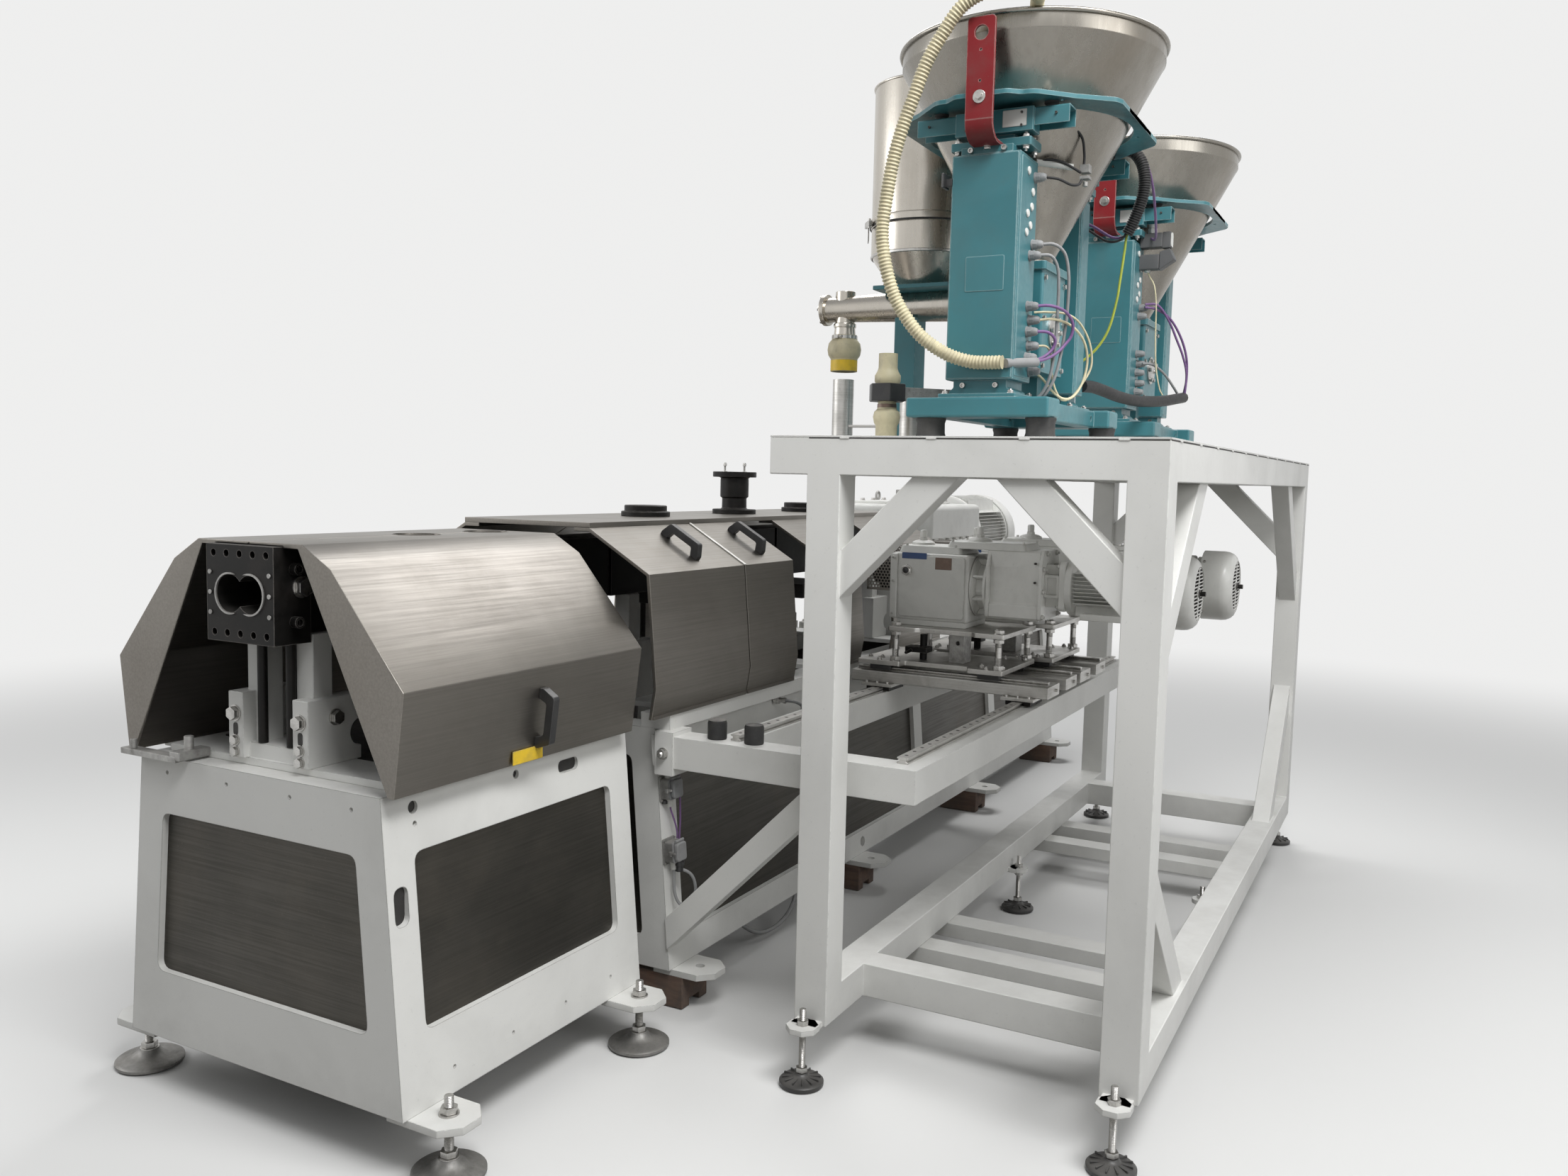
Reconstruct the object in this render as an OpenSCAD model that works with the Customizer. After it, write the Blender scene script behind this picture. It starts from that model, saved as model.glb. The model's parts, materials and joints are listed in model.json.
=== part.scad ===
// Twin-screw extruder line with an operator platform and three dosing feeders.
// Millimetres, +Z up, +X along the machine from the die end to the motor.
// The floor is z = 0 and the origin is the centre of the footprint.

/* [Machine frames] */
// Width of a machine frame at its bottom
frame_w = 1000; // [800:5:1400]
// Width of a machine frame at its top
frame_top_w = 866; // [600:2:1200]
// Height of a machine frame from bottom edge to top edge
frame_h = 771; // [500:1:1100]
// Size of the frame tubes
post = 95; // [60:1:140]
// Length of the front frame
front_l = 974; // [700:1:1500]
// Length of the rear frame
rear_l = 4266; // [3000:2:7000]
// Gap between the two frames
module_gap = 160; // [40:1:400]
// Height of the front frame's bottom edge
front_z = 149; // [80:1:300]
// Height of the front frame's bottom tubes
front_sill = 187; // [95:1:260]
// Height of the front frame's top tubes
front_head = 150; // [95:1:220]
// Number of bays in the rear frame's side
rear_bays = 4; // [2:1:8]
// Thickness of the inset panels
panel_t = 4; // [2:0.5:10]
// How far the panels sit back from the tubes' outer face
panel_inset = 18; // [5:1:60]

/* [Feet and blocks] */
// Diameter of a machine foot disc
foot_d = 180; // [80:1:300]
// Thickness of a machine foot disc
foot_t = 22; // [8:1:60]
// Diameter of the foot studs
foot_stud_d = 24; // [12:1:40]
// Across flats of the octagonal foot plates
foot_plate_w = 150; // [80:1:260]
// Thickness of the foot plates
foot_plate_t = 20; // [8:1:40]
// How far a machine foot stands out from the frame's side
foot_out = 60; // [30:1:140]
// Height of the timber blocks under the rear frame
timber_h = 103; // [60:1:200]

/* [Barrel] */
// Height of the screw axis above the floor
axis_z = 1372; // [1100:1:1600]
// Width and height of the barrel's end flange
barrel_w = 240; // [160:1:400]
// Length of the end flange block
flange_l = 110; // [40:1:200]
// How far the end flange stands out in front of the front frame
barrel_out = 30; // [0:1:200]
// Diameter of each screw bore
bore_d = 94; // [40:1:140]
// Distance between the two screw bores
bore_pitch = 72; // [30:1:110]
// Width and height of the barrel sections behind the flange
barrel_body_w = 200; // [140:1:320]
// Length of one barrel section
barrel_section = 300; // [150:1:500]
// Gap between the groove floors of two barrel sections
barrel_groove = 20; // [6:1:60]
// Depth of the groove between two barrel sections
groove_depth = 12; // [4:1:30]
// Diameter of the flange's bolt holes
flange_bolt_d = 18; // [8:0.5:30]
// Spacing of the flange's bolt holes along a row
flange_bolt_pitch = 48; // [30:1:80]
// Distance of the outer bolt rows from the screw axis
flange_row = 98; // [60:1:180]

/* [Barrel pillars] */
// Thickness of a pillar cheek
cheek_t = 55; // [20:1:90]
// Width over both cheeks
cheek_w = 290; // [180:1:400]
// Height of the cheeks above the floor
cheek_top = 1110; // [950:1:1250]
// Length of the cheeks along the machine
cheek_l = 170; // [80:1:300]
// Places of the rear frame's three pillars behind its start
rear_pillar_1 = 260; // [200:1:300]
// Place of the second rear pillar
rear_pillar_2 = 1330; // [1100:1:1500]
// Place of the third rear pillar
rear_pillar_3 = 2300; // [1900:1:2350]
// Size of the upright posts above the cheeks
pillar_post = 60; // [30:1:100]
// Thickness of the web between the cheeks
web_t = 40; // [15:1:80]

/* [Hoods] */
// Thickness of a hood shell
hood_t = 12; // [3:0.5:40]
// Half width of the front hood's flat top
front_hood_top = 186; // [120:1:300]
// Height of the front hood's top
front_hood_z = 1500; // [1300:1:1800]
// Half width of the front hood at its widest
front_hood_wide = 512; // [400:1:700]
// Height of the front hood's bottom edge above its frame
front_hood_lift = 3; // [1:0.5:20]
// Height of the strip along the front frame's top that the hoods rest on
front_ledge_h = 3; // [1:0.5:20]
// Length of the front hood
front_hood_l = 947; // [600:1:1400]
// Half width of the rear hoods' flat top
rear_hood_top = 252; // [150:1:350]
// Height of the rear hoods' top
rear_hood_z = 1532; // [1350:1:1800]
// Half width of the rear hoods at their widest
rear_hood_wide = 507; // [400:1:700]
// Height of the ledge along the rear frame's top that the hoods rest on
rear_ledge_h = 48; // [20:1:90]
// Thickness of the fixed strip along the top of the rear hoods
strip_t = 16; // [6:1:40]
// Gap between neighbouring hoods
hood_seam = 6; // [2:1:30]

/* [Drive] */
// Length of the reduction gearbox
drive_box_l = 760; // [500:1:1200]
// Width of the reduction gearbox
drive_box_w = 700; // [500:1:900]
// Length of the coupling guard
guard_l = 260; // [120:1:500]
// Length of the main motor
motor_l = 700; // [400:1:1100]
// Diameter of the main motor
motor_d = 460; // [300:1:800]

/* [Side feeder table] */
// Size of the table's box tubes
table_tube = 100; // [60:1:140]
// Height of the table's top above the floor
table_top = 880; // [700:1:1000]
// How far the table reaches out from the machine's middle plane
table_out = 1320; // [1000:1:1700]
// Length of the table along the machine
table_l = 2600; // [1800:5:3200]
// Distance from the middle plane to the outer rail
rail_outer = 1255; // [1100:1:1280]
// Distance from the middle plane to the inner rail
rail_inner = 705; // [680:1:800]
// Width of a slide rail
rail_w = 34; // [20:1:60]
// Height of a slide rail
rail_h = 20; // [12:1:40]
// Running clearance of the slides
run = 0.5; // [0.2:0.1:3]

/* [Side feeders] */
// Place of the first side feeder along the machine
side_1_x = 2445; // [2300:1:2500]
// Place of the second side feeder along the machine
side_2_x = 2890; // [2880:1:3100]
// How much farther out the second side feeder stands than the first
side_2_back = 60; // [0:1:80]
// Width of a side feeder's gearbox along the machine
side_box_w = 240; // [180:1:300]
// Length of a side feeder's gearbox
side_box_l = 310; // [240:1:360]
// Height of a side feeder's gearbox
side_box_h = 290; // [220:1:340]
// Distance from the middle plane to the gearbox's machine side
side_front = 710; // [690:1:760]
// Diameter of a side feeder's motor
side_motor_d = 220; // [160:1:260]
// Diameter of the motor's fan cowl
cowl_d = 262; // [200:1:300]
// Distance from the middle plane to the fan cowl's end
side_motor_end = 1828; // [1700:1:1900]
// Width of a carriage's cross beam
beam_w = 150; // [100:1:180]
// Height of a carriage's cross beam
beam_h = 45; // [25:1:80]
// Half of the distance between the outer faces of a carriage's two beams
carriage_half = 195; // [180:1:205]
// Thickness of the bearing plates under the beams
bearing_t = 12; // [6:1:20]
// Thickness of the stand's two plates
plate_t = 18; // [10:1:30]
// Height of the clear space between the two plates
lift_h = 115; // [80:1:200]
// Diameter of the threaded columns
column_d = 26; // [16:1:40]

/* [Platform] */
// Length of the platform along the machine
deck_l = 3188; // [2200:2:4500]
// Width of the platform over its columns
deck_w = 961; // [700:1:1400]
// Height of the platform's deck
deck_z = 1800; // [1500:5:2300]
// Size of the platform's box tubes
tube = 100; // [60:1:140]
// How far the deck plate reaches over towards the machine
deck_over = 116; // [0:1:250]
// Thickness of the deck plate
deck_t = 6; // [3:1:20]
// Distance from the machine's middle plane to the platform's inner columns
platform_y = 1036; // [900:1:1300]
// Place of the platform's front columns behind the front frame's end
platform_x = 959; // [600:1:1400]
// Height of the bottom of the columns
column_z = 157; // [100:1:300]
// Width of the diagonal braces
brace_w = 92; // [40:1:120]
// Distance from the columns to the bottom cross beams
cross_inset = 150; // [60:1:400]
// Width of a fork channel
fork_w = 100; // [60:1:160]
// Height of a fork channel
fork_h = 50; // [30:1:80]
// Distance from the platform's front edge to its first fork channel
fork_front = 700; // [400:1:900]
// Distance from the platform's rear edge to its last fork channel
fork_rear = 800; // [500:1:900]
// Clear space between the two channels of a pair
fork_gap = 160; // [100:1:260]
// Diameter of a platform foot disc
deck_foot_d = 125; // [60:1:220]

/* [Dosing feeders] */
// Place of the first dosing feeder's hopper along the machine
feeder_1_x = 1440; // [1410:1:1450]
// Place of the second dosing feeder's hopper along the machine
feeder_2_x = 2730; // [2640:1:2800]
// Distance from the middle plane to the dosing feeders' hoppers
feeder_y = 1470; // [1450:1:1500]
// Length of a dosing feeder's base
feeder_base_l = 750; // [700:1:900]
// Width of a dosing feeder's base at its ends
feeder_base_w = 392; // [340:1:460]
// Width of a dosing feeder's base between its ends
feeder_waist_w = 300; // [220:1:330]
// Length of the wide end pieces of a base
feeder_end_l = 110; // [80:1:160]
// Height of the rubber feet under the bases
rubber_h = 54; // [30:1:90]
// Diameter of the rubber feet
rubber_d = 80; // [40:1:100]
// Height of the base channel
feeder_base_h = 52; // [30:1:80]
// Width of a feeder's columns
feeder_col_w = 186; // [120:1:240]
// Depth of a feeder's front column along the machine
feeder_col_d = 150; // [100:1:170]
// Depth of a feeder's rear column along the machine
feeder_rear_d = 90; // [60:1:120]
// Height of the neck between base and front column
feeder_neck_h = 46; // [30:1:80]
// Height of a feeder's front column
feeder_col_h = 580; // [450:1:800]
// Height of the head bracket on top of a column
head_h = 40; // [25:1:60]
// Height of the load cell block between bracket and channel
cell_h = 25; // [15:1:40]
// Length of the cross channels that carry the seat plate
channel_l = 412; // [350:1:480]
// Height of a cross channel
channel_h = 45; // [25:1:70]
// Height of the spacers between channel and seat plate
spacer_h = 16; // [6:1:40]
// Length of the seat plate along the machine
seat_l = 830; // [800:1:880]
// Width of the seat plate
seat_w = 620; // [600:1:640]
// Thickness of the seat plate
seat_t = 12; // [6:1:20]
// Diameter of a conical hopper's rim
rim_d = 725; // [600:1:760]
// Height of a conical hopper's cone
cone_h = 545; // [400:1:560]
// Height of the straight band above the cone
band_h = 40; // [20:1:80]
// Diameter of the hopper's neck
neck_d = 150; // [100:1:200]
// Thickness of the hoppers' sheet
sheet_t = 4; // [2:0.5:8]
// Height of the feeding box under a hopper
screw_box_h = 300; // [200:1:330]
// Width of the red strap
strap_w = 74; // [40:1:120]
// Height of the red strap
strap_h = 302; // [200:1:340]

/* [Third feeder] */
// Place of the third feeder's hopper along the machine
feeder_3_x = 1830; // [1820:1:1880]
// Distance from the middle plane to the third feeder's hopper
feeder_3_y = 1010; // [1005:1:1020]
// Diameter of the third feeder's cylindrical hopper
drum_d = 360; // [300:1:370]
// Height of the cylindrical hopper
drum_h = 538; // [300:1:700]
// Height of the cone under the cylindrical hopper
drum_cone_h = 100; // [80:1:200]
// Diameter of the screw tube
screw_tube_d = 80; // [70:1:110]
// Height of the screw tube above the deck
screw_tube_z = 459; // [380:1:500]
// Distance from the middle plane to the spout's axis
spout_y = 722; // [690:1:760]
// Diameter of the spout's sleeve
sleeve_d = 92; // [80:1:110]
// Diameter of the aluminium down pipes
pipe_d = 72; // [50:1:76]

/* [Hose] */
// Diameter of the cream hose
hose_d = 36; // [20:1:60]

/* [Hidden] */
$fn = 48;

rear_z = timber_h + foot_plate_t;
front_top = front_z + frame_h;
rear_top = rear_z + frame_h;
front_hood_bottom = front_top + front_hood_lift;
rear_hood_bottom = rear_top + rear_ledge_h;
rear_x = front_l + module_gap;
rear_end = rear_x + rear_l;
x_low = -barrel_out;
x_high = rear_end;
y_high = frame_w / 2 + foot_out + foot_d / 2;
y_low = -platform_y - deck_w + min(0, tube / 2 - deck_foot_d / 2);
mid_x = (x_low + x_high) / 2;
mid_y = (y_low + y_high) / 2;
slope = (frame_w - frame_top_w) / 2 / frame_h;

white = [0.86, 0.86, 0.84];
steel = [0.55, 0.55, 0.54];
dark_steel = [0.38, 0.38, 0.38];
black = [0.07, 0.07, 0.07];
teal = [0.20, 0.42, 0.42];
red = [0.75, 0.12, 0.10];
cream = [0.88, 0.84, 0.70];
aluminium = [0.72, 0.73, 0.74];
timber = [0.33, 0.24, 0.16];

// Moves a shape from the machine's own layout to the part's origin.
module placed() {
    translate([-mid_x, -mid_y, 0])
        children();
}

// A box between two corners.
module box(x0, x1, y0, y1, z0, z1) {
    translate([x0, y0, z0])
        cube([x1 - x0, y1 - y0, z1 - z0]);
}

// An outline of [y, z] points drawn out along the machine.
module along_x(x0, x1) {
    translate([x0, 0, 0])
        rotate([90, 0, 90])
            linear_extrude(x1 - x0)
                children();
}

// An outline of [x, z] points drawn out across the machine.
module across_y(y0, y1) {
    translate([0, y1, 0])
        rotate([90, 0, 0])
            linear_extrude(y1 - y0)
                children();
}

module rod_x(x0, x1, y, z, d) {
    translate([x0, y, z])
        rotate([0, 90, 0])
            cylinder(h = x1 - x0, d = d);
}

module rod_y(x, y0, y1, z, d) {
    translate([x, y1, z])
        rotate([90, 0, 0])
            cylinder(h = y1 - y0, d = d);
}

module rod_z(x, y, z0, z1, d) {
    translate([x, y, z0])
        cylinder(h = z1 - z0, d = d);
}

// Half width of a machine frame at a height above its bottom edge.
function half_at(h) = frame_w / 2 - slope * h;

// One welded frame of square tubes with leaning sides and upright ends.
module machine_frame(x0, x1, z0, bays, sill, head) {
    bay = (x1 - x0 - post) / bays;
    difference() {
        along_x(x0, x1)
            polygon([
                [-half_at(0), z0], [half_at(0), z0],
                [half_at(frame_h), z0 + frame_h], [-half_at(frame_h), z0 + frame_h]
            ]);
        along_x(x0 + post, x1 - post)
            frame_window(z0, post, post);
        along_x(x0 - 1, x1 + 1)
            frame_window(z0, sill, head);
        for (i = [0 : bays - 1])
            box(x0 + post + i * bay, x0 + (i + 1) * bay,
                -frame_w, frame_w, z0 + sill, z0 + frame_h - head);
        box(x0 + post, x1 - post, -half_at(frame_h) + post, half_at(frame_h) - post,
            z0 - 1, z0 + frame_h + 1);
    }
}

// The opening between a frame's leaning side walls, above its sill and below its head.
module frame_window(z0, sill, head) {
    polygon([
        [-half_at(sill) + post, z0 + sill], [half_at(sill) - post, z0 + sill],
        [half_at(frame_h - head) - post, z0 + frame_h - head],
        [-half_at(frame_h - head) + post, z0 + frame_h - head]
    ]);
}

// Inset sheets in the two side windows of one bay.
module side_sheets(xa, xb, z0, sill, head) {
    for (s = [-1, 1])
        along_x(xa, xb)
            polygon([
                [s * (half_at(sill) - panel_inset), z0 + sill],
                [s * (half_at(frame_h - head) - panel_inset), z0 + frame_h - head],
                [s * (half_at(frame_h - head) - panel_inset - panel_t), z0 + frame_h - head],
                [s * (half_at(sill) - panel_inset - panel_t), z0 + sill]
            ]);
}

// Inset sheet in the window of a frame's end.
module end_sheet(x, z0, sill, head) {
    along_x(x, x + panel_t)
        frame_window(z0, sill, head);
}

module octagon(w, h) {
    cylinder(h = h, d = w / cos(22.5), $fn = 8);
}

module front_frame() {
    color(white)
        placed()
            difference() {
                union() {
                    machine_frame(0, front_l, front_z, 1, front_sill, front_head);
                    for (s = [-1, 1])
                        box(post, front_l - post, min(s * 400, s * hood_rest(front_hood_wide)),
                            max(s * 400, s * hood_rest(front_hood_wide)),
                            front_top - 1, front_top + front_ledge_h);
                }
                rod_y(474, -frame_w, -300, front_top - 38, 22);
                rod_y(100, -frame_w, -300, front_top - 42, 30);
                box(651, 738, -frame_w, -300, front_top - 73, front_top - 39);
            }
}

// Half width that a hood's lower edge rests on.
function hood_rest(wide) = wide - 40;

module front_panels() {
    color(dark_steel)
        placed() {
            side_sheets(post, front_l - post, front_z, front_sill, front_head);
            end_sheet(panel_inset, front_z, front_sill, front_head);
            end_sheet(front_l - panel_inset - panel_t, front_z, front_sill, front_head);
        }
}

// A plate under the frame's edge with its two outer corners cut off.
module foot_plate(s) {
    w = foot_plate_w / 2;
    c = w * tan(22.5);
    linear_extrude(foot_plate_t)
        polygon([
            [-w, -s * (foot_out + 70)], [w, -s * (foot_out + 70)],
            [w, s * c], [c, s * w], [-c, s * w], [-w, s * c]
        ]);
}

// One levelling foot: octagonal plate on the frame's edge, stud, nut and disc.
module machine_foot(x, s) {
    y = s * (frame_w / 2 + foot_out);
    translate([x, y, 0]) {
        cylinder(h = foot_t, d = foot_d);
        cylinder(h = front_z + 40, d = foot_stud_d);
        translate([0, 0, foot_t])
            cylinder(h = 14, d = foot_stud_d * 2, $fn = 6);
        translate([0, 0, front_z - foot_plate_t - 16])
            cylinder(h = 16, d = foot_stud_d * 2, $fn = 6);
        translate([0, 0, front_z - foot_plate_t])
            foot_plate(s);
    }
}

module front_feet() {
    color(steel)
        placed()
            for (x = [90, front_l - 90])
                for (s = [-1, 1])
                    machine_foot(x, s);
}

// A barrel pillar: two cheeks, a web and two posts up to the barrel.
module pillar(x, z0, top, w) {
    difference() {
        union() {
            for (s = [-1, 1])
                box(x, x + cheek_l, s > 0 ? cheek_w / 2 - cheek_t : -cheek_w / 2,
                    s > 0 ? cheek_w / 2 : -cheek_w / 2 + cheek_t, z0, cheek_top);
            box(x + 20, x + cheek_l - 20, -cheek_w / 2 + 1, cheek_w / 2 - 1, z0, z0 + web_t);
            for (s = [-1, 1])
                box(x + 40, x + 40 + pillar_post,
                    s > 0 ? cheek_w / 2 - cheek_t - 30 : -cheek_w / 2 + cheek_t + 30 - pillar_post,
                    s > 0 ? cheek_w / 2 - cheek_t - 30 + pillar_post : -cheek_w / 2 + cheek_t + 30,
                    z0 + web_t - 1, top);
        }
        rod_y(x + cheek_l, -w, w, z0 + 70, 70);
    }
}

module front_pillars() {
    color(white)
        placed() {
            front_deck_bar(60);
            pillar(45, front_top + 20, axis_z - barrel_body_w / 2, frame_w);
            front_deck_bar(front_l - 270);
            pillar(front_l - 285, front_top + 20, axis_z - barrel_body_w / 2, frame_w);
        }
}

// Cross bar that carries a pillar on the frame's two top tubes.
module front_deck_bar(x) {
    box(x, x + 140, -half_at(frame_h) + 35, half_at(frame_h) - 35, front_top, front_top + 20);
}

// The pair of screw bores.
module screw_bores(x0, x1) {
    for (s = [-1, 1])
        rod_x(x0, x1, s * bore_pitch / 2, axis_z, bore_d);
}

module front_barrel() {
    color(black)
        placed()
            difference() {
                union() {
                    box(-barrel_out, -barrel_out + flange_l, -barrel_w / 2, barrel_w / 2,
                        axis_z - barrel_w / 2, axis_z + barrel_w / 2);
                    barrel_sections(-barrel_out + flange_l, rear_x - module_gap / 2);
                }
                screw_bores(-barrel_out - 1, rear_x);
                for (z = [-1, 1])
                    for (i = [-2 : 2])
                        rod_x(-barrel_out - 1, -barrel_out + 50, i * flange_bolt_pitch * 0.98,
                              axis_z + z * flange_row, flange_bolt_d);
            }
}

// A run of barrel sections with a groove between neighbours.
module barrel_sections(x0, x1) {
    n = round((x1 - x0) / barrel_section);
    step = (x1 - x0) / n;
    w = barrel_body_w;
    difference() {
        box(x0, x1, -w / 2, w / 2, axis_z - w / 2, axis_z + w / 2);
        for (i = [1 : n - 1])
            difference() {
                box(x0 + i * step - barrel_groove / 2, x0 + i * step + barrel_groove / 2,
                    -w, w, axis_z - w, axis_z + w);
                box(x0 + i * step - barrel_groove, x0 + i * step + barrel_groove,
                    -w / 2 + groove_depth, w / 2 - groove_depth,
                    axis_z - w / 2 + groove_depth, axis_z + w / 2 - groove_depth);
            }
    }
}

// Outline of one half of the front hood, from the middle plane outwards.
module front_hood_outline() {
    top = front_hood_z;
    t = hood_t;
    polygon([
        [0, top], [front_hood_top, top], [front_hood_top + 94, top - 54],
        [front_hood_wide, top - 325], [front_hood_wide - 32, front_hood_bottom],
        [front_hood_wide - 32 - t, front_hood_bottom],
        [front_hood_wide - t, top - 325 - t * 0.3], [front_hood_top + 94 - t * 0.6, top - 54 - t],
        [front_hood_top - t * 0.3, top - t], [0, top - t]
    ]);
}

// Closing plate at a front hood's end, open in the middle for the barrel.
module front_hood_end() {
    top = front_hood_z;
    polygon([
        [front_hood_top, top], [front_hood_top + 94, top - 54],
        [front_hood_wide, top - 325], [front_hood_wide - 32, front_hood_bottom],
        [front_hood_wide - 52, front_hood_bottom], [front_hood_top - 20, top]
    ]);
}

module front_hood_half() {
    difference() {
        union() {
            along_x(-3, front_hood_l - 3)
                front_hood_outline();
            along_x(-3, 5)
                front_hood_end();
        }
        rod_z(560, 0, front_hood_z - 60, front_hood_z + 10, 130);
        rod_z(845, 0, front_hood_z - 60, front_hood_z + 10, 130);
        box(-10, front_hood_l, -10, hood_seam / 2, front_hood_z - 60, front_hood_z + 10);
        box(-10, flange_l - barrel_out + 2, -10, barrel_w / 2 + 2,
            axis_z, axis_z + barrel_w / 2 + 1);
    }
}

module front_hood_right() {
    color(steel)
        placed()
            mirror([0, 1, 0])
                front_hood_half();
}

module front_hood_left() {
    color(steel)
        placed()
            front_hood_half();
}

// Bow handle that stands on a leaning face: two ends and a grip.
module bow(l, out, d) {
    for (e = [0, l])
        translate([0, 0, e])
            rotate([90, 0, 0])
                cylinder(h = out, d = d);
    translate([-d / 2, -out - d / 2, -d / 2])
        cube([d, d, l + d]);
}

// The handle on the front hood's lower face and the two on the rear hoods' leaning faces.
module hood_handles() {
    face = atan(32 / (front_hood_z - 325 - front_hood_bottom));
    a = atan((rear_hood_wide - 30 - rear_hood_top) / (148 - strip_t));
    color(black)
        placed() {
            translate([500, -front_hood_wide + 32, front_hood_bottom])
                rotate([face, 0, 0])
                    translate([0, 0, 52])
                        bow(130, 42, 22);
            for (x = [1370, 1800])
                translate([x, -rear_hood_top, rear_hood_z - strip_t])
                    rotate([-a, 0, 0])
                        mirror([0, 0, 1])
                            translate([0, 0, 65])
                                bow(130, 42, 22);
        }
}

module rear_frame() {
    color(white)
        placed()
            difference() {
                union() {
                    machine_frame(rear_x, rear_end, rear_z, rear_bays, post, post);
                    for (s = [-1, 1])
                        along_x(rear_x, drive_x() - 20)
                            polygon([
                                [s * 380, rear_top - 1], [s * (rear_hood_wide - 17), rear_top - 1],
                                [s * (rear_hood_wide - 17), rear_hood_bottom],
                                [s * 380, rear_hood_bottom]
                            ]);
                }
                rod_y(2607, -frame_w, -300, rear_z + 95 / 2, 40);
            }
}

module rear_panels() {
    bay = (rear_l - post) / rear_bays;
    color(dark_steel)
        placed() {
            for (i = [0 : rear_bays - 1])
                side_sheets(rear_x + post + i * bay, rear_x + (i + 1) * bay, rear_z, post, post);
            end_sheet(rear_x + panel_inset, rear_z, post, post);
            end_sheet(rear_end - panel_inset - panel_t, rear_z, post, post);
        }
}

// Places of the rear frame's foot plates along the machine.
function rear_foot_x() = [rear_x + 90, rear_x + rear_l / 3, rear_x + rear_l * 2 / 3, rear_end - 90];

module rear_foot_plates() {
    color(white)
        placed()
            for (x = rear_foot_x())
                for (s = [-1, 1])
                    translate([x, s * (frame_w / 2 + foot_out), rear_z - foot_plate_t])
                        difference() {
                            foot_plate(s);
                            translate([0, 0, -1])
                                cylinder(h = foot_plate_t + 2, d = foot_stud_d + 4);
                        }
}

module timber_blocks() {
    color(timber)
        placed()
            for (x = rear_foot_x())
                for (s = [-1, 1])
                    difference() {
                        box(x - 75, x + 75, s > 0 ? 350 : -frame_w / 2 - 40,
                            s > 0 ? frame_w / 2 + 40 : -350, 0, timber_h);
                        box(x - 30, x + 30, -frame_w, frame_w, -1, 22);
                    }
}

// Outline of one half of a rear hood, hung under the fixed top strip.
module rear_hood_outline() {
    top = rear_hood_z - strip_t;
    t = hood_t;
    w = rear_hood_wide;
    polygon([
        [rear_hood_top - 60, top], [rear_hood_top, top], [w - 30, rear_hood_z - 148],
        [w, rear_hood_z - 494], [w - 15, rear_hood_bottom],
        [w - 15 - t, rear_hood_bottom], [w - t, rear_hood_z - 494],
        [w - 30 - t, rear_hood_z - 148 - t * 0.4], [rear_hood_top - t * 0.2, top - t],
        [rear_hood_top - 60, top - t]
    ]);
}

// Start and end of each rear hood along the machine.
rear_hood_spans = [
    [rear_x - 104, rear_x + 466],
    [rear_x + 466 + hood_seam, rear_x + 821],
    [rear_x + 1066, rear_x + 1406],
    [rear_x + 1716, rear_x + 2300]
];

module rear_hoods_half() {
    for (span = rear_hood_spans)
        along_x(span[0], span[1])
            rear_hood_outline();
}

module rear_hoods_right() {
    color(steel)
        placed()
            mirror([0, 1, 0])
                rear_hoods_half();
}

module rear_hoods_left() {
    color(steel)
        placed()
            rear_hoods_half();
}

module rear_top_strip() {
    color(steel)
        placed()
            difference() {
                union() {
                    box(rear_hood_spans[0][0], rear_hood_spans[3][1],
                        -rear_hood_top, rear_hood_top, rear_hood_z - strip_t, rear_hood_z);
                    for (x = [rear_x + 840, rear_x + 2250])
                        box(x, x + 40, -60, 60, axis_z + barrel_body_w / 2, rear_hood_z - strip_t + 1);
                }
                for (p = port_list)
                    rod_z(p[0], 0, rear_hood_z - strip_t - 1, rear_hood_z + 1, p[2]);
            }
}

// Place along the machine, flange diameter, neck diameter and height of each port.
port_list = [
    [1700, 178, 106, 40],
    [2335, 178, 106, 170],
    [2930, 178, 106, 40]
];

// How far in from the flange's edge the stud holes lie, and their diameter.
stud_inset = 11;
stud_hole_d = 9;

module vent_ports() {
    color(black)
        placed()
            for (p = port_list)
                port(p[0], p[1], p[2], p[3]);
}

// One port on the barrel's top: neck, flange and, on the tall one, a stack.
module port(x, flange, neck, h) {
    base = axis_z + barrel_body_w / 2;
    translate([x, 0, 0])
        difference() {
            union() {
                translate([0, 0, base])
                    cylinder(h = rear_hood_z - base, d = neck - 6);
                translate([0, 0, rear_hood_z])
                    cylinder(h = 18, d = flange);
                translate([0, 0, rear_hood_z + 18])
                    cylinder(h = h - 18, d = h > 100 ? neck : flange - 24);
                if (h > 100) {
                    translate([0, 0, rear_hood_z + 68])
                        cylinder(h = 80, d = neck + 10);
                    translate([0, 0, rear_hood_z + h - 22])
                        cylinder(h = 22, d = flange);
                }
            }
            translate([0, 0, base - 1])
                cylinder(h = h + 200, d = bore_d);
            if (h > 100)
                for (a = [0 : 60 : 300])
                    rotate(a)
                        translate([flange / 2 - stud_inset, 0, rear_hood_z + h - 30])
                            cylinder(h = 40, d = stud_hole_d);
        }
}

module rear_barrel() {
    color(black)
        placed()
            difference() {
                union() {
                    barrel_sections(rear_x - module_gap / 2, drive_x());
                }
                screw_bores(rear_x - module_gap, drive_x() + 1);
                for (p = port_list)
                    rod_z(p[0], 0, axis_z, axis_z + barrel_w, bore_d);
            }
}

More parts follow.
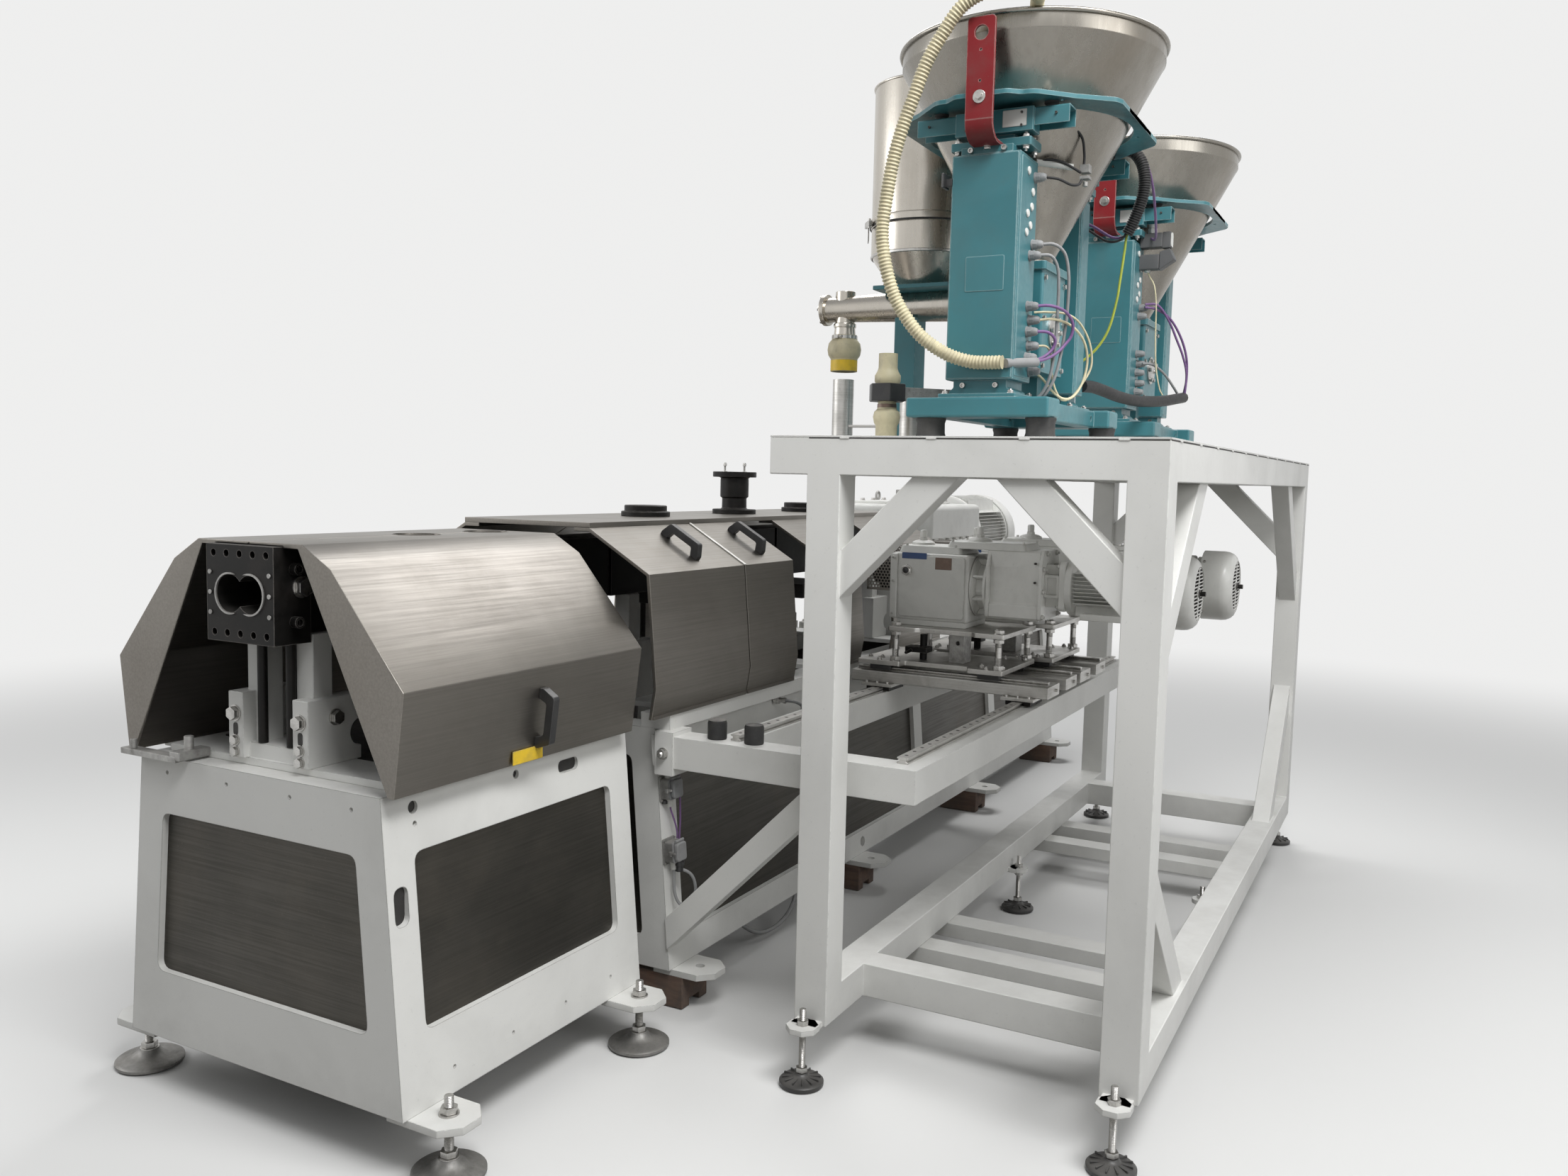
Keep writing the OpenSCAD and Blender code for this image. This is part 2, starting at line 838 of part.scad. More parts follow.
module rear_pillars() {
    color(white)
        placed()
            for (x = [rear_x + rear_pillar_1, rear_x + rear_pillar_2, rear_x + rear_pillar_3]) {
                pillar(x, rear_top + 20, axis_z - barrel_body_w / 2, frame_w);
                box(x + 15, x + cheek_l - 15, -half_at(frame_h) + 60, half_at(frame_h) - 60,
                    rear_top, rear_top + 20);
            }
}

// Where the reduction gearbox starts.
function drive_x() = rear_end - motor_l - guard_l - drive_box_l;

module drive_gearbox() {
    x = drive_x();
    color(white)
        placed() {
            box(x, x + drive_box_l, -drive_box_w / 2, drive_box_w / 2, rear_top, axis_z + 200);
            box(x - 0, x + 120, -drive_box_w / 2 - 40, drive_box_w / 2 + 40, rear_top, rear_top + 40);
        }
}

module coupling_guard() {
    x = drive_x() + drive_box_l;
    color(black)
        placed() {
            box(x, x + guard_l, -160, 160, rear_top, axis_z);
            rod_x(x, x + guard_l, 0, axis_z, 320);
        }
}

module main_motor() {
    x = drive_x() + drive_box_l + guard_l;
    color(white)
        placed() {
            rod_x(x, x + motor_l, 0, axis_z, motor_d);
            box(x + 60, x + motor_l - 100, -motor_d / 2 + 20, motor_d / 2 - 20, rear_top, axis_z);
            box(x + 120, x + 400, 60, motor_d / 2 + 90, axis_z + 60, axis_z + 260);
        }
}

module socket_boxes() {
    color(aluminium)
        placed()
            for (z = [500, 700])
                translate([rear_x + post / 2 - 12, -half_at(z - rear_z), z])
                    rotate([-atan(slope), 0, 0])
                        translate([-25, -40, -35])
                            cube([50, 40, 70]);
}

// Box tubes of the side feeder table.
table_x0 = rear_x - 24;
module feeder_table() {
    x1 = table_x0 + table_l;
    t = table_tube;
    low = table_top - t;
    inner = half_at(low - rear_z + t);
    color(white)
        placed() {
            for (x = [table_x0, x1 - t])
                table_arm(x);
            box(table_x0 + t, x1 - t, -table_out, -table_out + t, low, table_top);
            box(table_x0 + t, x1 - t, -730, -730 + t, low, table_top);
        }
}

// One arm of the table with its brace, seated on the frame's leaning post.
module table_arm(x) {
    t = table_tube;
    low = table_top - t;
    along_x(x, x + t)
        polygon([
            [-table_out, low], [-half_at(low - rear_z), low],
            [-half_at(table_top - rear_z), table_top], [-table_out, table_top]
        ]);
    along_x(x + 15, x + t - 15)
        polygon([
            [-half_at(70), rear_z + 70], [-half_at(170), rear_z + 170],
            [-half_at(170) - (low - rear_z - 170), low],
            [-half_at(70) - (low - rear_z - 70), low]
        ]);
}

module table_rails() {
    color(steel)
        placed()
            for (y = [-rail_outer, -rail_inner])
                difference() {
                    box(table_x0 + 60, table_x0 + table_l - 60, y - rail_w / 2, y + rail_w / 2,
                        table_top, table_top + rail_h);
                    for (s = [-1, 1])
                        box(table_x0, table_x0 + table_l, y + s * rail_w / 2 - 4,
                            y + s * rail_w / 2 + 4, table_top + 8, table_top + 18);
                }
}

module table_bumpers() {
    color(black)
        placed()
            for (y = [-rail_inner - 65, -rail_inner + 65])
                translate([table_x0 + 60, y, table_top])
                    cylinder(h = 60, d = 60);
}

// Heights of the side feeder's layers, from the table upwards.
function pad_top() = table_top + rail_h + bearing_t;
function beam_top() = pad_top() + beam_h;
function low_plate() = beam_top() + rail_h - 6 + bearing_t;
function feeder_floor() = low_plate() + lift_h + plate_t * 2;

// Two cross beams on bearing plates that ride on the table's rails, and their own rails.
module side_carriage(x) {
    color(aluminium)
        placed() {
            difference() {
                union() {
                    for (y = [-rail_outer, -rail_inner])
                        for (s = [-1, 1])
                            box(x + s * 125 - 85, x + s * 125 + 65, y - 60, y + 60,
                                table_top + 5, pad_top());
                    for (s = [-1, 1])
                        box(s > 0 ? x + carriage_half - beam_w : x - carriage_half,
                            s > 0 ? x + carriage_half : x - carriage_half + beam_w,
                            -table_out - 40, -590, pad_top(), beam_top());
                }
                for (y = [-rail_outer, -rail_inner])
                    box(x - 400, x + 400, y - rail_w / 2 - run, y + rail_w / 2 + run,
                        0, table_top + rail_h + run);
            }
            for (s = [-1, 1])
                box(x + s * 150 - 12, x + s * 150 + 12, -table_out - 30, -600,
                    beam_top(), beam_top() + rail_h - 6);
        }
}

// Stand that slides across on the beams' rails: shoes, two plates, four columns.
module side_stand(x, back) {
    z0 = low_plate();
    w = 200;
    color(aluminium)
        placed()
            translate([0, -back, 0]) {
                difference() {
                    union() {
                        for (y = [-1130, -700])
                            for (s = [-1, 1])
                                box(x + s * 150 - 28, x + s * 150 + 28, y - 40, y + 40,
                                    beam_top() + 4, z0);
                        difference() {
                            box(x - w, x + w, -1190, -615, z0, z0 + plate_t);
                            for (s = [-1, 1])
                                box(x + s * (w + 20) - 60, x + s * (w + 20) + 60, -1050, -790,
                                    z0 - 1, z0 + plate_t + 1);
                        }
                    }
                    for (s = [-1, 1])
                        box(x + s * 150 - 12 - run, x + s * 150 + 12 + run, -1500, -400,
                            0, beam_top() + rail_h - 6 + run);
                }
                for (y = [-1165, -760])
                    for (s = [-1, 1]) {
                        rod_z(x + s * 175, y, z0 + plate_t, z0 + plate_t + lift_h, column_d);
                        rod_z(x + s * 175, y, z0 + plate_t, z0 + plate_t + 28, column_d + 16);
                    }
                box(x - w, x + w, -1192, -735, z0 + plate_t + lift_h, z0 + plate_t * 2 + lift_h);
                box(x - 110, x - 30, -1010, -950, z0 + plate_t, z0 + plate_t + lift_h);
            }
}

module side_gearbox(x, back) {
    z = feeder_floor();
    y = -side_front;
    color(white)
        placed()
            translate([0, -back, 0]) {
                box(x - side_box_w / 2 + 4, x + side_box_w / 2 - 4, y - side_box_l + 10, y - 28, z, z + 22);
                box(x - side_box_w / 2, x + side_box_w / 2, y - side_box_l, y, z + 22,
                    z + side_box_h - 14);
                box(x - side_box_w / 2 + 14, x + side_box_w / 2 - 14, y - side_box_l + 14, y - 14,
                    z + side_box_h - 14, z + side_box_h);
                rod_z(x, y - side_box_l / 2, z + side_box_h, z + side_box_h + 16, 84);
                rod_z(x, y - side_box_l / 2, z + side_box_h + 16, z + side_box_h + 44, 36);
                rod_y(x, y - side_box_l - 62, y - side_box_l, z + side_box_h / 2 + 12, 232);
            }
}

module side_reducer(x, back) {
    z = feeder_floor();
    y = -side_front - side_box_l - 62;
    color(white)
        placed()
            translate([0, -back, 0]) {
                box(x - 105, x + 105, y - 212, y, z + 46, z + side_box_h + 8);
                rod_y(x, y - 272, y - 212, z + side_box_h / 2 + 32, 150);
                box(x - 88, x + 88, y - 292, y - 272, z + 90, z + 266);
            }
}

module side_motor(x, back) {
    z = feeder_floor() + side_box_h / 2 + 32;
    y = -side_front - side_box_l - 62 - 292;
    color(white)
        placed()
            translate([0, -back, 0]) {
                rod_y(x, -side_motor_end + 120, y, z, side_motor_d);
                rod_y(x, -side_motor_end, -side_motor_end + 120, z, cowl_d);
                box(x - 60, x + 60, y - 190, y - 40, z, z + side_motor_d / 2 + 48);
            }
}

// Perforated guard between a side feeder's gearbox and the barrel.
module side_guard(x, back) {
    z = feeder_floor();
    color(steel)
        placed()
            translate([0, -back, 0])
                box(x - 95, x + 95, -side_front, -side_front + 112, z + 128, z + side_box_h + 6);
}

module side_carriage_1() {
    side_carriage(side_1_x);
}

module side_stand_1() {
    side_stand(side_1_x, 0);
}

module side_gearbox_1() {
    side_gearbox(side_1_x, 0);
}

module side_reducer_1() {
    side_reducer(side_1_x, 0);
}

module side_motor_1() {
    side_motor(side_1_x, 0);
}

module side_guard_1() {
    side_guard(side_1_x, 0);
}

module side_carriage_2() {
    side_carriage(side_2_x);
}

module side_stand_2() {
    side_stand(side_2_x, side_2_back);
}

module side_gearbox_2() {
    side_gearbox(side_2_x, side_2_back);
}

module side_reducer_2() {
    side_reducer(side_2_x, side_2_back);
}

module side_motor_2() {
    side_motor(side_2_x, side_2_back);
}

module side_guard_2() {
    side_guard(side_2_x, side_2_back);
}

// Edges of the platform in the machine's layout.
px0 = platform_x;
px1 = platform_x + deck_l;
py0 = -platform_y - deck_w;
py1 = -platform_y;
deck_low = deck_z - deck_t;
beam_low = deck_low - tube;

module platform_columns() {
    color(white)
        placed()
            for (x = [px0, px1 - tube])
                for (y = [py0, py1 - tube])
                    box(x, x + tube, y, y + tube, column_z, beam_low);
}

module platform_top_beams() {
    color(white)
        placed() {
            for (y = [py0, py1 - tube])
                box(px0, px1, y, y + tube, beam_low, deck_low);
            for (x = [px0, (px0 + px1 - tube) / 2, px1 - tube]) {
                box(x, x + tube, py0 + tube, py1 - tube, beam_low, deck_low);
                box(x, x + tube, py1, py1 + deck_over, beam_low, deck_low);
            }
        }
}

module platform_bottom_beams() {
    color(white)
        placed() {
            for (y = [py0, py1 - tube])
                box(px0 + tube, px1 - tube, y, y + tube, column_z, column_z + tube);
            for (x = [px0 + tube + cross_inset, px1 - tube * 2 - cross_inset])
                box(x, x + tube, py0 + tube, py1 - tube, column_z, column_z + tube);
        }
}

// Two pairs of channels under the side beams that take a lift truck's forks.
module fork_channels() {
    color(white)
        placed()
            for (x = [px0 + fork_front, px0 + fork_front + fork_w + fork_gap,
                      px1 - fork_rear - fork_w - fork_gap, px1 - fork_rear])
                difference() {
                    box(x, x + fork_w, py0 + 20, py1 - 20, column_z - fork_h, column_z);
                    box(x + 8, x + fork_w - 8, py0, py1, column_z - fork_h + 8, column_z - 8);
                }
}

// A flat diagonal between a column and a beam, drawn in its own plane.
module corner_brace(reach) {
    d = brace_w * 1.414;
    polygon([[0, -reach], [0, -reach + d], [reach - d, 0], [reach, 0]]);
}

module platform_braces() {
    t = tube - 30;
    color(white)
        placed() {
            for (x = [px0 + 15, px1 - tube + 15])
                for (s = [-1, 1])
                    along_x(x, x + t)
                        translate([s > 0 ? py0 + tube : py1 - tube, beam_low])
                            mirror([s > 0 ? 0 : 1, 0])
                                corner_brace(332);
            for (x = [px0 + tube, px1 - tube])
                across_y(py0 + 15, py0 + 15 + t)
                    translate([x, beam_low])
                        mirror([x < (px0 + px1) / 2 ? 0 : 1, 0])
                            corner_brace(520);
            for (x = [px0 + tube, px1 - tube])
                across_y(py0 + 15, py0 + 15 + t)
                    translate([x, column_z + tube])
                        mirror([x < (px0 + px1) / 2 ? 0 : 1, 0])
                            mirror([0, 1])
                                corner_brace(520);
        }
}

module platform_deck() {
    color(white)
        placed()
            box(px0, px1, py0, py1 + deck_over, deck_low, deck_z);
}

// One platform foot: octagonal plate, long stud with nuts, black disc.
module deck_foot(x, y, out) {
    translate([x, y, 0]) {
        cylinder(h = 18, d = deck_foot_d);
        cylinder(h = column_z + 60, d = 20);
        translate([0, 0, column_z])
            rotate(22.5)
                octagon(84, 14);
        translate([0, 0, column_z - 14])
            cylinder(h = 14, d = 36, $fn = 6);
        translate([0, 0, column_z + 14])
            cylinder(h = 14, d = 36, $fn = 6);
    }
}

module platform_feet() {
    color(black)
        placed()
            for (y = [py0 + tube / 2, py1 - tube / 2]) {
                deck_foot(px0 - 42, y);
                deck_foot(px1 + 42, y);
            }
}

// Two pipes: one on the deck, one under the spout, held by a bar from the stand.
module down_pipes() {
    color(aluminium)
        placed() {
            difference() {
                union() {
                    rod_z(feeder_3_x, -spout_y, deck_z - 60, deck_z + 222, pipe_d);
                    box(feeder_3_x - 20, feeder_3_x + 20, -feeder_3_y + 85,
                        -spout_y - pipe_d / 2 + 4, deck_z + 60, deck_z + 68);
                }
                rod_z(feeder_3_x, -spout_y, deck_z - 61, deck_z + 223, pipe_d - 6);
            }
            difference() {
                rod_z(feeder_1_x - 75, -feeder_y + 300, deck_z, deck_z + 150, pipe_d);
                rod_z(feeder_1_x - 75, -feeder_y + 300, deck_z - 1, deck_z + 151, pipe_d - 6);
            }
        }
}

// Heights of a dosing feeder's layers, from the deck upwards.
function base_top() = deck_z + rubber_h + feeder_base_h;
function column_top() = base_top() + feeder_neck_h + feeder_col_h;
function channel_top() = column_top() + head_h + cell_h + channel_h;
function seat_top() = channel_top() + spacer_h + seat_t;

// Base of a dosing feeder: two wide end pieces and a narrower middle.
module feeder_base(x) {
    z = deck_z + rubber_h;
    h = feeder_base_l / 2;
    w = feeder_base_w / 2;
    n = feeder_waist_w / 2;
    e = feeder_end_l;
    color(teal)
        placed()
            translate([x, -feeder_y - 10, z])
                difference() {
                    linear_extrude(feeder_base_h)
                        polygon([
                            [-h, -w], [-h + e, -w], [-h + e, -n], [h - e, -n], [h - e, -w], [h, -w],
                            [h, w], [h - e, w], [h - e, n], [-h + e, n], [-h + e, w], [-h, w]
                        ]);
                    translate([-60, -n + 60, -1])
                        cube([120, 2 * n - 120, feeder_base_h + 2]);
                }
}

// Columns of a dosing feeder with their head brackets, cross channels and seat plate.
module feeder_stand(x) {
    front = x - seat_l / 2 + 60;
    rear = x + seat_l / 2 - 80 - feeder_rear_d;
    color(teal)
        placed() {
            feeder_column(front, feeder_col_d, -15);
            feeder_column(rear, feeder_rear_d, 15);
            difference() {
                translate([x, -feeder_y, channel_top() + spacer_h])
                    seat_plate();
                translate([x, -feeder_y, channel_top() + spacer_h - 1])
                    cylinder(h = seat_t + 2, d = cone_at(seat_top()) + 14);
            }
            translate([front - 40, -feeder_y - feeder_col_w / 2 + 2, base_top() + feeder_neck_h + 16])
                cube([40, 20, 44]);
        }
}

// Outer diameter of the conical hopper at a height above the floor.
function cone_at(z) = neck_d + (rim_d - neck_d) * (z - hopper_z()) / cone_h;
function hopper_z() = column_top() + head_h + cell_h + channel_h + 195 - cone_h;

// Seat plate with eight corners.
module seat_plate() {
    a = seat_l / 2;
    b = seat_w / 2;
    linear_extrude(seat_t)
        polygon([
            [-a, -130], [-a + 200, -b], [a - 200, -b], [a, -130],
            [a, 130], [a - 200, b], [-a + 200, b], [-a, 130]
        ]);
}

// One column from base to cross channel, with the channel set off by some millimetres.
module feeder_column(xa, d, off) {
    w = feeder_col_w / 2;
    y = -feeder_y;
    z0 = base_top();
    z1 = z0 + feeder_neck_h;
    z2 = column_top();
    box(xa + 12, xa + d - 12, y - w + 20, y + w - 20, z0, z1);
    box(xa - 8, xa + d + 8, y - w - 14, y + w + 14, z0, z0 + 10);
    box(xa, xa + d, y - w, y + w, z1, z2);
    box(xa + d / 2 - 45, xa + d / 2 + 45, y - w - 16, y + w + 16, z2 + 18, z2 + head_h);
    box(xa + d / 2 - 30, xa + d / 2 + 30, y - w + 30, y + w - 30, z2, z2 + 18);
    box(xa + d / 2 - 28, xa + d / 2 + 28, y - 45, y + 45, z2 + head_h, z2 + head_h + cell_h);
    box(xa + d / 2 + off - 30, xa + d / 2 + off + 30, y - channel_l / 2, y + channel_l / 2,
        z2 + head_h + cell_h, channel_top());
    for (s = [-1, 1])
        box(xa + d / 2 + off - 20, xa + d / 2 + off + 20,
            y + s * (w + 30) - 20, y + s * (w + 30) + 20,
            channel_top(), channel_top() + spacer_h);
}

// Red strap that stands in front of the head, with its foot bent under the bracket.
module feeder_strap(x) {
    front = x - seat_l / 2 - 1;
    z = column_top() + 18;
    difference() {
        union() {
            box(front - 8, front, -feeder_y - strap_w / 2, -feeder_y + strap_w / 2,
                z, z + strap_h);
            box(front - 8, x - seat_l / 2 + 60 + feeder_col_d / 2 - 45,
                -feeder_y - strap_w / 2, -feeder_y + strap_w / 2, z, z + 8);
        }
        rod_x(front - 20, front + 20, -feeder_y, z + strap_h - 40, 36);
    }
}

module feeder_straps() {
    color(red)
        placed() {
            feeder_strap(feeder_1_x);
            feeder_strap(feeder_2_x);
        }
}

// A conical hopper with a straight band and a rolled rim.
module feeder_hopper(x) {
    r0 = neck_d / 2;
    r1 = rim_d / 2;
    t = sheet_t;
    color(steel)
        placed()
            translate([x, -feeder_y, hopper_z()])
                rotate_extrude()
                    polygon([
                        [r0 - t, 0], [r1 - t, cone_h], [r1 - t, cone_h + band_h],
                        [r1 + 10, cone_h + band_h], [r1 + 10, cone_h + band_h - 10],
                        [r1, cone_h + band_h - 10], [r1, cone_h], [r0, 0]
                    ]);
}

// Feeding box with its screw housing under a conical hopper.
module feeder_screw_box(x) {
    z0 = hopper_z() - screw_box_h;
    box(x - 110, x + 110, -feeder_y - 90, -feeder_y + 90, z0, hopper_z());
    rod_y(x, -feeder_y + 90, -feeder_y + 160, z0 + 120, 120);
    for (s = [-1, 1])
        box(x + s * 95 - 12, x + s * 95 + 12, -feeder_y - 120, -feeder_y + 100,
            base_top(), z0);
}

module feeder_screw_boxes() {
    color(teal)
        placed() {
            feeder_screw_box(feeder_1_x);
            feeder_screw_box(feeder_2_x);
        }
}

module feeder_1_base() {
    feeder_base(feeder_1_x);
}

module feeder_1_stand() {
    feeder_stand(feeder_1_x);
}

module feeder_1_hopper() {
    feeder_hopper(feeder_1_x);
}

module feeder_2_base() {
    feeder_base(feeder_2_x);
}

module feeder_2_stand() {
    feeder_stand(feeder_2_x);
}

module feeder_2_hopper() {
    feeder_hopper(feeder_2_x);
}

module feeder_rubber_feet() {
    color(black)
        placed()
            for (x = [feeder_1_x, feeder_2_x])
                for (sx = [-1, 1])
                    for (sy = [-1, 1])
                        rod_z(x + sx * (feeder_base_l / 2 - feeder_end_l / 2),
                              -feeder_y - 10 + sy * (feeder_base_w / 2 - rubber_d / 2 - 4),
                              deck_z, deck_z + rubber_h, rubber_d);
}

module feeder_3_stand() {
    z = deck_z;
    top = z + screw_tube_z + screw_tube_d / 2;
    color(teal)
        placed() {
            box(feeder_3_x - 45, feeder_3_x + 45, -feeder_3_y + 10, -feeder_3_y + 85,
                z, z + screw_tube_z - screw_tube_d / 2);
            box(feeder_3_x - 90, feeder_3_x + 90, -feeder_3_y - 90, -feeder_3_y + 85, z, z + 12);
            box(feeder_3_x - 130, feeder_3_x + 130, -feeder_3_y - 130, -feeder_3_y + 130,
                top, top + 14);
        }
}

module feeder_3_hopper() {
    z = deck_z + screw_tube_z + screw_tube_d / 2 + 14;
    color(steel)
        placed()
            translate([feeder_3_x, -feeder_3_y, z])
                rotate_extrude()
                    polygon([
                        [110, 0], [drum_d / 2 - sheet_t, drum_cone_h],
                        [drum_d / 2 - sheet_t, drum_cone_h + drum_h],
                        [drum_d / 2 + 6, drum_cone_h + drum_h], [drum_d / 2 + 6, drum_cone_h + drum_h - 8],
                        [drum_d / 2, drum_cone_h + drum_h - 8], [drum_d / 2, drum_cone_h + 60],
                        [drum_d / 2 + 6, drum_cone_h + 60], [drum_d / 2 + 6, drum_cone_h + 40],
                        [drum_d / 2, drum_cone_h + 40], [drum_d / 2, drum_cone_h - 1],
                        [110 + sheet_t, 0]
                    ]);
}

module feeder_3_screw() {
    z = deck_z + screw_tube_z;
    y = -spout_y;
    color(steel)
        placed()
            difference() {
                union() {
                    rod_y(feeder_3_x, -feeder_3_y - 190, y + 70, z, screw_tube_d);
                    rod_y(feeder_3_x, y + 62, y + 78, z, screw_tube_d + 30);
                    rod_z(feeder_3_x, y, z - 110, z, 70);
                    rod_y(feeder_3_x, -feeder_3_y - 320, -feeder_3_y - 190, z, 120);
                }
                rod_z(feeder_3_x, y, z - 111, z - 50, 62);
            }
}

// Clear sleeves: on the third feeder's spout and between the first feeder and the deck.
module clear_sleeves() {
    z = deck_z + screw_tube_z - 100;
    color(cream)
        placed() {
            difference() {
                rod_z(feeder_3_x, -spout_y, z - 110, z, sleeve_d);
                rod_z(feeder_3_x, -spout_y, z - 111, z + 1, 70);
            }
            rod_z(feeder_1_x - 225, -feeder_y + 315, deck_z, deck_z + 240, sleeve_d - 30);
        }
}

// The cream hose's route from inside the hopper, over its rim and down, as [x, y, z] points.
hose_path = [
    [1190, -1555, 2790], [1150, -1568, 2868], [1110, -1582, 2898], [1070, -1595, 2900],
    [1030, -1575, 2903], [1000, -1500, 2905], [985, -1430, 2872], [982, -1378, 2808],
    [980, -1337, 2740], [980, -1308, 2667], [980, -1280, 2595], [980, -1255, 2510],
    [980, -1238, 2410], [980, -1230, 2320], [985, -1245, 2225], [1000, -1272, 2145],
    [1020, -1325, 2068], [1045, -1388, 2020], [1062, -1450, 1998], [1064, -1500, 1994],
    [1064, -1519, 1994]
];
hose_end = hose_path[len(hose_path) - 1];

module cream_hose() {
    color(cream)
        placed() {
            for (i = [0 : len(hose_path) - 2])
                hull() {
                    translate(hose_path[i])
                        sphere(d = hose_d, $fn = 10);
                    translate(hose_path[i + 1])
                        sphere(d = hose_d, $fn = 10);
                }
            rod_y(hose_end[0], hose_end[1] - 22, hose_end[1], hose_end[2], hose_d - 2);
        }
}

front_frame();
front_panels();
front_feet();
front_pillars();
front_barrel();
front_hood_right();
front_hood_left();
hood_handles();
rear_frame();
rear_panels();
rear_foot_plates();
timber_blocks();
rear_hoods_right();
rear_hoods_left();
rear_top_strip();
rear_barrel();
rear_pillars();
vent_ports();
socket_boxes();
feeder_table();
table_rails();
table_bumpers();
side_carriage_1();
side_stand_1();
side_gearbox_1();
side_reducer_1();
side_motor_1();
side_guard_1();
side_carriage_2();
side_stand_2();
side_gearbox_2();
side_reducer_2();
side_motor_2();
side_guard_2();
drive_gearbox();
coupling_guard();
main_motor();
platform_columns();
platform_top_beams();
platform_bottom_beams();
fork_channels();
platform_braces();
platform_deck();
platform_feet();
down_pipes();
feeder_1_base();
feeder_1_stand();
feeder_straps();
feeder_1_hopper();
feeder_2_base();
feeder_2_stand();
feeder_2_hopper();
feeder_screw_boxes();
feeder_rubber_feet();
feeder_3_stand();
feeder_3_hopper();
feeder_3_screw();
clear_sleeves();
cream_hose();
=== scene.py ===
"""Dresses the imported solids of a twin-screw extruder line for its picture.

All sizes are metres, but for the points inside mm(), which are millimetres. Pieces are
modelled in the machine's layout, where x = 0 is the front frame's end, y = 0 the machine's
middle plane and z = 0 the floor, and are shifted to the part's own origin when finished.
"""

import json
import logging
import math
from dataclasses import dataclass
from enum import Enum
from typing import Iterable, Optional, Sequence

import bmesh
import bpy
from mathutils import Matrix, Vector

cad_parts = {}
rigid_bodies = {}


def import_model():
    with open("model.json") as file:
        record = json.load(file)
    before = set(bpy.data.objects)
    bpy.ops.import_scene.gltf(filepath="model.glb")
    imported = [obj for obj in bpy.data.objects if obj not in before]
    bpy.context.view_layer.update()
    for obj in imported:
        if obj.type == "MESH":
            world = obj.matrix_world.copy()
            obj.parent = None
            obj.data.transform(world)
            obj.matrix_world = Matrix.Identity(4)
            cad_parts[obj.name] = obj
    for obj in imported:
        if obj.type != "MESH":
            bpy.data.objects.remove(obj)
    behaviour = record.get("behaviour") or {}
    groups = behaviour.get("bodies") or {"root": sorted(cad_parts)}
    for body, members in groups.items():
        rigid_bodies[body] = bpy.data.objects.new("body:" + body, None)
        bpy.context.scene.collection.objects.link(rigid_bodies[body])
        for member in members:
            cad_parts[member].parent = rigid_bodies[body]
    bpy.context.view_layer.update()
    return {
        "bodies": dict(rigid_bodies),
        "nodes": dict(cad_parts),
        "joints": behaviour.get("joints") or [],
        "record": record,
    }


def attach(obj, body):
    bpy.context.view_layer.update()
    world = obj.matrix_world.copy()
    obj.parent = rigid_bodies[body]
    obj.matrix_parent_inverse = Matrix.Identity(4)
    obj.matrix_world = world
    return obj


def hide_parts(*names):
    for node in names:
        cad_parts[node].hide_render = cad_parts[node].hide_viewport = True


LOG = logging.getLogger("extruder_line")
SHIFT = Vector((-2.685, 0.67975, 0.0))
TURN = 2 * math.pi
SIDES = (-1, 1)
BARREL_AXIS = 1.372
FRAME_HALF = 0.5
FRAME_INSET = 0.067
FRAME_HEIGHT = 0.771
FRONT_BASE = 0.149
REAR_BASE = 0.123
RECESS_DEPTH = 0.009
GUIDE_LINES = (-1.255, -0.705)
TABLE_TOP = 0.88
DECK_TOP = 1.8
FEEDER_FACE = -1.588
MERGE = 1e-6
CAD_MERGE = 2e-5
CAD_FLAT = math.radians(0.6)

Pair = tuple[float, float]
Triple = tuple[float, float, float]
Colour = tuple[float, float, float]
Thing = bpy.types.Object


def mm(points: Sequence[tuple[float, ...]]) -> Sequence[tuple[float, ...]]:
    """Turns points from millimetres to metres."""
    return type(points)(tuple(v / 1000 for v in point) for point in points)


# ---------------------------------------------------------------- finishes


class Sheen(Enum):
    """What kind of surface a finish is."""

    PAINT = "paint"
    METAL = "metal"
    PLASTIC = "plastic"
    WOOD = "wood"


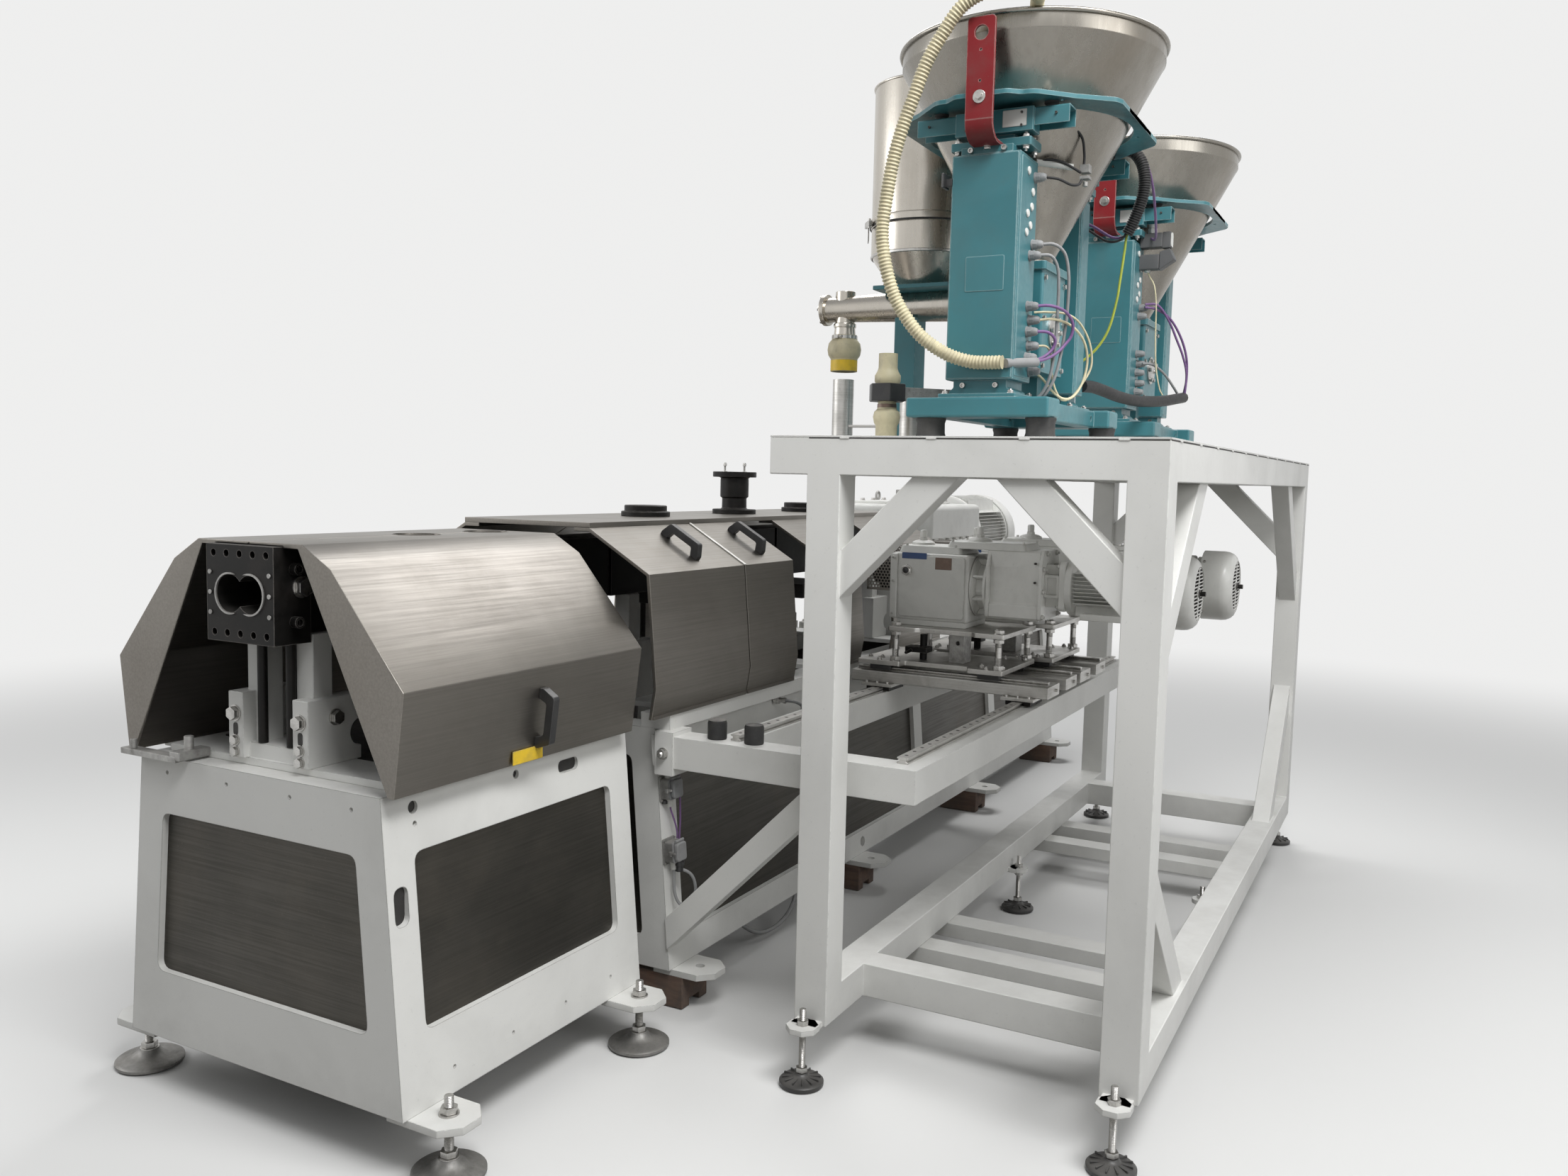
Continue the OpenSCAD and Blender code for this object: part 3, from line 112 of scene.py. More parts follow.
class Tree:
    """A short hand for wiring shader nodes."""

    def __init__(self, tree: bpy.types.NodeTree) -> None:
        """Keeps the tree that the nodes go into.

        Args:
            tree: A material's or a group's node tree.
        """
        self.tree = tree

    def add(self, kind: str, links: Optional[dict] = None, **values: object) -> bpy.types.Node:
        """Adds a node, sets its properties and links its inputs.

        Args:
            kind: The node's type name.
            links: Input name or number to an output socket or a constant.
            values: Properties of the node itself.

        Returns:
            The new node.
        """
        node = self.tree.nodes.new(kind)
        for name, value in values.items():
            setattr(node, name, value)
        for key, source in (links or {}).items():
            if isinstance(source, bpy.types.NodeSocket):
                self.tree.links.new(source, node.inputs[key])
            else:
                node.inputs[key].default_value = source
        return node

    def math(self, operation: str, a: object, b: object = 0.0, clamp: bool = False) -> bpy.types.NodeSocket:
        """Adds a Math node and returns its output.

        Args:
            operation: The node's operation.
            a: First input, a socket or a number.
            b: Second input, a socket or a number.
            clamp: Whether the result is kept from 0 to 1.

        Returns:
            The output socket.
        """
        return self.add("ShaderNodeMath", {0: a, 1: b}, operation=operation, use_clamp=clamp).outputs[0]

    def ramp(self, value: object, low: float, high: float, to_low: float = 0.0,
            to_high: float = 1.0) -> bpy.types.NodeSocket:
        """Maps a range of a value to another range, smoothly and clamped.

        Args:
            value: The socket that varies.
            low: Value that gives to_low.
            high: Value that gives to_high.
            to_low: Result at the low end.
            to_high: Result at the high end.

        Returns:
            The output socket.
        """
        node = self.add("ShaderNodeMapRange", {0: value, 1: low, 2: high, 3: to_low, 4: to_high},
            interpolation_type="SMOOTHSTEP")
        return node.outputs[0]

    def mix(self, factor: object, a: object, b: object) -> bpy.types.NodeSocket:
        """Mixes two colours.

        Args:
            factor: Share of the second colour.
            a: First colour.
            b: Second colour.

        Returns:
            The colour output.
        """
        node = self.add("ShaderNodeMix", data_type="RGBA")
        for key, source in ((0, factor), (6, a), (7, b)):
            if isinstance(source, bpy.types.NodeSocket):
                self.tree.links.new(source, node.inputs[key])
            elif key == 0:
                node.inputs[key].default_value = source
            else:
                node.inputs[key].default_value = (*source, 1.0) if len(source) == 3 else source
        return node.outputs[2]


class Effects:
    """Node groups that several finishes share: worn edges, grime, grain, dust."""

    def __init__(self) -> None:
        """Builds every group once."""
        self.edges = self._worn_edges()
        self.grime = self._grime()
        self.grain = self._grain()
        self.dust = self._dust()

    @staticmethod
    def _start(name: str, inputs: dict[str, float], outputs: Sequence[str]) -> tuple[Tree, bpy.types.Node,
            bpy.types.Node]:
        """Makes an empty group with float inputs and outputs.

        Args:
            name: The group's name.
            inputs: Input name to default value.
            outputs: Output names.

        Returns:
            The tree, its input node and its output node.
        """
        group = bpy.data.node_groups.new(name, "ShaderNodeTree")
        for label, value in inputs.items():
            socket = group.interface.new_socket(label, in_out="INPUT", socket_type="NodeSocketFloat")
            socket.default_value = value
        for label in outputs:
            group.interface.new_socket(label, in_out="OUTPUT", socket_type="NodeSocketFloat")
        tree = Tree(group)
        return tree, tree.add("NodeGroupInput"), tree.add("NodeGroupOutput")

    def _worn_edges(self) -> bpy.types.NodeTree:
        """Mask of edges where paint is rubbed off, broken up by noise.

        Returns:
            The group.
        """
        tree, given, out = self._start("worn edges", {"Radius": 0.004, "Scale": 60.0, "Amount": 0.5},
            ["Mask"])
        soft = tree.add("ShaderNodeBevel", {"Radius": given.outputs["Radius"]}, samples=4)
        hard = tree.add("ShaderNodeNewGeometry")
        turn = tree.add("ShaderNodeVectorMath", {0: soft.outputs[0], 1: hard.outputs["Normal"]},
            operation="DOT_PRODUCT")
        bend = tree.math("SUBTRACT", 1.0, turn.outputs["Value"])
        place = tree.add("ShaderNodeTexCoord")
        noise = tree.add("ShaderNodeTexNoise", {"Vector": place.outputs["Object"],
            "Scale": given.outputs["Scale"], "Detail": 5.0, "Roughness": 0.65})
        limit = tree.math("SUBTRACT", 1.02, given.outputs["Amount"])
        push = tree.math("ADD", tree.math("MULTIPLY", bend, 3.2), noise.outputs["Fac"])
        mask = tree.math("MULTIPLY", tree.math("SUBTRACT", push, limit), 6.0, clamp=True)
        gate = tree.ramp(bend, 0.015, 0.08)
        tree.tree.links.new(tree.math("MULTIPLY", mask, gate), out.inputs["Mask"])
        return tree.tree

    def _grime(self) -> bpy.types.NodeTree:
        """Large soft stains and fine specks.

        Returns:
            The group.
        """
        tree, given, out = self._start("grime", {"Scale": 3.0, "Amount": 0.5},
            ["Stain", "Specks", "Scratches"])
        place = tree.add("ShaderNodeTexCoord").outputs["Object"]
        large = tree.add("ShaderNodeTexNoise", {"Vector": place, "Scale": given.outputs["Scale"],
            "Detail": 8.0, "Roughness": 0.62, "Distortion": 0.4})
        stain = tree.math("MULTIPLY", tree.ramp(large.outputs["Fac"], 0.42, 0.72), given.outputs["Amount"])
        small = tree.add("ShaderNodeTexNoise", {"Vector": place, "Scale": 140.0, "Detail": 3.0})
        specks = tree.math("MULTIPLY", tree.ramp(small.outputs["Fac"], 0.66, 0.74), given.outputs["Amount"])
        squeeze = tree.add("ShaderNodeMapping", {"Vector": place, "Rotation": (0.35, 0.5, 0.2),
            "Scale": (2.0, 55.0, 90.0)})
        lines = tree.add("ShaderNodeTexNoise", {"Vector": squeeze.outputs[0], "Scale": 1.6, "Detail": 2.0})
        scratch = tree.math("MULTIPLY", tree.ramp(lines.outputs["Fac"], 0.7, 0.735), given.outputs["Amount"])
        for name, socket in (("Stain", stain), ("Specks", specks), ("Scratches", scratch)):
            tree.tree.links.new(socket, out.inputs[name])
        return tree.tree

    def _grain(self) -> bpy.types.NodeTree:
        """Brushed lines that run along one axis, and the cloudy look of rolled sheet.

        Returns:
            The group.
        """
        tree, given, out = self._start("grain", {"Along X": 3.0, "Along Y": 3.0, "Along Z": 300.0},
            ["Lines", "Cloud"])
        place = tree.add("ShaderNodeTexCoord").outputs["Object"]
        stretch = tree.add("ShaderNodeCombineXYZ", {0: given.outputs[0], 1: given.outputs[1],
            2: given.outputs[2]})
        scaled = tree.add("ShaderNodeVectorMath", {0: place, 1: stretch.outputs[0]}, operation="MULTIPLY")
        lines = tree.add("ShaderNodeTexNoise", {"Vector": scaled.outputs[0], "Scale": 1.0, "Detail": 6.0,
            "Roughness": 0.7})
        cloud = tree.add("ShaderNodeTexNoise", {"Vector": place, "Scale": 2.2, "Detail": 5.0,
            "Roughness": 0.55, "Distortion": 0.8})
        tree.tree.links.new(lines.outputs["Fac"], out.inputs["Lines"])
        tree.tree.links.new(cloud.outputs["Fac"], out.inputs["Cloud"])
        return tree.tree

    def _dust(self) -> bpy.types.NodeTree:
        """Mask of upward faces, where dust lies, and of the lowest parts, strongest near the floor.

        Returns:
            The group.
        """
        tree, given, out = self._start("dust", {"Amount": 0.4, "Reach": 0.35}, ["Top", "Low"])
        geometry = tree.add("ShaderNodeNewGeometry")
        up = tree.add("ShaderNodeSeparateXYZ", {0: geometry.outputs["Normal"]})
        place = tree.add("ShaderNodeTexCoord").outputs["Object"]
        noise = tree.add("ShaderNodeTexNoise", {"Vector": place, "Scale": 9.0, "Detail": 7.0,
            "Roughness": 0.6})
        top = tree.math("MULTIPLY", tree.ramp(up.outputs[2], 0.55, 0.95),
            tree.ramp(noise.outputs["Fac"], 0.3, 0.7))
        height = tree.add("ShaderNodeSeparateXYZ", {0: place})
        wavy = tree.math("ADD", height.outputs[2], tree.math("MULTIPLY", noise.outputs["Fac"], 0.25))
        low = tree.math("SUBTRACT", 1.0, tree.add("ShaderNodeMapRange",
            {0: wavy, 1: 0.1, 2: given.outputs["Reach"]}).outputs[0])
        tree.tree.links.new(tree.math("MULTIPLY", top, given.outputs["Amount"]), out.inputs["Top"])
        tree.tree.links.new(tree.math("MULTIPLY", tree.math("MAXIMUM", low, 0.0), given.outputs["Amount"]),
            out.inputs["Low"])
        return tree.tree


@dataclass(frozen=True)
class Finish:
    """One surface finish and the record's slot that it stands for."""

    name: str
    slot: str
    sheen: Sheen
    colour: Colour
    second: Colour
    roughness: float
    metallic: float = 0.0
    grime: float = 0.4
    grime_colour: Colour = (0.1, 0.095, 0.085)
    grime_scale: float = 3.0
    wear: float = 0.0
    wear_colour: Colour = (0.16, 0.15, 0.14)
    dust: float = 0.2
    dust_colour: Colour = (0.42, 0.4, 0.37)
    grain: Triple = (3.0, 3.0, 300.0)
    bump: float = 0.1
    coat: float = 0.0
    specular: float = 0.5

    def material(self, effects: Effects) -> bpy.types.Material:
        """Builds the node material.

        Args:
            effects: The shared node groups.

        Returns:
            The material.
        """
        made = bpy.data.materials.new(self.name)
        made.use_nodes = True
        made.node_tree.nodes.clear()
        tree = Tree(made.node_tree)
        out = tree.add("ShaderNodeOutputMaterial")
        shader = tree.add("ShaderNodeBsdfPrincipled")
        shader.inputs["Metallic"].default_value = self.metallic
        shader.inputs["Coat Weight"].default_value = self.coat
        shader.inputs["Specular IOR Level"].default_value = self.specular
        shader.inputs["Coat Roughness"].default_value = 0.15
        tree.tree.links.new(shader.outputs[0], out.inputs[0])
        grime = tree.add("ShaderNodeGroup", node_tree=effects.grime)
        grime.inputs["Scale"].default_value = self.grime_scale
        grime.inputs["Amount"].default_value = self.grime
        grain = tree.add("ShaderNodeGroup", node_tree=effects.grain)
        for key, value in enumerate(self.grain):
            grain.inputs[key].default_value = value
        dust = tree.add("ShaderNodeGroup", node_tree=effects.dust)
        dust.inputs["Amount"].default_value = self.dust
        base = self._base(tree, grain)
        colour = tree.mix(grime.outputs["Stain"], base, self.grime_colour)
        colour = tree.mix(grime.outputs["Specks"], colour, self.grime_colour)
        if self.wear:
            worn = tree.add("ShaderNodeGroup", node_tree=effects.edges)
            worn.inputs["Amount"].default_value = self.wear
            colour = tree.mix(worn.outputs["Mask"], colour, self.wear_colour)
        colour = tree.mix(dust.outputs["Top"], colour, self.dust_colour)
        colour = tree.mix(dust.outputs["Low"], colour, self.grime_colour)
        tree.tree.links.new(colour, shader.inputs["Base Color"])
        rough = tree.ramp(grain.outputs["Lines"], 0.25, 0.75, self.roughness - 0.06, self.roughness + 0.06)
        rough = tree.math("ADD", rough, tree.math("MULTIPLY", grime.outputs["Stain"], 0.25))
        rough = tree.math("ADD", rough, tree.math("MULTIPLY", dust.outputs["Top"], 0.4), clamp=True)
        tree.tree.links.new(rough, shader.inputs["Roughness"])
        height = tree.math("ADD", grain.outputs["Lines"], tree.math("MULTIPLY", grime.outputs["Scratches"],
            0.6))
        bump = tree.add("ShaderNodeBump", {"Height": height, "Strength": self.bump, "Distance": 0.0006})
        tree.tree.links.new(bump.outputs[0], shader.inputs["Normal"])
        return made

    def _base(self, tree: Tree, grain: bpy.types.Node) -> bpy.types.NodeSocket:
        """Mixes the finish's two colours in the way of its kind.

        Args:
            tree: The material's tree.
            grain: The grain group's node in it.

        Returns:
            The colour socket.
        """
        if self.sheen is Sheen.WOOD:
            share = tree.ramp(grain.outputs["Lines"], 0.35, 0.65)
        elif self.sheen is Sheen.METAL:
            lines = tree.ramp(grain.outputs["Lines"], 0.3, 0.7, 0.0, 0.55)
            share = tree.math("ADD", lines, tree.ramp(grain.outputs["Cloud"], 0.3, 0.7, 0.0, 0.45),
                clamp=True)
        else:
            share = tree.ramp(grain.outputs["Cloud"], 0.35, 0.7)
        return tree.mix(share, self.colour, self.second)


WHITE = Finish("scuffed white paint", "white_paint", Sheen.PAINT, (0.78, 0.78, 0.755), (0.745, 0.745, 0.72),
    0.42, grime=0.1, grime_scale=2.2, wear=0.3, wear_colour=(0.24, 0.23, 0.215), dust=0.22,
    grain=(40.0, 40.0, 40.0), bump=0.12)
HOOD = Finish("brushed stainless sheet", "brushed_steel", Sheen.METAL, (0.25, 0.235, 0.212),
    (0.185, 0.172, 0.155), 0.38, metallic=1.0, grime=0.16, grime_scale=4.0, grime_colour=(0.15, 0.13, 0.105),
    dust=0.1, grain=(2.5, 160.0, 160.0), bump=0.08)
PANEL = Finish("dull stainless panel", "dark_steel", Sheen.METAL, (0.088, 0.083, 0.074),
    (0.054, 0.051, 0.045), 0.44, metallic=1.0, grime=0.3, grime_scale=3.0, grime_colour=(0.13, 0.115, 0.095),
    dust=0.25, grain=(2.5, 2.5, 170.0), bump=0.08)
GREY_STEEL = Finish("dusty grey steel", "grey_steel", Sheen.METAL, (0.44, 0.435, 0.42), (0.29, 0.285, 0.275),
    0.5, metallic=0.75, grime=0.5, grime_scale=14.0, dust=0.5, grain=(60.0, 60.0, 60.0), bump=0.2)
BLACK_STEEL = Finish("blackened steel", "black_steel", Sheen.METAL, (0.0045, 0.0043, 0.004),
    (0.011, 0.0103, 0.0095), 0.46, metallic=0.15, specular=0.22, grime=0.2, grime_scale=9.0,
    grime_colour=(0.06, 0.05, 0.045), wear=0.13, wear_colour=(0.22, 0.205, 0.19), dust=0.12,
    grain=(30.0, 30.0, 30.0), bump=0.22)
BLACK_PLASTIC = Finish("black moulded plastic", "black_plastic", Sheen.PLASTIC, (0.022, 0.022, 0.023),
    (0.035, 0.035, 0.036), 0.38, grime=0.15, grime_scale=20.0, dust=0.22, grain=(220.0, 220.0, 220.0),
    bump=0.12)
RUBBER = Finish("black rubber", "black_rubber", Sheen.PLASTIC, (0.024, 0.024, 0.024), (0.045, 0.044, 0.043),
    0.68, grime=0.3, grime_scale=24.0, dust=0.45, grain=(180.0, 180.0, 180.0), bump=0.25)
TIMBER = Finish("old timber block", "timber", Sheen.WOOD, (0.13, 0.065, 0.045), (0.24, 0.14, 0.095), 0.8,
    grime=0.5, grime_scale=16.0, dust=0.6, grain=(40.0, 4.0, 40.0), bump=0.6)
ALUMINIUM = Finish("milled aluminium", "aluminium", Sheen.METAL, (0.62, 0.61, 0.585), (0.45, 0.44, 0.42),
    0.38, metallic=0.9, grime=0.35, grime_scale=9.0, grime_colour=(0.16, 0.15, 0.13), dust=0.25,
    grain=(8.0, 8.0, 260.0), bump=0.15)
MACHINE = Finish("off-white machine enamel", "machine_paint", Sheen.PAINT, (0.76, 0.76, 0.73),
    (0.68, 0.68, 0.65), 0.34, grime=0.13, grime_scale=7.0, wear=0.13, wear_colour=(0.34, 0.33, 0.31),
    dust=0.3, grain=(30.0, 30.0, 30.0), bump=0.16, coat=0.15)
TEAL = Finish("teal machine paint", "teal_paint", Sheen.PAINT, (0.043, 0.184, 0.212), (0.033, 0.148, 0.172),
    0.4, grime=0.16, grime_scale=5.0, wear=0.3, wear_colour=(0.3, 0.42, 0.43), dust=0.25,
    dust_colour=(0.22, 0.34, 0.35), grain=(50.0, 50.0, 50.0), bump=0.14, coat=0.1)
RED = Finish("red paint", "red_paint", Sheen.PAINT, (0.215, 0.0105, 0.015), (0.175, 0.009, 0.012), 0.44,
    specular=0.35, grime=0.2, grime_scale=12.0, wear=0.34, wear_colour=(0.45, 0.3, 0.28), dust=0.15,
    grain=(80.0, 80.0, 80.0), bump=0.14)
HOPPER = Finish("bright hopper sheet", "polished_steel", Sheen.METAL, (0.315, 0.298, 0.266),
    (0.245, 0.23, 0.203), 0.26, metallic=1.0, grime=0.26, grime_scale=3.2, grime_colour=(0.2, 0.155, 0.105),
    dust=0.05, grain=(26.0, 26.0, 2.0), bump=0.03)
DRUM = Finish("bright drum sheet", "polished_steel", Sheen.METAL, (0.6, 0.565, 0.51), (0.5, 0.47, 0.42), 0.26,
    metallic=1.0, grime=0.2, grime_scale=3.2, grime_colour=(0.24, 0.19, 0.13), dust=0.05,
    grain=(26.0, 26.0, 2.0), bump=0.03)
CREAM = Finish("cream hose plastic", "cream_plastic", Sheen.PLASTIC, (0.66, 0.6, 0.4), (0.55, 0.49, 0.33),
    0.5, grime=0.25, grime_scale=20.0, dust=0.2, grain=(90.0, 90.0, 90.0), bump=0.12)
BRIGHT = Finish("zinc plated fastener", "grey_steel", Sheen.METAL, (0.62, 0.61, 0.59), (0.46, 0.45, 0.43),
    0.3, metallic=1.0, grime=0.3, grime_scale=40.0, dust=0.2, grain=(90.0, 90.0, 90.0), bump=0.1)
CABLE_GREY = Finish("grey cable sheath", "black_plastic", Sheen.PLASTIC, (0.23, 0.235, 0.24), (0.3, 0.3, 0.3),
    0.55, grime=0.2, grime_scale=20.0, dust=0.2, grain=(90.0, 90.0, 90.0), bump=0.05)
CABLE_BLACK = Finish("black cable sheath", "black_plastic", Sheen.PLASTIC, (0.014, 0.014, 0.015),
    (0.026, 0.026, 0.027), 0.5, specular=0.3, grime=0.2, grime_scale=20.0, dust=0.06,
    grain=(90.0, 90.0, 90.0), bump=0.05)
HOUSING = Finish("grey moulded housing", "black_plastic", Sheen.PLASTIC, (0.085, 0.087, 0.09),
    (0.115, 0.116, 0.118), 0.5, specular=0.35, grime=0.2, grime_scale=20.0, dust=0.1,
    grain=(90.0, 90.0, 90.0), bump=0.08)
CABLE_PURPLE = Finish("violet cable sheath", "black_plastic", Sheen.PLASTIC, (0.2, 0.1, 0.26),
    (0.15, 0.08, 0.2), 0.5, grime=0.15, grime_scale=20.0, dust=0.15, grain=(90.0, 90.0, 90.0), bump=0.05)
EARTH = Finish("green and yellow earth lead", "cream_plastic", Sheen.PLASTIC, (0.42, 0.46, 0.06),
    (0.3, 0.38, 0.05), 0.5, grime=0.15, grime_scale=20.0, dust=0.15, grain=(90.0, 90.0, 90.0), bump=0.05)
YELLOW = Finish("yellow plate", "cream_plastic", Sheen.PAINT, (0.82, 0.56, 0.03), (0.74, 0.5, 0.03), 0.45,
    grime=0.25, grime_scale=30.0, wear=0.2, dust=0.15, grain=(70.0, 70.0, 70.0), bump=0.05)
GUARD_BLACK = Finish("dark guard paint", "black_steel", Sheen.PAINT, (0.03, 0.03, 0.031),
    (0.045, 0.044, 0.043), 0.42, grime=0.2, grime_scale=9.0, wear=0.3, wear_colour=(0.2, 0.19, 0.18),
    dust=0.35, grain=(70.0, 70.0, 70.0), bump=0.1)
BLUE_PLATE = Finish("blue blank plate", "machine_paint", Sheen.PAINT, (0.05, 0.1, 0.24), (0.04, 0.08, 0.2),
    0.4, grime=0.2, grime_scale=30.0, dust=0.1, grain=(70.0, 70.0, 70.0), bump=0.05)
BROWN_PLATE = Finish("brown blank plate", "machine_paint", Sheen.METAL, (0.2, 0.14, 0.11), (0.14, 0.1, 0.08),
    0.4, metallic=0.6, grime=0.3, grime_scale=30.0, dust=0.1, grain=(70.0, 70.0, 70.0), bump=0.05)
# Painted shade: a near-black finish for sheets, discs and rods set where only shade falls, in holes, slots,
# gaps and cowls.
PAINTED_SHADE = Finish("painted shade black", "black_steel", Sheen.PAINT, (0.018, 0.017, 0.016), (0.03, 0.028, 0.026), 0.7,
    grime=0.2, grime_scale=20.0, dust=0.1, grain=(60.0, 60.0, 60.0), bump=0.1)


# ---------------------------------------------------------------- the bench


class Bench:
    """The modelling bench: primitives are added, shaped, joined and dressed here."""

    def __init__(self, frame: dict) -> None:
        """Sets out the bench.
        """
        self.nodes: dict[str, Thing] = frame["nodes"]
        self.effects = Effects()
        self.dressed: dict[str, bpy.types.Material] = {}
        self.count = 0

    # ---- selection

    def clear(self) -> None:
        """Deselects everything."""
        for thing in bpy.context.selected_objects:
            thing.select_set(False)

    def pick(self, things: Sequence[Thing]) -> None:
        """Selects only these objects and makes the first active.

        Args:
            things: What is selected; the first becomes active.
        """
        self.clear()
        for thing in things:
            thing.select_set(True)
        bpy.context.view_layer.objects.active = things[0]

    # ---- primitives

    def block(self, low: Triple, high: Triple, bevel: float = 0.0, segments: int = 2) -> Thing:
        """A block between two corners with rounded edges.

        Args:
            low: Lowest corner.
            high: Highest corner.
            bevel: Radius of its edges.
            segments: Steps of the rounding.

        Returns:
            The block.
        """
        self.clear()
        a, b = Vector(low), Vector(high)
        bpy.ops.mesh.primitive_cube_add(size=1.0)
        made = bpy.context.object
        made.data.transform(Matrix.Translation((a + b) / 2) @ Matrix.Diagonal((*(b - a), 1.0)))
        return self.round(made, bevel, segments) if bevel else made

    def rod(self, start: Triple, end: Triple, radius: float, tip: Optional[float] = None, sides: int = 24,
            bevel: float = 0.0) -> Thing:
        """A round bar or a cone between two points.

        Args:
            start: Centre of the first end.
            end: Centre of the other end.
            radius: Radius at the first end.
            tip: Radius at the other end, or None for the same.
            sides: Number of sides.
            bevel: Radius of its end edges.

        Returns:
            The rod.
        """
        self.clear()
        a, b = Vector(start), Vector(end)
        along = b - a
        if tip is None:
            bpy.ops.mesh.primitive_cylinder_add(vertices=sides, radius=radius, depth=along.length)
        else:
            bpy.ops.mesh.primitive_cone_add(vertices=sides, radius1=radius, radius2=tip, depth=along.length)
        made = bpy.context.object
        turn = along.to_track_quat("Z", "Y").to_matrix().to_4x4()
        made.data.transform(Matrix.Translation((a + b) / 2) @ turn)
        return self.round(made, bevel) if bevel else made

    def slab(self, outline: Sequence[Pair], normal: str, start: float, end: float, bevel: float = 0.0,
            segments: int = 2) -> Thing:
        """A plate of any outline, drawn out along an axis.

        Args:
            outline: Its corners, as (y, z) for normal x, (x, z) for y and (x, y) for z.
            normal: The axis it is drawn out along.
            start: Where it starts on that axis.
            end: Where it ends.
            bevel: Radius of its edges.
            segments: Steps of the rounding.

        Returns:
            The plate.
        """
        self.clear()
        bpy.ops.mesh.primitive_circle_add(vertices=len(outline), fill_type="NGON")
        made = bpy.context.object
        for vertex, (u, v) in zip(made.data.vertices, outline):
            vertex.co = {"x": (start, u, v), "y": (u, start, v), "z": (u, v, start)}[normal]
        way = {"x": (end - start, 0, 0), "y": (0, end - start, 0), "z": (0, 0, end - start)}[normal]
        bpy.ops.object.mode_set(mode="EDIT")
        bpy.ops.mesh.select_all(action="SELECT")
        bpy.ops.mesh.extrude_region_move(TRANSFORM_OT_translate={"value": way})
        bpy.ops.mesh.select_all(action="SELECT")
        bpy.ops.mesh.normals_make_consistent(inside=False)
        bpy.ops.object.mode_set(mode="OBJECT")
        return self.round(made, bevel, segments) if bevel else made

    def lathe(self, profile: Sequence[Pair], centre: Triple, axis: str = "z", steps: int = 48) -> Thing:
        """A turned shape from (radius, height) points round an axis.

        Args:
            profile: The outline of its wall, which is an open line when it starts on the axis.
            centre: Where height 0 lies.
            axis: x, y, z, or the same with a minus for the other way.
            steps: Steps round the axis.

        Returns:
            The turned shape.
        """
        self.clear()
        bpy.ops.mesh.primitive_circle_add(vertices=len(profile), fill_type="NOTHING")
        made = bpy.context.object
        if profile[0][0] == 0:
            self._open(made, len(profile))
        for vertex, (r, h) in zip(made.data.vertices, profile):
            vertex.co = (r, 0.0, h)
        bpy.ops.object.mode_set(mode="EDIT")
        bpy.ops.mesh.select_all(action="SELECT")
        bpy.ops.mesh.spin(steps=steps, angle=TURN, center=(0, 0, 0), axis=(0, 0, 1))
        bpy.ops.mesh.select_all(action="SELECT")
        bpy.ops.mesh.remove_doubles(threshold=MERGE)
        bpy.ops.mesh.dissolve_degenerate(threshold=MERGE)
        bpy.ops.mesh.select_all(action="SELECT")
        bpy.ops.mesh.normals_make_consistent(inside=False)
        bpy.ops.object.mode_set(mode="OBJECT")
        turns = {"z": Matrix.Identity(4), "x": Matrix.Rotation(math.pi / 2, 4, "Y"),
            "y": Matrix.Rotation(-math.pi / 2, 4, "X"), "-x": Matrix.Rotation(-math.pi / 2, 4, "Y"),
            "-y": Matrix.Rotation(math.pi / 2, 4, "X")}
        made.data.transform(Matrix.Translation(centre) @ turns[axis])
        return made

    @staticmethod
    def _open(ring: Thing, count: int) -> None:
        """Takes the last edge out of a ring, so that it is an open line.

        Args:
            ring: A mesh of one ring of edges.
            count: Its number of points.
        """
        shape = bmesh.new()
        shape.from_mesh(ring.data)
        shape.verts.ensure_lookup_table()
        ends = {shape.verts[0], shape.verts[count - 1]}
        bmesh.ops.delete(shape, geom=[e for e in shape.edges if set(e.verts) == ends], context="EDGES_FACES")
        shape.to_mesh(ring.data)
        shape.free()

    def pipe(self, points: Sequence[Triple], radius: float, sides: int) -> Thing:
        """A round tube along a line of points, as a mesh.

        Args:
            points: The centre line.
            radius: The tube's radius.
            sides: The curve's bevel steps.

        Returns:
            The tube.
        """
        line = bpy.data.curves.new("line", "CURVE")
        line.dimensions = "3D"
        spline = line.splines.new("POLY")
        spline.points.add(len(points) - 1)
        for knot, place in zip(spline.points, points):
            knot.co = (*place, 1.0)
        line.bevel_depth = radius
        line.bevel_resolution = sides
        line.use_fill_caps = True
        made = bpy.data.objects.new("line", line)
        bpy.context.scene.collection.objects.link(made)
        self.pick([made])
        bpy.ops.object.convert(target="MESH")
        return bpy.context.object

    # ---- shaping

    def round(self, thing: Thing, width: float, segments: int = 2, angle: float = 35.0) -> Thing:
        """Rounds the sharp edges of a mesh.

        Args:
            thing: The mesh.
            width: Width of the rounding.
            segments: Its steps.
            angle: Edges sharper than this are rounded, in degrees.

        Returns:
            The same object.
        """
        self.pick([thing])
        tool = thing.modifiers.new("round", "BEVEL")
        tool.width = width
        tool.segments = segments
        tool.limit_method = "ANGLE"
        tool.angle_limit = math.radians(angle)
        bpy.ops.object.modifier_apply(modifier=tool.name)
        return thing

    def cut(self, thing: Thing, cutters: Sequence[Thing]) -> Thing:
        """Takes cutters away from a mesh.

        Args:
            thing: What is cut.
            cutters: Closed meshes, which are used up.

        Returns:
            The same object.
        """
        for cutter in cutters:
            self.pick([thing])
            tool = thing.modifiers.new("cut", "BOOLEAN")
            tool.operation = "DIFFERENCE"
            tool.solver = "EXACT"
            tool.object = cutter
            bpy.ops.object.modifier_apply(modifier=tool.name)
            bpy.data.objects.remove(cutter)
        return thing

    def join(self, things: Sequence[Thing]) -> Thing:
        """Joins meshes into the first of them.

        Args:
            things: Meshes; the first takes up the others.

        Returns:
            The first mesh with all of them in it.
        """
        if len(things) > 1:
            self.pick(things)
            bpy.ops.object.join()
        return things[0]

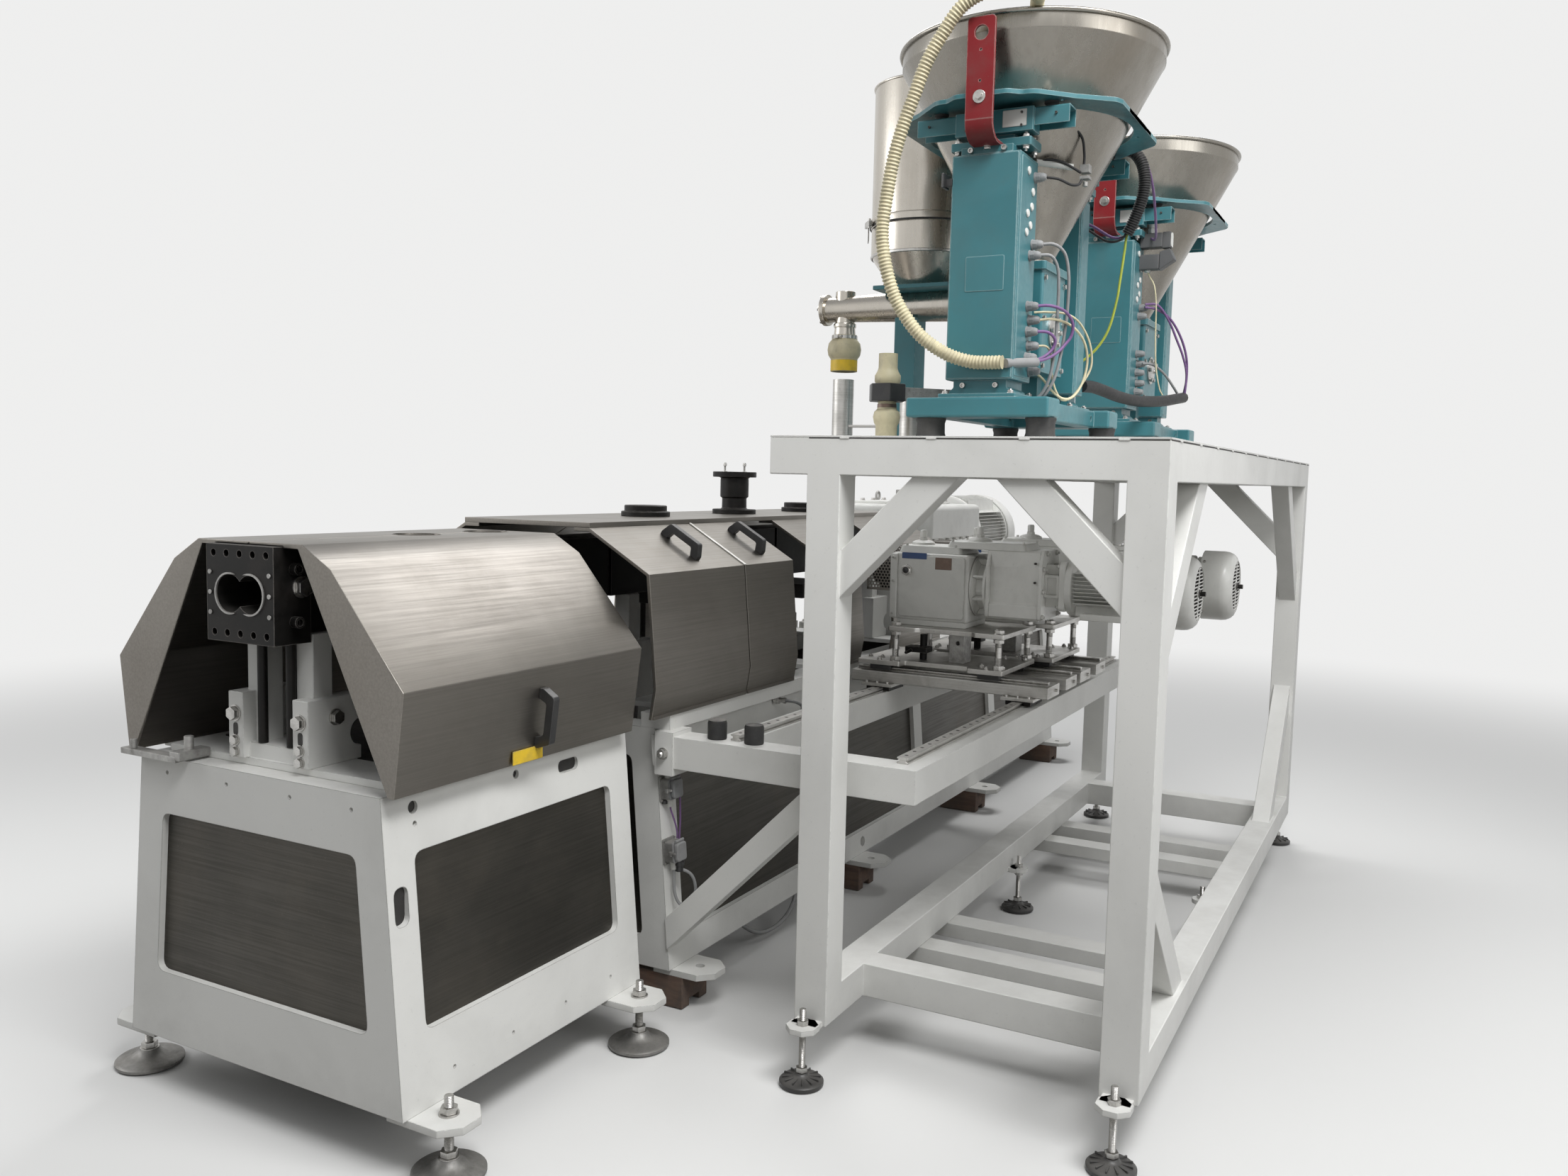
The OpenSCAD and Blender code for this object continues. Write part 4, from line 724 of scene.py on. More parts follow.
    def placed(self, thing: Thing, places: Iterable[Matrix]) -> Thing:
        """Copies a model to many places and joins the copies; the model itself is used up.

        Args:
            thing: The model, round the origin.
            places: One matrix for each copy.

        Returns:
            One object with all the copies.
        """
        shape = bmesh.new()
        for place in places:
            one = thing.data.copy()
            one.transform(place)
            if place.determinant() < 0:
                one.flip_normals()
            shape.from_mesh(one)
            bpy.data.meshes.remove(one)
        made = bpy.data.meshes.new("copies")
        shape.to_mesh(made)
        shape.free()
        thing.data = made
        return thing

    def softened(self, node: str, width: float) -> Thing:
        """A copy of a CAD node's mesh with its triangles merged and its edges rounded, in the layout.

        Args:
            node: The CAD node's name.
            width: Width of the rounding, or 0 for none.

        Returns:
            The copy, as a new object.
        """
        made = bpy.data.objects.new("copy", self.nodes[node].data.copy())
        made.data.materials.clear()
        bpy.context.scene.collection.objects.link(made)
        made.data.transform(Matrix.Translation(-SHIFT))
        self.pick([made])
        bpy.ops.object.mode_set(mode="EDIT")
        bpy.ops.mesh.select_all(action="SELECT")
        bpy.ops.mesh.remove_doubles(threshold=CAD_MERGE)
        bpy.ops.mesh.dissolve_limited(angle_limit=CAD_FLAT)
        bpy.ops.object.mode_set(mode="OBJECT")
        return self.round(made, width) if width else made

    # ---- dressing

    def material(self, finish: Finish) -> bpy.types.Material:
        """The material of a finish, made at its first use.

        Args:
            finish: The finish.

        Returns:
            Its material.
        """
        if finish.name not in self.dressed:
            self.dressed[finish.name] = finish.material(self.effects)
        return self.dressed[finish.name]

    def finish(self, things: Thing | Sequence[Thing], name: str, finish: Finish, body: str = "machine",
            stands_for: Sequence[str] = (), angle: float = 32.0) -> Thing:
        """Joins, names and dresses a piece and lets it ride on its body.

        Args:
            things: One mesh or several that become one piece.
            name: The piece's name.
            finish: Its finish.
            body: The CAD body that it rides on.
            stands_for: CAD nodes that it replaces.
            angle: Faces that meet at less than this are shaded smooth, in degrees.

        Returns:
            The finished piece.
        """
        made = self.join(list(things) if isinstance(things, (list, tuple)) else [things])
        made.name = name
        made.data.name = name
        made.data.transform(Matrix.Translation(SHIFT))
        self.pick([made])
        bpy.ops.object.shade_smooth_by_angle(angle=math.radians(angle))
        even = made.modifiers.new("even", "WEIGHTED_NORMAL")
        even.keep_sharp = True
        bpy.ops.object.modifier_apply(modifier=even.name)
        made.data.materials.clear()
        made.data.materials.append(self.material(finish))
        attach(made, body)
        if stands_for:
            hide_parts(*stands_for)
        self.count += 1
        LOG.info("piece %s on %s: %d faces", name, body, len(made.data.polygons))
        return made

    # ---- small parts

    def hex_bolt(self, size: float, grip: float = 0.0) -> Thing:
        """A hexagon bolt's head with its washer and, with a grip, a stud end, standing on z = 0.

        Args:
            size: Thread diameter.
            grip: Length of thread that shows past the nut.

        Returns:
            The bolt's head round the z axis.
        """
        base = size * 0.18
        parts = [self.rod((0, 0, -0.0005), (0, 0, base), size * 1.05, sides=20, bevel=size * 0.04),
            self.rod((0, 0, base), (0, 0, base + size * 0.66), size * 0.92, sides=6, bevel=size * 0.09)]
        if grip:
            parts.append(self.thread(size * 0.5, base + size * 0.5, base + size * 0.66 + grip))
        return self.join(parts)

    def socket_bolt(self, size: float) -> Thing:
        """A socket head bolt with its hexagon recess, standing on z = 0.

        Args:
            size: Thread diameter.

        Returns:
            The head round the z axis.
        """
        r = size * 0.75
        profile = [(0.0, -0.0005), (r, -0.0005), (r, size * 0.92), (r * 0.93, size), (size * 0.46, size),
            (size * 0.42, size * 0.45), (0.0, size * 0.45)]
        return self.lathe(profile, (0, 0, 0), steps=12)

    def thread(self, radius: float, low: float, high: float) -> Thing:
        """A threaded bar round the z axis.

        Args:
            radius: Outer radius.
            low: Lower end.
            high: Upper end.

        Returns:
            The bar.
        """
        pitch = max(radius * 0.34, 0.0022)
        count = max(2, int((high - low) / pitch))
        step = (high - low) / count
        profile = [(0.0, low), (radius * 0.86, low)]
        for i in range(count):
            profile += [(radius, low + (i + 0.5) * step), (radius * 0.86, low + (i + 1) * step)]
        profile.append((0.0, high))
        return self.lathe(profile, (0, 0, 0), steps=14)


def facing(place: Triple, way: Triple) -> Matrix:
    """A matrix that puts a model's z axis along a direction at a place.

    Args:
        place: Where the model's origin goes.
        way: Where its z axis points.

    Returns:
        The matrix.
    """
    turn = Vector(way).to_track_quat("Z", "Y").to_matrix().to_4x4()
    return Matrix.Translation(place) @ turn


def spot(x: float, y: float, z: float) -> Matrix:
    """A matrix that moves a model to a place."""
    return Matrix.Translation((x, y, z))


def angles(count: int, offset: float = 0.0) -> list[float]:
    """Angles of a number of even steps round a circle, in radians.

    Args:
        count: Number of steps.
        offset: Share of a step by which they are turned.

    Returns:
        The angles.
    """
    return [TURN * (i + offset) / count for i in range(count)]


def rounded(low: Pair, high: Pair, radius: float, steps: int = 5) -> list[Pair]:
    """The outline of a rectangle with round corners.

    Args:
        low: Lowest corner.
        high: Highest corner.
        radius: Radius of the corners.
        steps: Steps in each corner.

    Returns:
        Its points, anticlockwise.
    """
    return rounded_outline([low, (high[0], low[1]), high, (low[0], high[1])], radius, steps)


def rounded_outline(corners: Sequence[Pair], radius: float | Sequence[float], steps: int = 5) -> list[Pair]:
    """Rounds the corners of a polygon.

    Args:
        corners: Its corners in order.
        radius: One radius, or one for each corner.
        steps: Steps in each corner.

    Returns:
        The points of the rounded outline.
    """
    points: list[Pair] = []
    count = len(corners)
    for i, corner in enumerate(corners):
        r = radius if isinstance(radius, (int, float)) else radius[i]
        here = Vector(corner)
        before = (Vector(corners[i - 1]) - here).normalized()
        after = (Vector(corners[(i + 1) % count]) - here).normalized()
        if r <= 0:
            points.append((here.x, here.y))
            continue
        half = math.acos(max(-1.0, min(1.0, before.dot(after)))) / 2
        reach = r / math.tan(half)
        start, end = here + before * reach, here + after * reach
        for k in range(steps + 1):
            t = k / steps
            bend = (1 - t) ** 2 * start + 2 * t * (1 - t) * here + t ** 2 * end
            points.append((bend.x, bend.y))
    return points


# ---------------------------------------------------------------- picture


@dataclass
class Studio:
    """Camera, lamps, world and floor."""

    eye: Triple = (-4.748, -1.90525, 1.687)
    yaw: float = 28.07
    pitch: float = -5.12
    roll: float = 1.3
    lens: float = 28.546
    backdrop: Colour = (0.86, 0.86, 0.855)
    floor_seen: Colour = (0.74, 0.74, 0.73)
    floor_bounce: Colour = (0.2, 0.195, 0.185)
    floor_size: float = 90.0
    floor_drop: float = 0.002
    sensor: float = 36.0

    def camera(self) -> None:
        """Sets the camera where the photograph was taken from."""
        psi, theta, rho = (math.radians(v) for v in (self.yaw, self.pitch, self.roll))
        ahead = Vector((math.cos(psi) * math.cos(theta), math.sin(psi) * math.cos(theta), math.sin(theta)))
        right = Vector((math.sin(psi), -math.cos(psi), 0.0))
        up = right.cross(ahead)
        level = math.cos(rho) * right + math.sin(rho) * up
        upright = -math.sin(rho) * right + math.cos(rho) * up
        data = bpy.data.cameras.new("photo camera")
        data.sensor_width = self.sensor
        data.sensor_fit = "HORIZONTAL"
        data.lens = self.lens
        data.clip_start, data.clip_end = 0.05, 200.0
        camera = bpy.data.objects.new("photo camera", data)
        bpy.context.scene.collection.objects.link(camera)
        turn = Matrix((level, upright, -ahead)).transposed().to_4x4()
        camera.matrix_world = Matrix.Translation(self.eye) @ turn
        bpy.context.scene.camera = camera

    def lamps(self) -> None:
        """Hangs soft area lamps over and beside the machine."""
        rows = [("over front", (-3.2, -2.6, 5.2), (-1.8, 0.0, 0.8), 3.6, 1.3, 242.0),
            ("over rear", (2.0, 0.5, 5.6), (0.8, -0.2, 1.0), 4.0, 2.0, 170.0),
            ("left wall", (-3.4, 4.6, 3.0), (-0.8, 0.2, 1.2), 3.0, 2.2, 75.0),
            ("right side", (-2.2, -5.6, 3.4), (-2.0, -0.4, 0.8), 3.4, 2.2, 66.0)]
        for name, place, aim, wide, high, power in rows:
            data = bpy.data.lights.new(name, "AREA")
            data.shape = "RECTANGLE"
            data.size, data.size_y, data.energy = wide, high, power
            lamp = bpy.data.objects.new(name, data)
            bpy.context.scene.collection.objects.link(lamp)
            way = Vector(aim) - Vector(place)
            lamp.matrix_world = Matrix.Translation(place) @ way.to_track_quat("-Z", "Y").to_matrix().to_4x4()

    @staticmethod
    def _shown(tree: Tree) -> bpy.types.NodeSocket:
        """A mask of the rays that show the backdrop: camera, glossy and transmission rays.

        Args:
            tree: The tree that gets the nodes.

        Returns:
            The mask's socket.
        """
        path = tree.add("ShaderNodeLightPath")
        shown = tree.math("ADD", path.outputs["Is Camera Ray"], path.outputs["Is Glossy Ray"])
        return tree.math("ADD", shown, path.outputs["Is Transmission Ray"], clamp=True)

    def world(self) -> None:
        """Pale surroundings that are darker overhead, with a plain level of light from them."""
        world = bpy.data.worlds.new("studio")
        bpy.context.scene.world = world
        world.use_nodes = True
        tree = Tree(world.node_tree)
        tree.tree.nodes.clear()
        place = tree.add("ShaderNodeTexCoord")
        height = tree.add("ShaderNodeSeparateXYZ", {0: place.outputs["Generated"]})
        light = tree.mix(tree.ramp(height.outputs[2], -0.1, 0.75), (0.4, 0.4, 0.392), (0.255, 0.26, 0.268))
        sight = tree.mix(tree.ramp(height.outputs[2], 0.42, 0.85), self.backdrop, (0.46, 0.465, 0.475))
        colour = tree.mix(self._shown(tree), light, sight)
        back = tree.add("ShaderNodeBackground", {"Color": colour, "Strength": 1.0})
        out = tree.add("ShaderNodeOutputWorld")
        tree.tree.links.new(back.outputs[0], out.inputs[0])

    def floor(self, bench: Bench) -> None:
        """Lays the pale floor.

        Args:
            bench: The modelling bench.
        """
        bench.clear()
        bpy.ops.mesh.primitive_plane_add(size=self.floor_size, location=(0, 0, -self.floor_drop))
        ground = bpy.context.object
        ground.name = "studio_floor"
        made = bpy.data.materials.new("pale studio floor")
        made.use_nodes = True
        tree = Tree(made.node_tree)
        tree.tree.nodes.clear()
        place = tree.add("ShaderNodeTexCoord")
        reach = tree.add("ShaderNodeVectorMath", {0: place.outputs["Object"]}, operation="LENGTH")
        shown = self._shown(tree)
        far = tree.math("MULTIPLY", tree.ramp(reach.outputs["Value"], 3.2, 9.0), shown)
        near = tree.add("ShaderNodeBsdfDiffuse", {"Color": tree.mix(shown, self.floor_bounce,
            self.floor_seen)})
        glow = tree.add("ShaderNodeEmission", {"Color": (*self.backdrop, 1.0)})
        blend = tree.add("ShaderNodeMixShader", {0: far, 1: near.outputs[0], 2: glow.outputs[0]})
        tree.add("ShaderNodeOutputMaterial", {"Surface": blend.outputs[0]})
        ground.data.materials.append(made)
        bpy.context.scene.view_settings.view_transform = "Standard"


# ---------------------------------------------------------------- the hose


@dataclass
class CreamHose:
    """The ribbed cream hose that hangs out of the first hopper."""

    radius: float = 0.018
    pitch: float = 0.0095
    route: tuple[Triple, ...] = mm(((1190, -1555, 2790), (1150, -1568, 2868), (1110, -1582, 2898),
        (1070, -1595, 2900), (1030, -1575, 2903), (1000, -1500, 2905), (985, -1430, 2872), (982, -1378, 2808),
        (980, -1337, 2740), (980, -1308, 2667), (980, -1280, 2595), (980, -1255, 2510), (980, -1238, 2410),
        (980, -1230, 2320), (985, -1245, 2225), (1000, -1272, 2145), (1020, -1325, 2068), (1045, -1388, 2020),
        (1062, -1450, 1998), (1064, -1500, 1994), (1064, -1541, 1994)))

    def build(self, bench: Bench) -> None:
        """Args:
            bench: The modelling bench.
        """
        corrugated(bench, self.route, self.radius, self.pitch, "cream_hose_ribbed", CREAM, ["cream_hose"])


# ---------------------------------------------------------------- frames


@dataclass
class MachineFrame:
    """One welded frame of square tubes with leaning sides, rounded windows and inset sheets."""

    name: str
    x0: float
    x1: float
    z0: float
    bays: int
    node: str
    panels: str
    low_rail: float
    top_rail: float
    height: float = FRAME_HEIGHT
    half_low: float = FRAME_HALF
    half_top: float = 0.433
    post: float = 0.095
    corner: float = 0.028

    def half(self, z: float) -> float:
        """Half width of the frame at a height above the floor."""
        return self.half_low - (self.half_low - self.half_top) * (z - self.z0) / self.height

    def windows(self) -> list[Pair]:
        """Start and end of each side window along the machine."""
        bay = (self.x1 - self.x0 - self.post) / self.bays
        return [(self.x0 + self.post + i * bay, self.x0 + (i + 1) * bay) for i in range(self.bays)]

    def build(self, bench: Bench, holes: Sequence[Thing] = (), extra: Sequence[Thing] = ()) -> None:
        """Makes the frame and its sheets.

        Args:
            bench: The modelling bench.
            holes: More cutters for the frame.
            extra: More solids of the frame.
        """
        low, top = self.z0 + self.low_rail, self.z0 + self.height - self.top_rail
        z1 = self.z0 + self.height
        body = bench.slab([(-self.half_low, self.z0), (self.half_low, self.z0), (self.half_top, z1),
            (-self.half_top, z1)], "x", self.x0, self.x1)
        mouth = rounded_outline([(-self.half(low) + self.post, low), (self.half(low) - self.post, low),
            (self.half(top) - self.post, top), (-self.half(top) + self.post, top)], self.corner)
        cutters = [bench.slab(mouth, "x", self.x0 - 0.05, self.x1 + 0.05)]
        for a, b in self.windows():
            cutters.append(bench.slab(rounded((a, low), (b, top), self.corner), "y", -0.7, 0.7))
        cutters.append(bench.slab(rounded((self.x0 + self.post, -self.half_top + self.post),
            (self.x1 - self.post, self.half_top - self.post), 0.01), "z", self.z0 - 0.05, z1 + 0.05))
        bench.cut(body, [*cutters, *holes])
        bench.round(body, 0.0045, 2, 40.0)
        bench.finish([body, *extra], self.name + "_frame_tubes", WHITE, stands_for=[self.node], angle=40.0)
        sheets = []
        for a, b in self.windows():
            for s in SIDES:
                y = [(s * (self.half(z) - 0.018), z) for z in (low - 0.02, top + 0.02)]
                y += [(s * (self.half(z) - 0.022), z) for z in (top + 0.02, low - 0.02)]
                sheets.append(bench.slab(y, "x", a - 0.012, b + 0.012))
        for x in (self.x0 + 0.018, self.x1 - 0.022):
            edge = 0.012
            sheets.append(bench.slab([(-self.half(low) + self.post - edge, low - edge),
                (self.half(low) - self.post + edge, low - edge),
                (self.half(top) - self.post + edge, top + edge),
                (-self.half(top) + self.post - edge, top + edge)], "x", x, x + 0.004))
        bench.finish(sheets, self.name + "_inset_sheets", PANEL, stands_for=[self.panels])


@dataclass
class FrontModule:
    """The front frame with its feet, pillars, barrel end and hoods."""

    length: float = 0.974
    foot: float = 0.56
    pillars: Pair = (0.045, 0.689)
    hood_top: float = 1.4995
    hood_holes: Pair = (0.56, 0.845)

    def build(self, bench: Bench) -> None:
        """Builds every piece of the front module.

        Args:
            bench: The modelling bench.
        """
        self._frame(bench)
        self._feet(bench)
        self._pillars(bench)
        self._barrel(bench)
        self._hoods(bench)

    def _frame(self, bench: Bench) -> None:
        """The frame with its drilled holes and slots.

        Args:
            bench: The modelling bench.
        """
        holes = [bench.rod((0.474, -0.6, 0.882), (0.474, -0.3, 0.882), 0.011),
            bench.rod((0.1, -0.6, 0.878), (0.1, -0.3, 0.878), 0.015),
            bench.rod((0.103, -0.6, 0.838), (0.103, -0.3, 0.838), 0.006, sides=12),
            bench.slab(rounded((0.651, 0.847), (0.738, 0.882), 0.0172), "y", -0.6, -0.3),
            bench.slab(rounded((0.021, 0.604), (0.066, 0.699), 0.022), "y", -0.6, -0.3)]
        for y in (-0.34, -0.13, 0.1, 0.33):
            holes.append(bench.rod((-0.02, y, 0.88), (0.01, y, 0.88), 0.005, sides=10))
        for x in (0.18, 0.4, 0.62, 0.83):
            holes.append(bench.rod((x, -0.6, 0.213), (x, -0.47, 0.213), 0.0045, sides=10))
        frame = MachineFrame("front", 0.0, self.length, FRONT_BASE, 1, "front_frame", "front_panels", 0.187,
            0.15)
        frame.build(bench, holes, [self._ledge(bench)])
        self._recesses(bench)

    @staticmethod
    def _recesses(bench: Bench) -> None:
        """Painted shade: dark bottoms of the holes in the leaning side, and a dark tray under the barrel.

        Args:
            bench: The modelling bench.
        """
        parts = []
        # Painted shade: a dark disc or slab sits a little inside each hole and slot, where only shade falls.
        for x, z, radius in ((0.474, 0.882, 0.0118), (0.1, 0.878, 0.0158), (0.103, 0.838, 0.0066)):
            face = FRAME_INSET / FRAME_HEIGHT * (z - FRONT_BASE) - FRAME_HALF + RECESS_DEPTH
            parts.append(bench.rod((x, face, z), (x, face + 0.02, z), radius, sides=24))
        parts.append(bench.slab(rounded((0.65, 0.846), (0.739, 0.883), 0.018), "y", -0.4285, -0.41))
        parts.append(bench.slab(rounded((0.02, 0.603), (0.067, 0.7), 0.0228), "y", -0.443, -0.425))
        bench.finish(parts, "front_frame_hole_shade", PAINTED_SHADE)
        # Painted shade: a dark tray over the frame's top under the barrel, between the pillars.
        shade_sheet = [bench.block((0.225, -0.392, 0.9195), (0.68, 0.392, 0.9245), 0.001)]
        shade_sheet += [bench.block((0.225, s * 0.388 - 0.004, 0.9195), (0.68, s * 0.388 + 0.004, 0.936), 0.001)
            for s in SIDES]
        bench.finish(shade_sheet, "front_barrel_shade_sheet", PAINTED_SHADE)

    @staticmethod
    def _ledge(bench: Bench) -> Thing:
        """Thin strips on the frame's top that the hoods rest on.

        Args:
            bench: The modelling bench.

        Returns:
            Both strips as one mesh.
        """
        strips = [bench.block((0.095, s * 0.4 if s > 0 else -0.472, 0.918),
            (0.879, 0.472 if s > 0 else -0.4, 0.923), 0.001) for s in SIDES]
        return bench.join(strips)

    def _feet(self, bench: Bench) -> None:
        """Levelling feet: octagonal plate, stud, nuts and dusty disc.

        Args:
            bench: The modelling bench.
        """
        plates, discs, studs = [], [], []
        for x in (0.09, self.length - 0.09):
            for s in SIDES:
                y = s * self.foot
                discs.append(bench.lathe(mm([(0, 0), (84, 0), (90, 4), (90, 11), (83, 16), (50, 20), (34, 30),
                    (26, 42), (0, 42)]), (x, y, 0.0), steps=40))
                bar = bench.thread(0.012, 0.036, 0.196)
                bar.data.transform(spot(x, y, 0))
                studs.append(bar)
                nuts = bench.placed(bench.hex_bolt(0.024), [spot(x, y, 0.149),
                    facing((x, y, 0.129), (0, 0, -1)), spot(x, y, 0.04)])
                studs.append(nuts)
                w, c = 0.075, 0.075 * math.tan(math.radians(22.5))
                outline = [(x - w, y - s * 0.13), (x + w, y - s * 0.13), (x + w, y + s * c),
                    (x + c, y + s * w), (x - c, y + s * w), (x - w, y + s * c)]
                plates.append(bench.slab(outline, "z", 0.129, 0.149, 0.003))
        bench.finish(plates, "front_foot_plates", WHITE, stands_for=["front_feet"])
        bench.finish(discs, "front_foot_discs", GREY_STEEL, angle=45.0)
        bench.finish(studs, "front_foot_studs", BRIGHT)

    def _pillars(self, bench: Bench) -> None:
        """Barrel pillars with jack screws, bolts, and slots drawn as dark plates of painted shade.

        Args:
            bench: The modelling bench.
        """
        bench.finish(bench.softened("front_pillars", 0.003), "front_barrel_pillars", WHITE,
            stands_for=["front_pillars"])
        parts, rods, slot_shades = [], [], []
        for x0 in self.pillars:
            for s in SIDES:
                y = s * 0.145
                parts.append(bench.placed(bench.hex_bolt(0.02),
                    [facing((x0 - 0.0005, s * 0.118, 1.055), (-1, 0, 0)),
                    facing((x0 + 0.085, y, 1.06), (0, s, 0))]))
                parts.append(bench.placed(bench.hex_bolt(0.014),
                    [facing((x0 - 0.0005, s * 0.118, 0.985), (-1, 0, 0)),
                    facing((x0 - 0.0005, s * 0.118, 0.955), (-1, 0, 0))]))
                # Painted shade: a dark slot-shaped plate on the pillar's face stands for the shade inside the
                # slot.
                slot_shades.append(bench.slab(rounded((s * 0.118 - 0.008, 0.998), (s * 0.118 + 0.008, 1.03), 0.0078),
                    "x", x0 - 0.0015, x0 + 0.001))
                for k in (0.03, 0.14):
                    rods.append(bench.rod((x0 + k, s * 0.052, 0.98), (x0 + k, s * 0.052, 1.268), 0.0125,
                        bevel=0.001))
        bench.finish(parts, "front_pillar_bolts", BRIGHT)
        bench.finish(rods, "front_pillar_rods", BLACK_STEEL)
        bench.finish(slot_shades, "front_pillar_slot_shade", PAINTED_SHADE)
        arm = [bench.block((-0.035, 0.25, 0.921), (0.0, 0.47, 0.937), 0.002),
            bench.block((-0.034, 0.235, 0.926), (0.06, 0.275, 0.95), 0.004),
            bench.rod((0.01, 0.255, 0.948), (0.01, 0.255, 0.985), 0.012, bevel=0.002),
            bench.rod((-0.024, 0.43, 0.937), (-0.024, 0.43, 0.962), 0.009, bevel=0.002)]
        bench.finish(arm, "front_latch_bracket", GREY_STEEL)

    def _barrel(self, bench: Bench) -> None:
        """The blackened barrel with its screws, its plug and the rings round the bores of its face.

        Args:
            bench: The modelling bench.
        """
        bench.finish(bench.softened("front_barrel", 0.0025), "front_barrel_sections", BLACK_STEEL,
            stands_for=["front_barrel"])
        z = BARREL_AXIS
        bolts = [facing((0.03, s * 0.1205, z + v), (0, s, 0)) for s in SIDES for v in (-0.065, 0.065)]
        more = [facing((x, s * 0.1005, z + v), (0, s, 0)) for s in SIDES
            for x in (0.16, 0.3, 0.46, 0.6, 0.76, 0.9) for v in (-0.075, 0.075)]
        bench.finish([bench.placed(bench.socket_bolt(0.02), bolts),
            bench.placed(bench.socket_bolt(0.014), more)], "front_barrel_bolts", BLACK_STEEL)
        plug = bench.placed(bench.hex_bolt(0.026), [facing((0.05, -0.1205, z + 0.02), (0, -1, 0))])
        bench.finish(plug, "front_barrel_plug", BRIGHT)
        rings = [bench.lathe(mm([(47.5, 0), (52, 0), (52, 4), (47.5, 4)]), (-0.0335, s * 0.036, z), "x", 40)
            for s in SIDES]
        gap = bench.block((-0.06, -0.0345, z - 0.0475), (0.0, 0.0345, z + 0.0475))
        eight = bench.cut(bench.join(rings), [gap])
        small = [bench.rod((-0.0302, y, z + v), (-0.0335, y, z + v), 0.006, sides=14, bevel=0.001)
            for y in (-0.106, 0.106) for v in (-0.05, 0.0, 0.05)]
        bench.finish([eight, *small], "front_barrel_face_rings", GREY_STEEL)

    def _hoods(self, bench: Bench) -> None:
        """Both hood halves, the rims of the round holes, the handles and the yellow plate.

        Args:
            bench: The modelling bench.
        """
        for side in ("right", "left"):
            hood = bench.softened(f"front_hood_{side}", 0.0022)
            bench.finish(hood, f"front_hood_{side}_shell", HOOD, stands_for=[f"front_hood_{side}"])
        lips = [bench.lathe(mm([(65.5, -6), (68.5, -6), (68.5, 1.2), (65.5, 1.2)]), (x, 0, self.hood_top),
            steps=40) for x in self.hood_holes]
        bench.finish(lips, "front_hood_hole_rims", HOOD)
        self._handle(bench)
        plate = bench.block((0.4, -0.486, 0.9255), (0.52, -0.4835, 0.962), 0.0008)
        plate.data.transform(spot(0, -0.0035, 0))
        bench.finish(plate, "front_hood_blank_plate", YELLOW)

    def _handle(self, bench: Bench) -> None:
        """The bow handles: one low on the front hood and two on the rear hood's slope.

        Args:
            bench: The modelling bench.
        """
        grips = []
        lean = math.atan(0.032 / 0.252)
        grips.append(bow_handle(bench, spot(0.5, -0.48, 0.923) @ Matrix.Rotation(lean, 4, "X")
            @ spot(0, 0, 0.052)))
        slope = math.atan(0.225 / 0.132)
        for x in (1.37, 1.8):
            grips.append(bow_handle(bench, spot(x, -0.252, 1.516) @ Matrix.Rotation(-slope, 4, "X")
                @ Matrix.Diagonal((1, 1, -1, 1)) @ spot(0, 0, 0.065)))
        bench.finish(grips, "hood_grab_handles", BLACK_PLASTIC, stands_for=["hood_handles"], angle=50.0)


def bow_handle(bench: Bench, place: Matrix) -> Thing:
    """A moulded bow handle: two flared feet and a square grip with rounded edges.

    Args:
        bench: The modelling bench.
        place: Where it goes; its feet lie on y = 0 and it stands out towards -y.

    Returns:
        The handle.
    """
    outline = rounded_outline(mm([(0, -16), (-12, -16), (-50, 2), (-50, 128), (-12, 146), (0, 146), (0, 118),
        (-26, 108), (-26, 22), (0, 12)]), [0.002, 0.006, 0.012, 0.012, 0.006, 0.002, 0.002, 0.01, 0.01,
        0.002], 4)
    grip = bench.slab(outline, "x", -0.0125, 0.0125, 0.0035, 3)
    return bench.placed(grip, [place])


# ---------------------------------------------------------------- side feeders


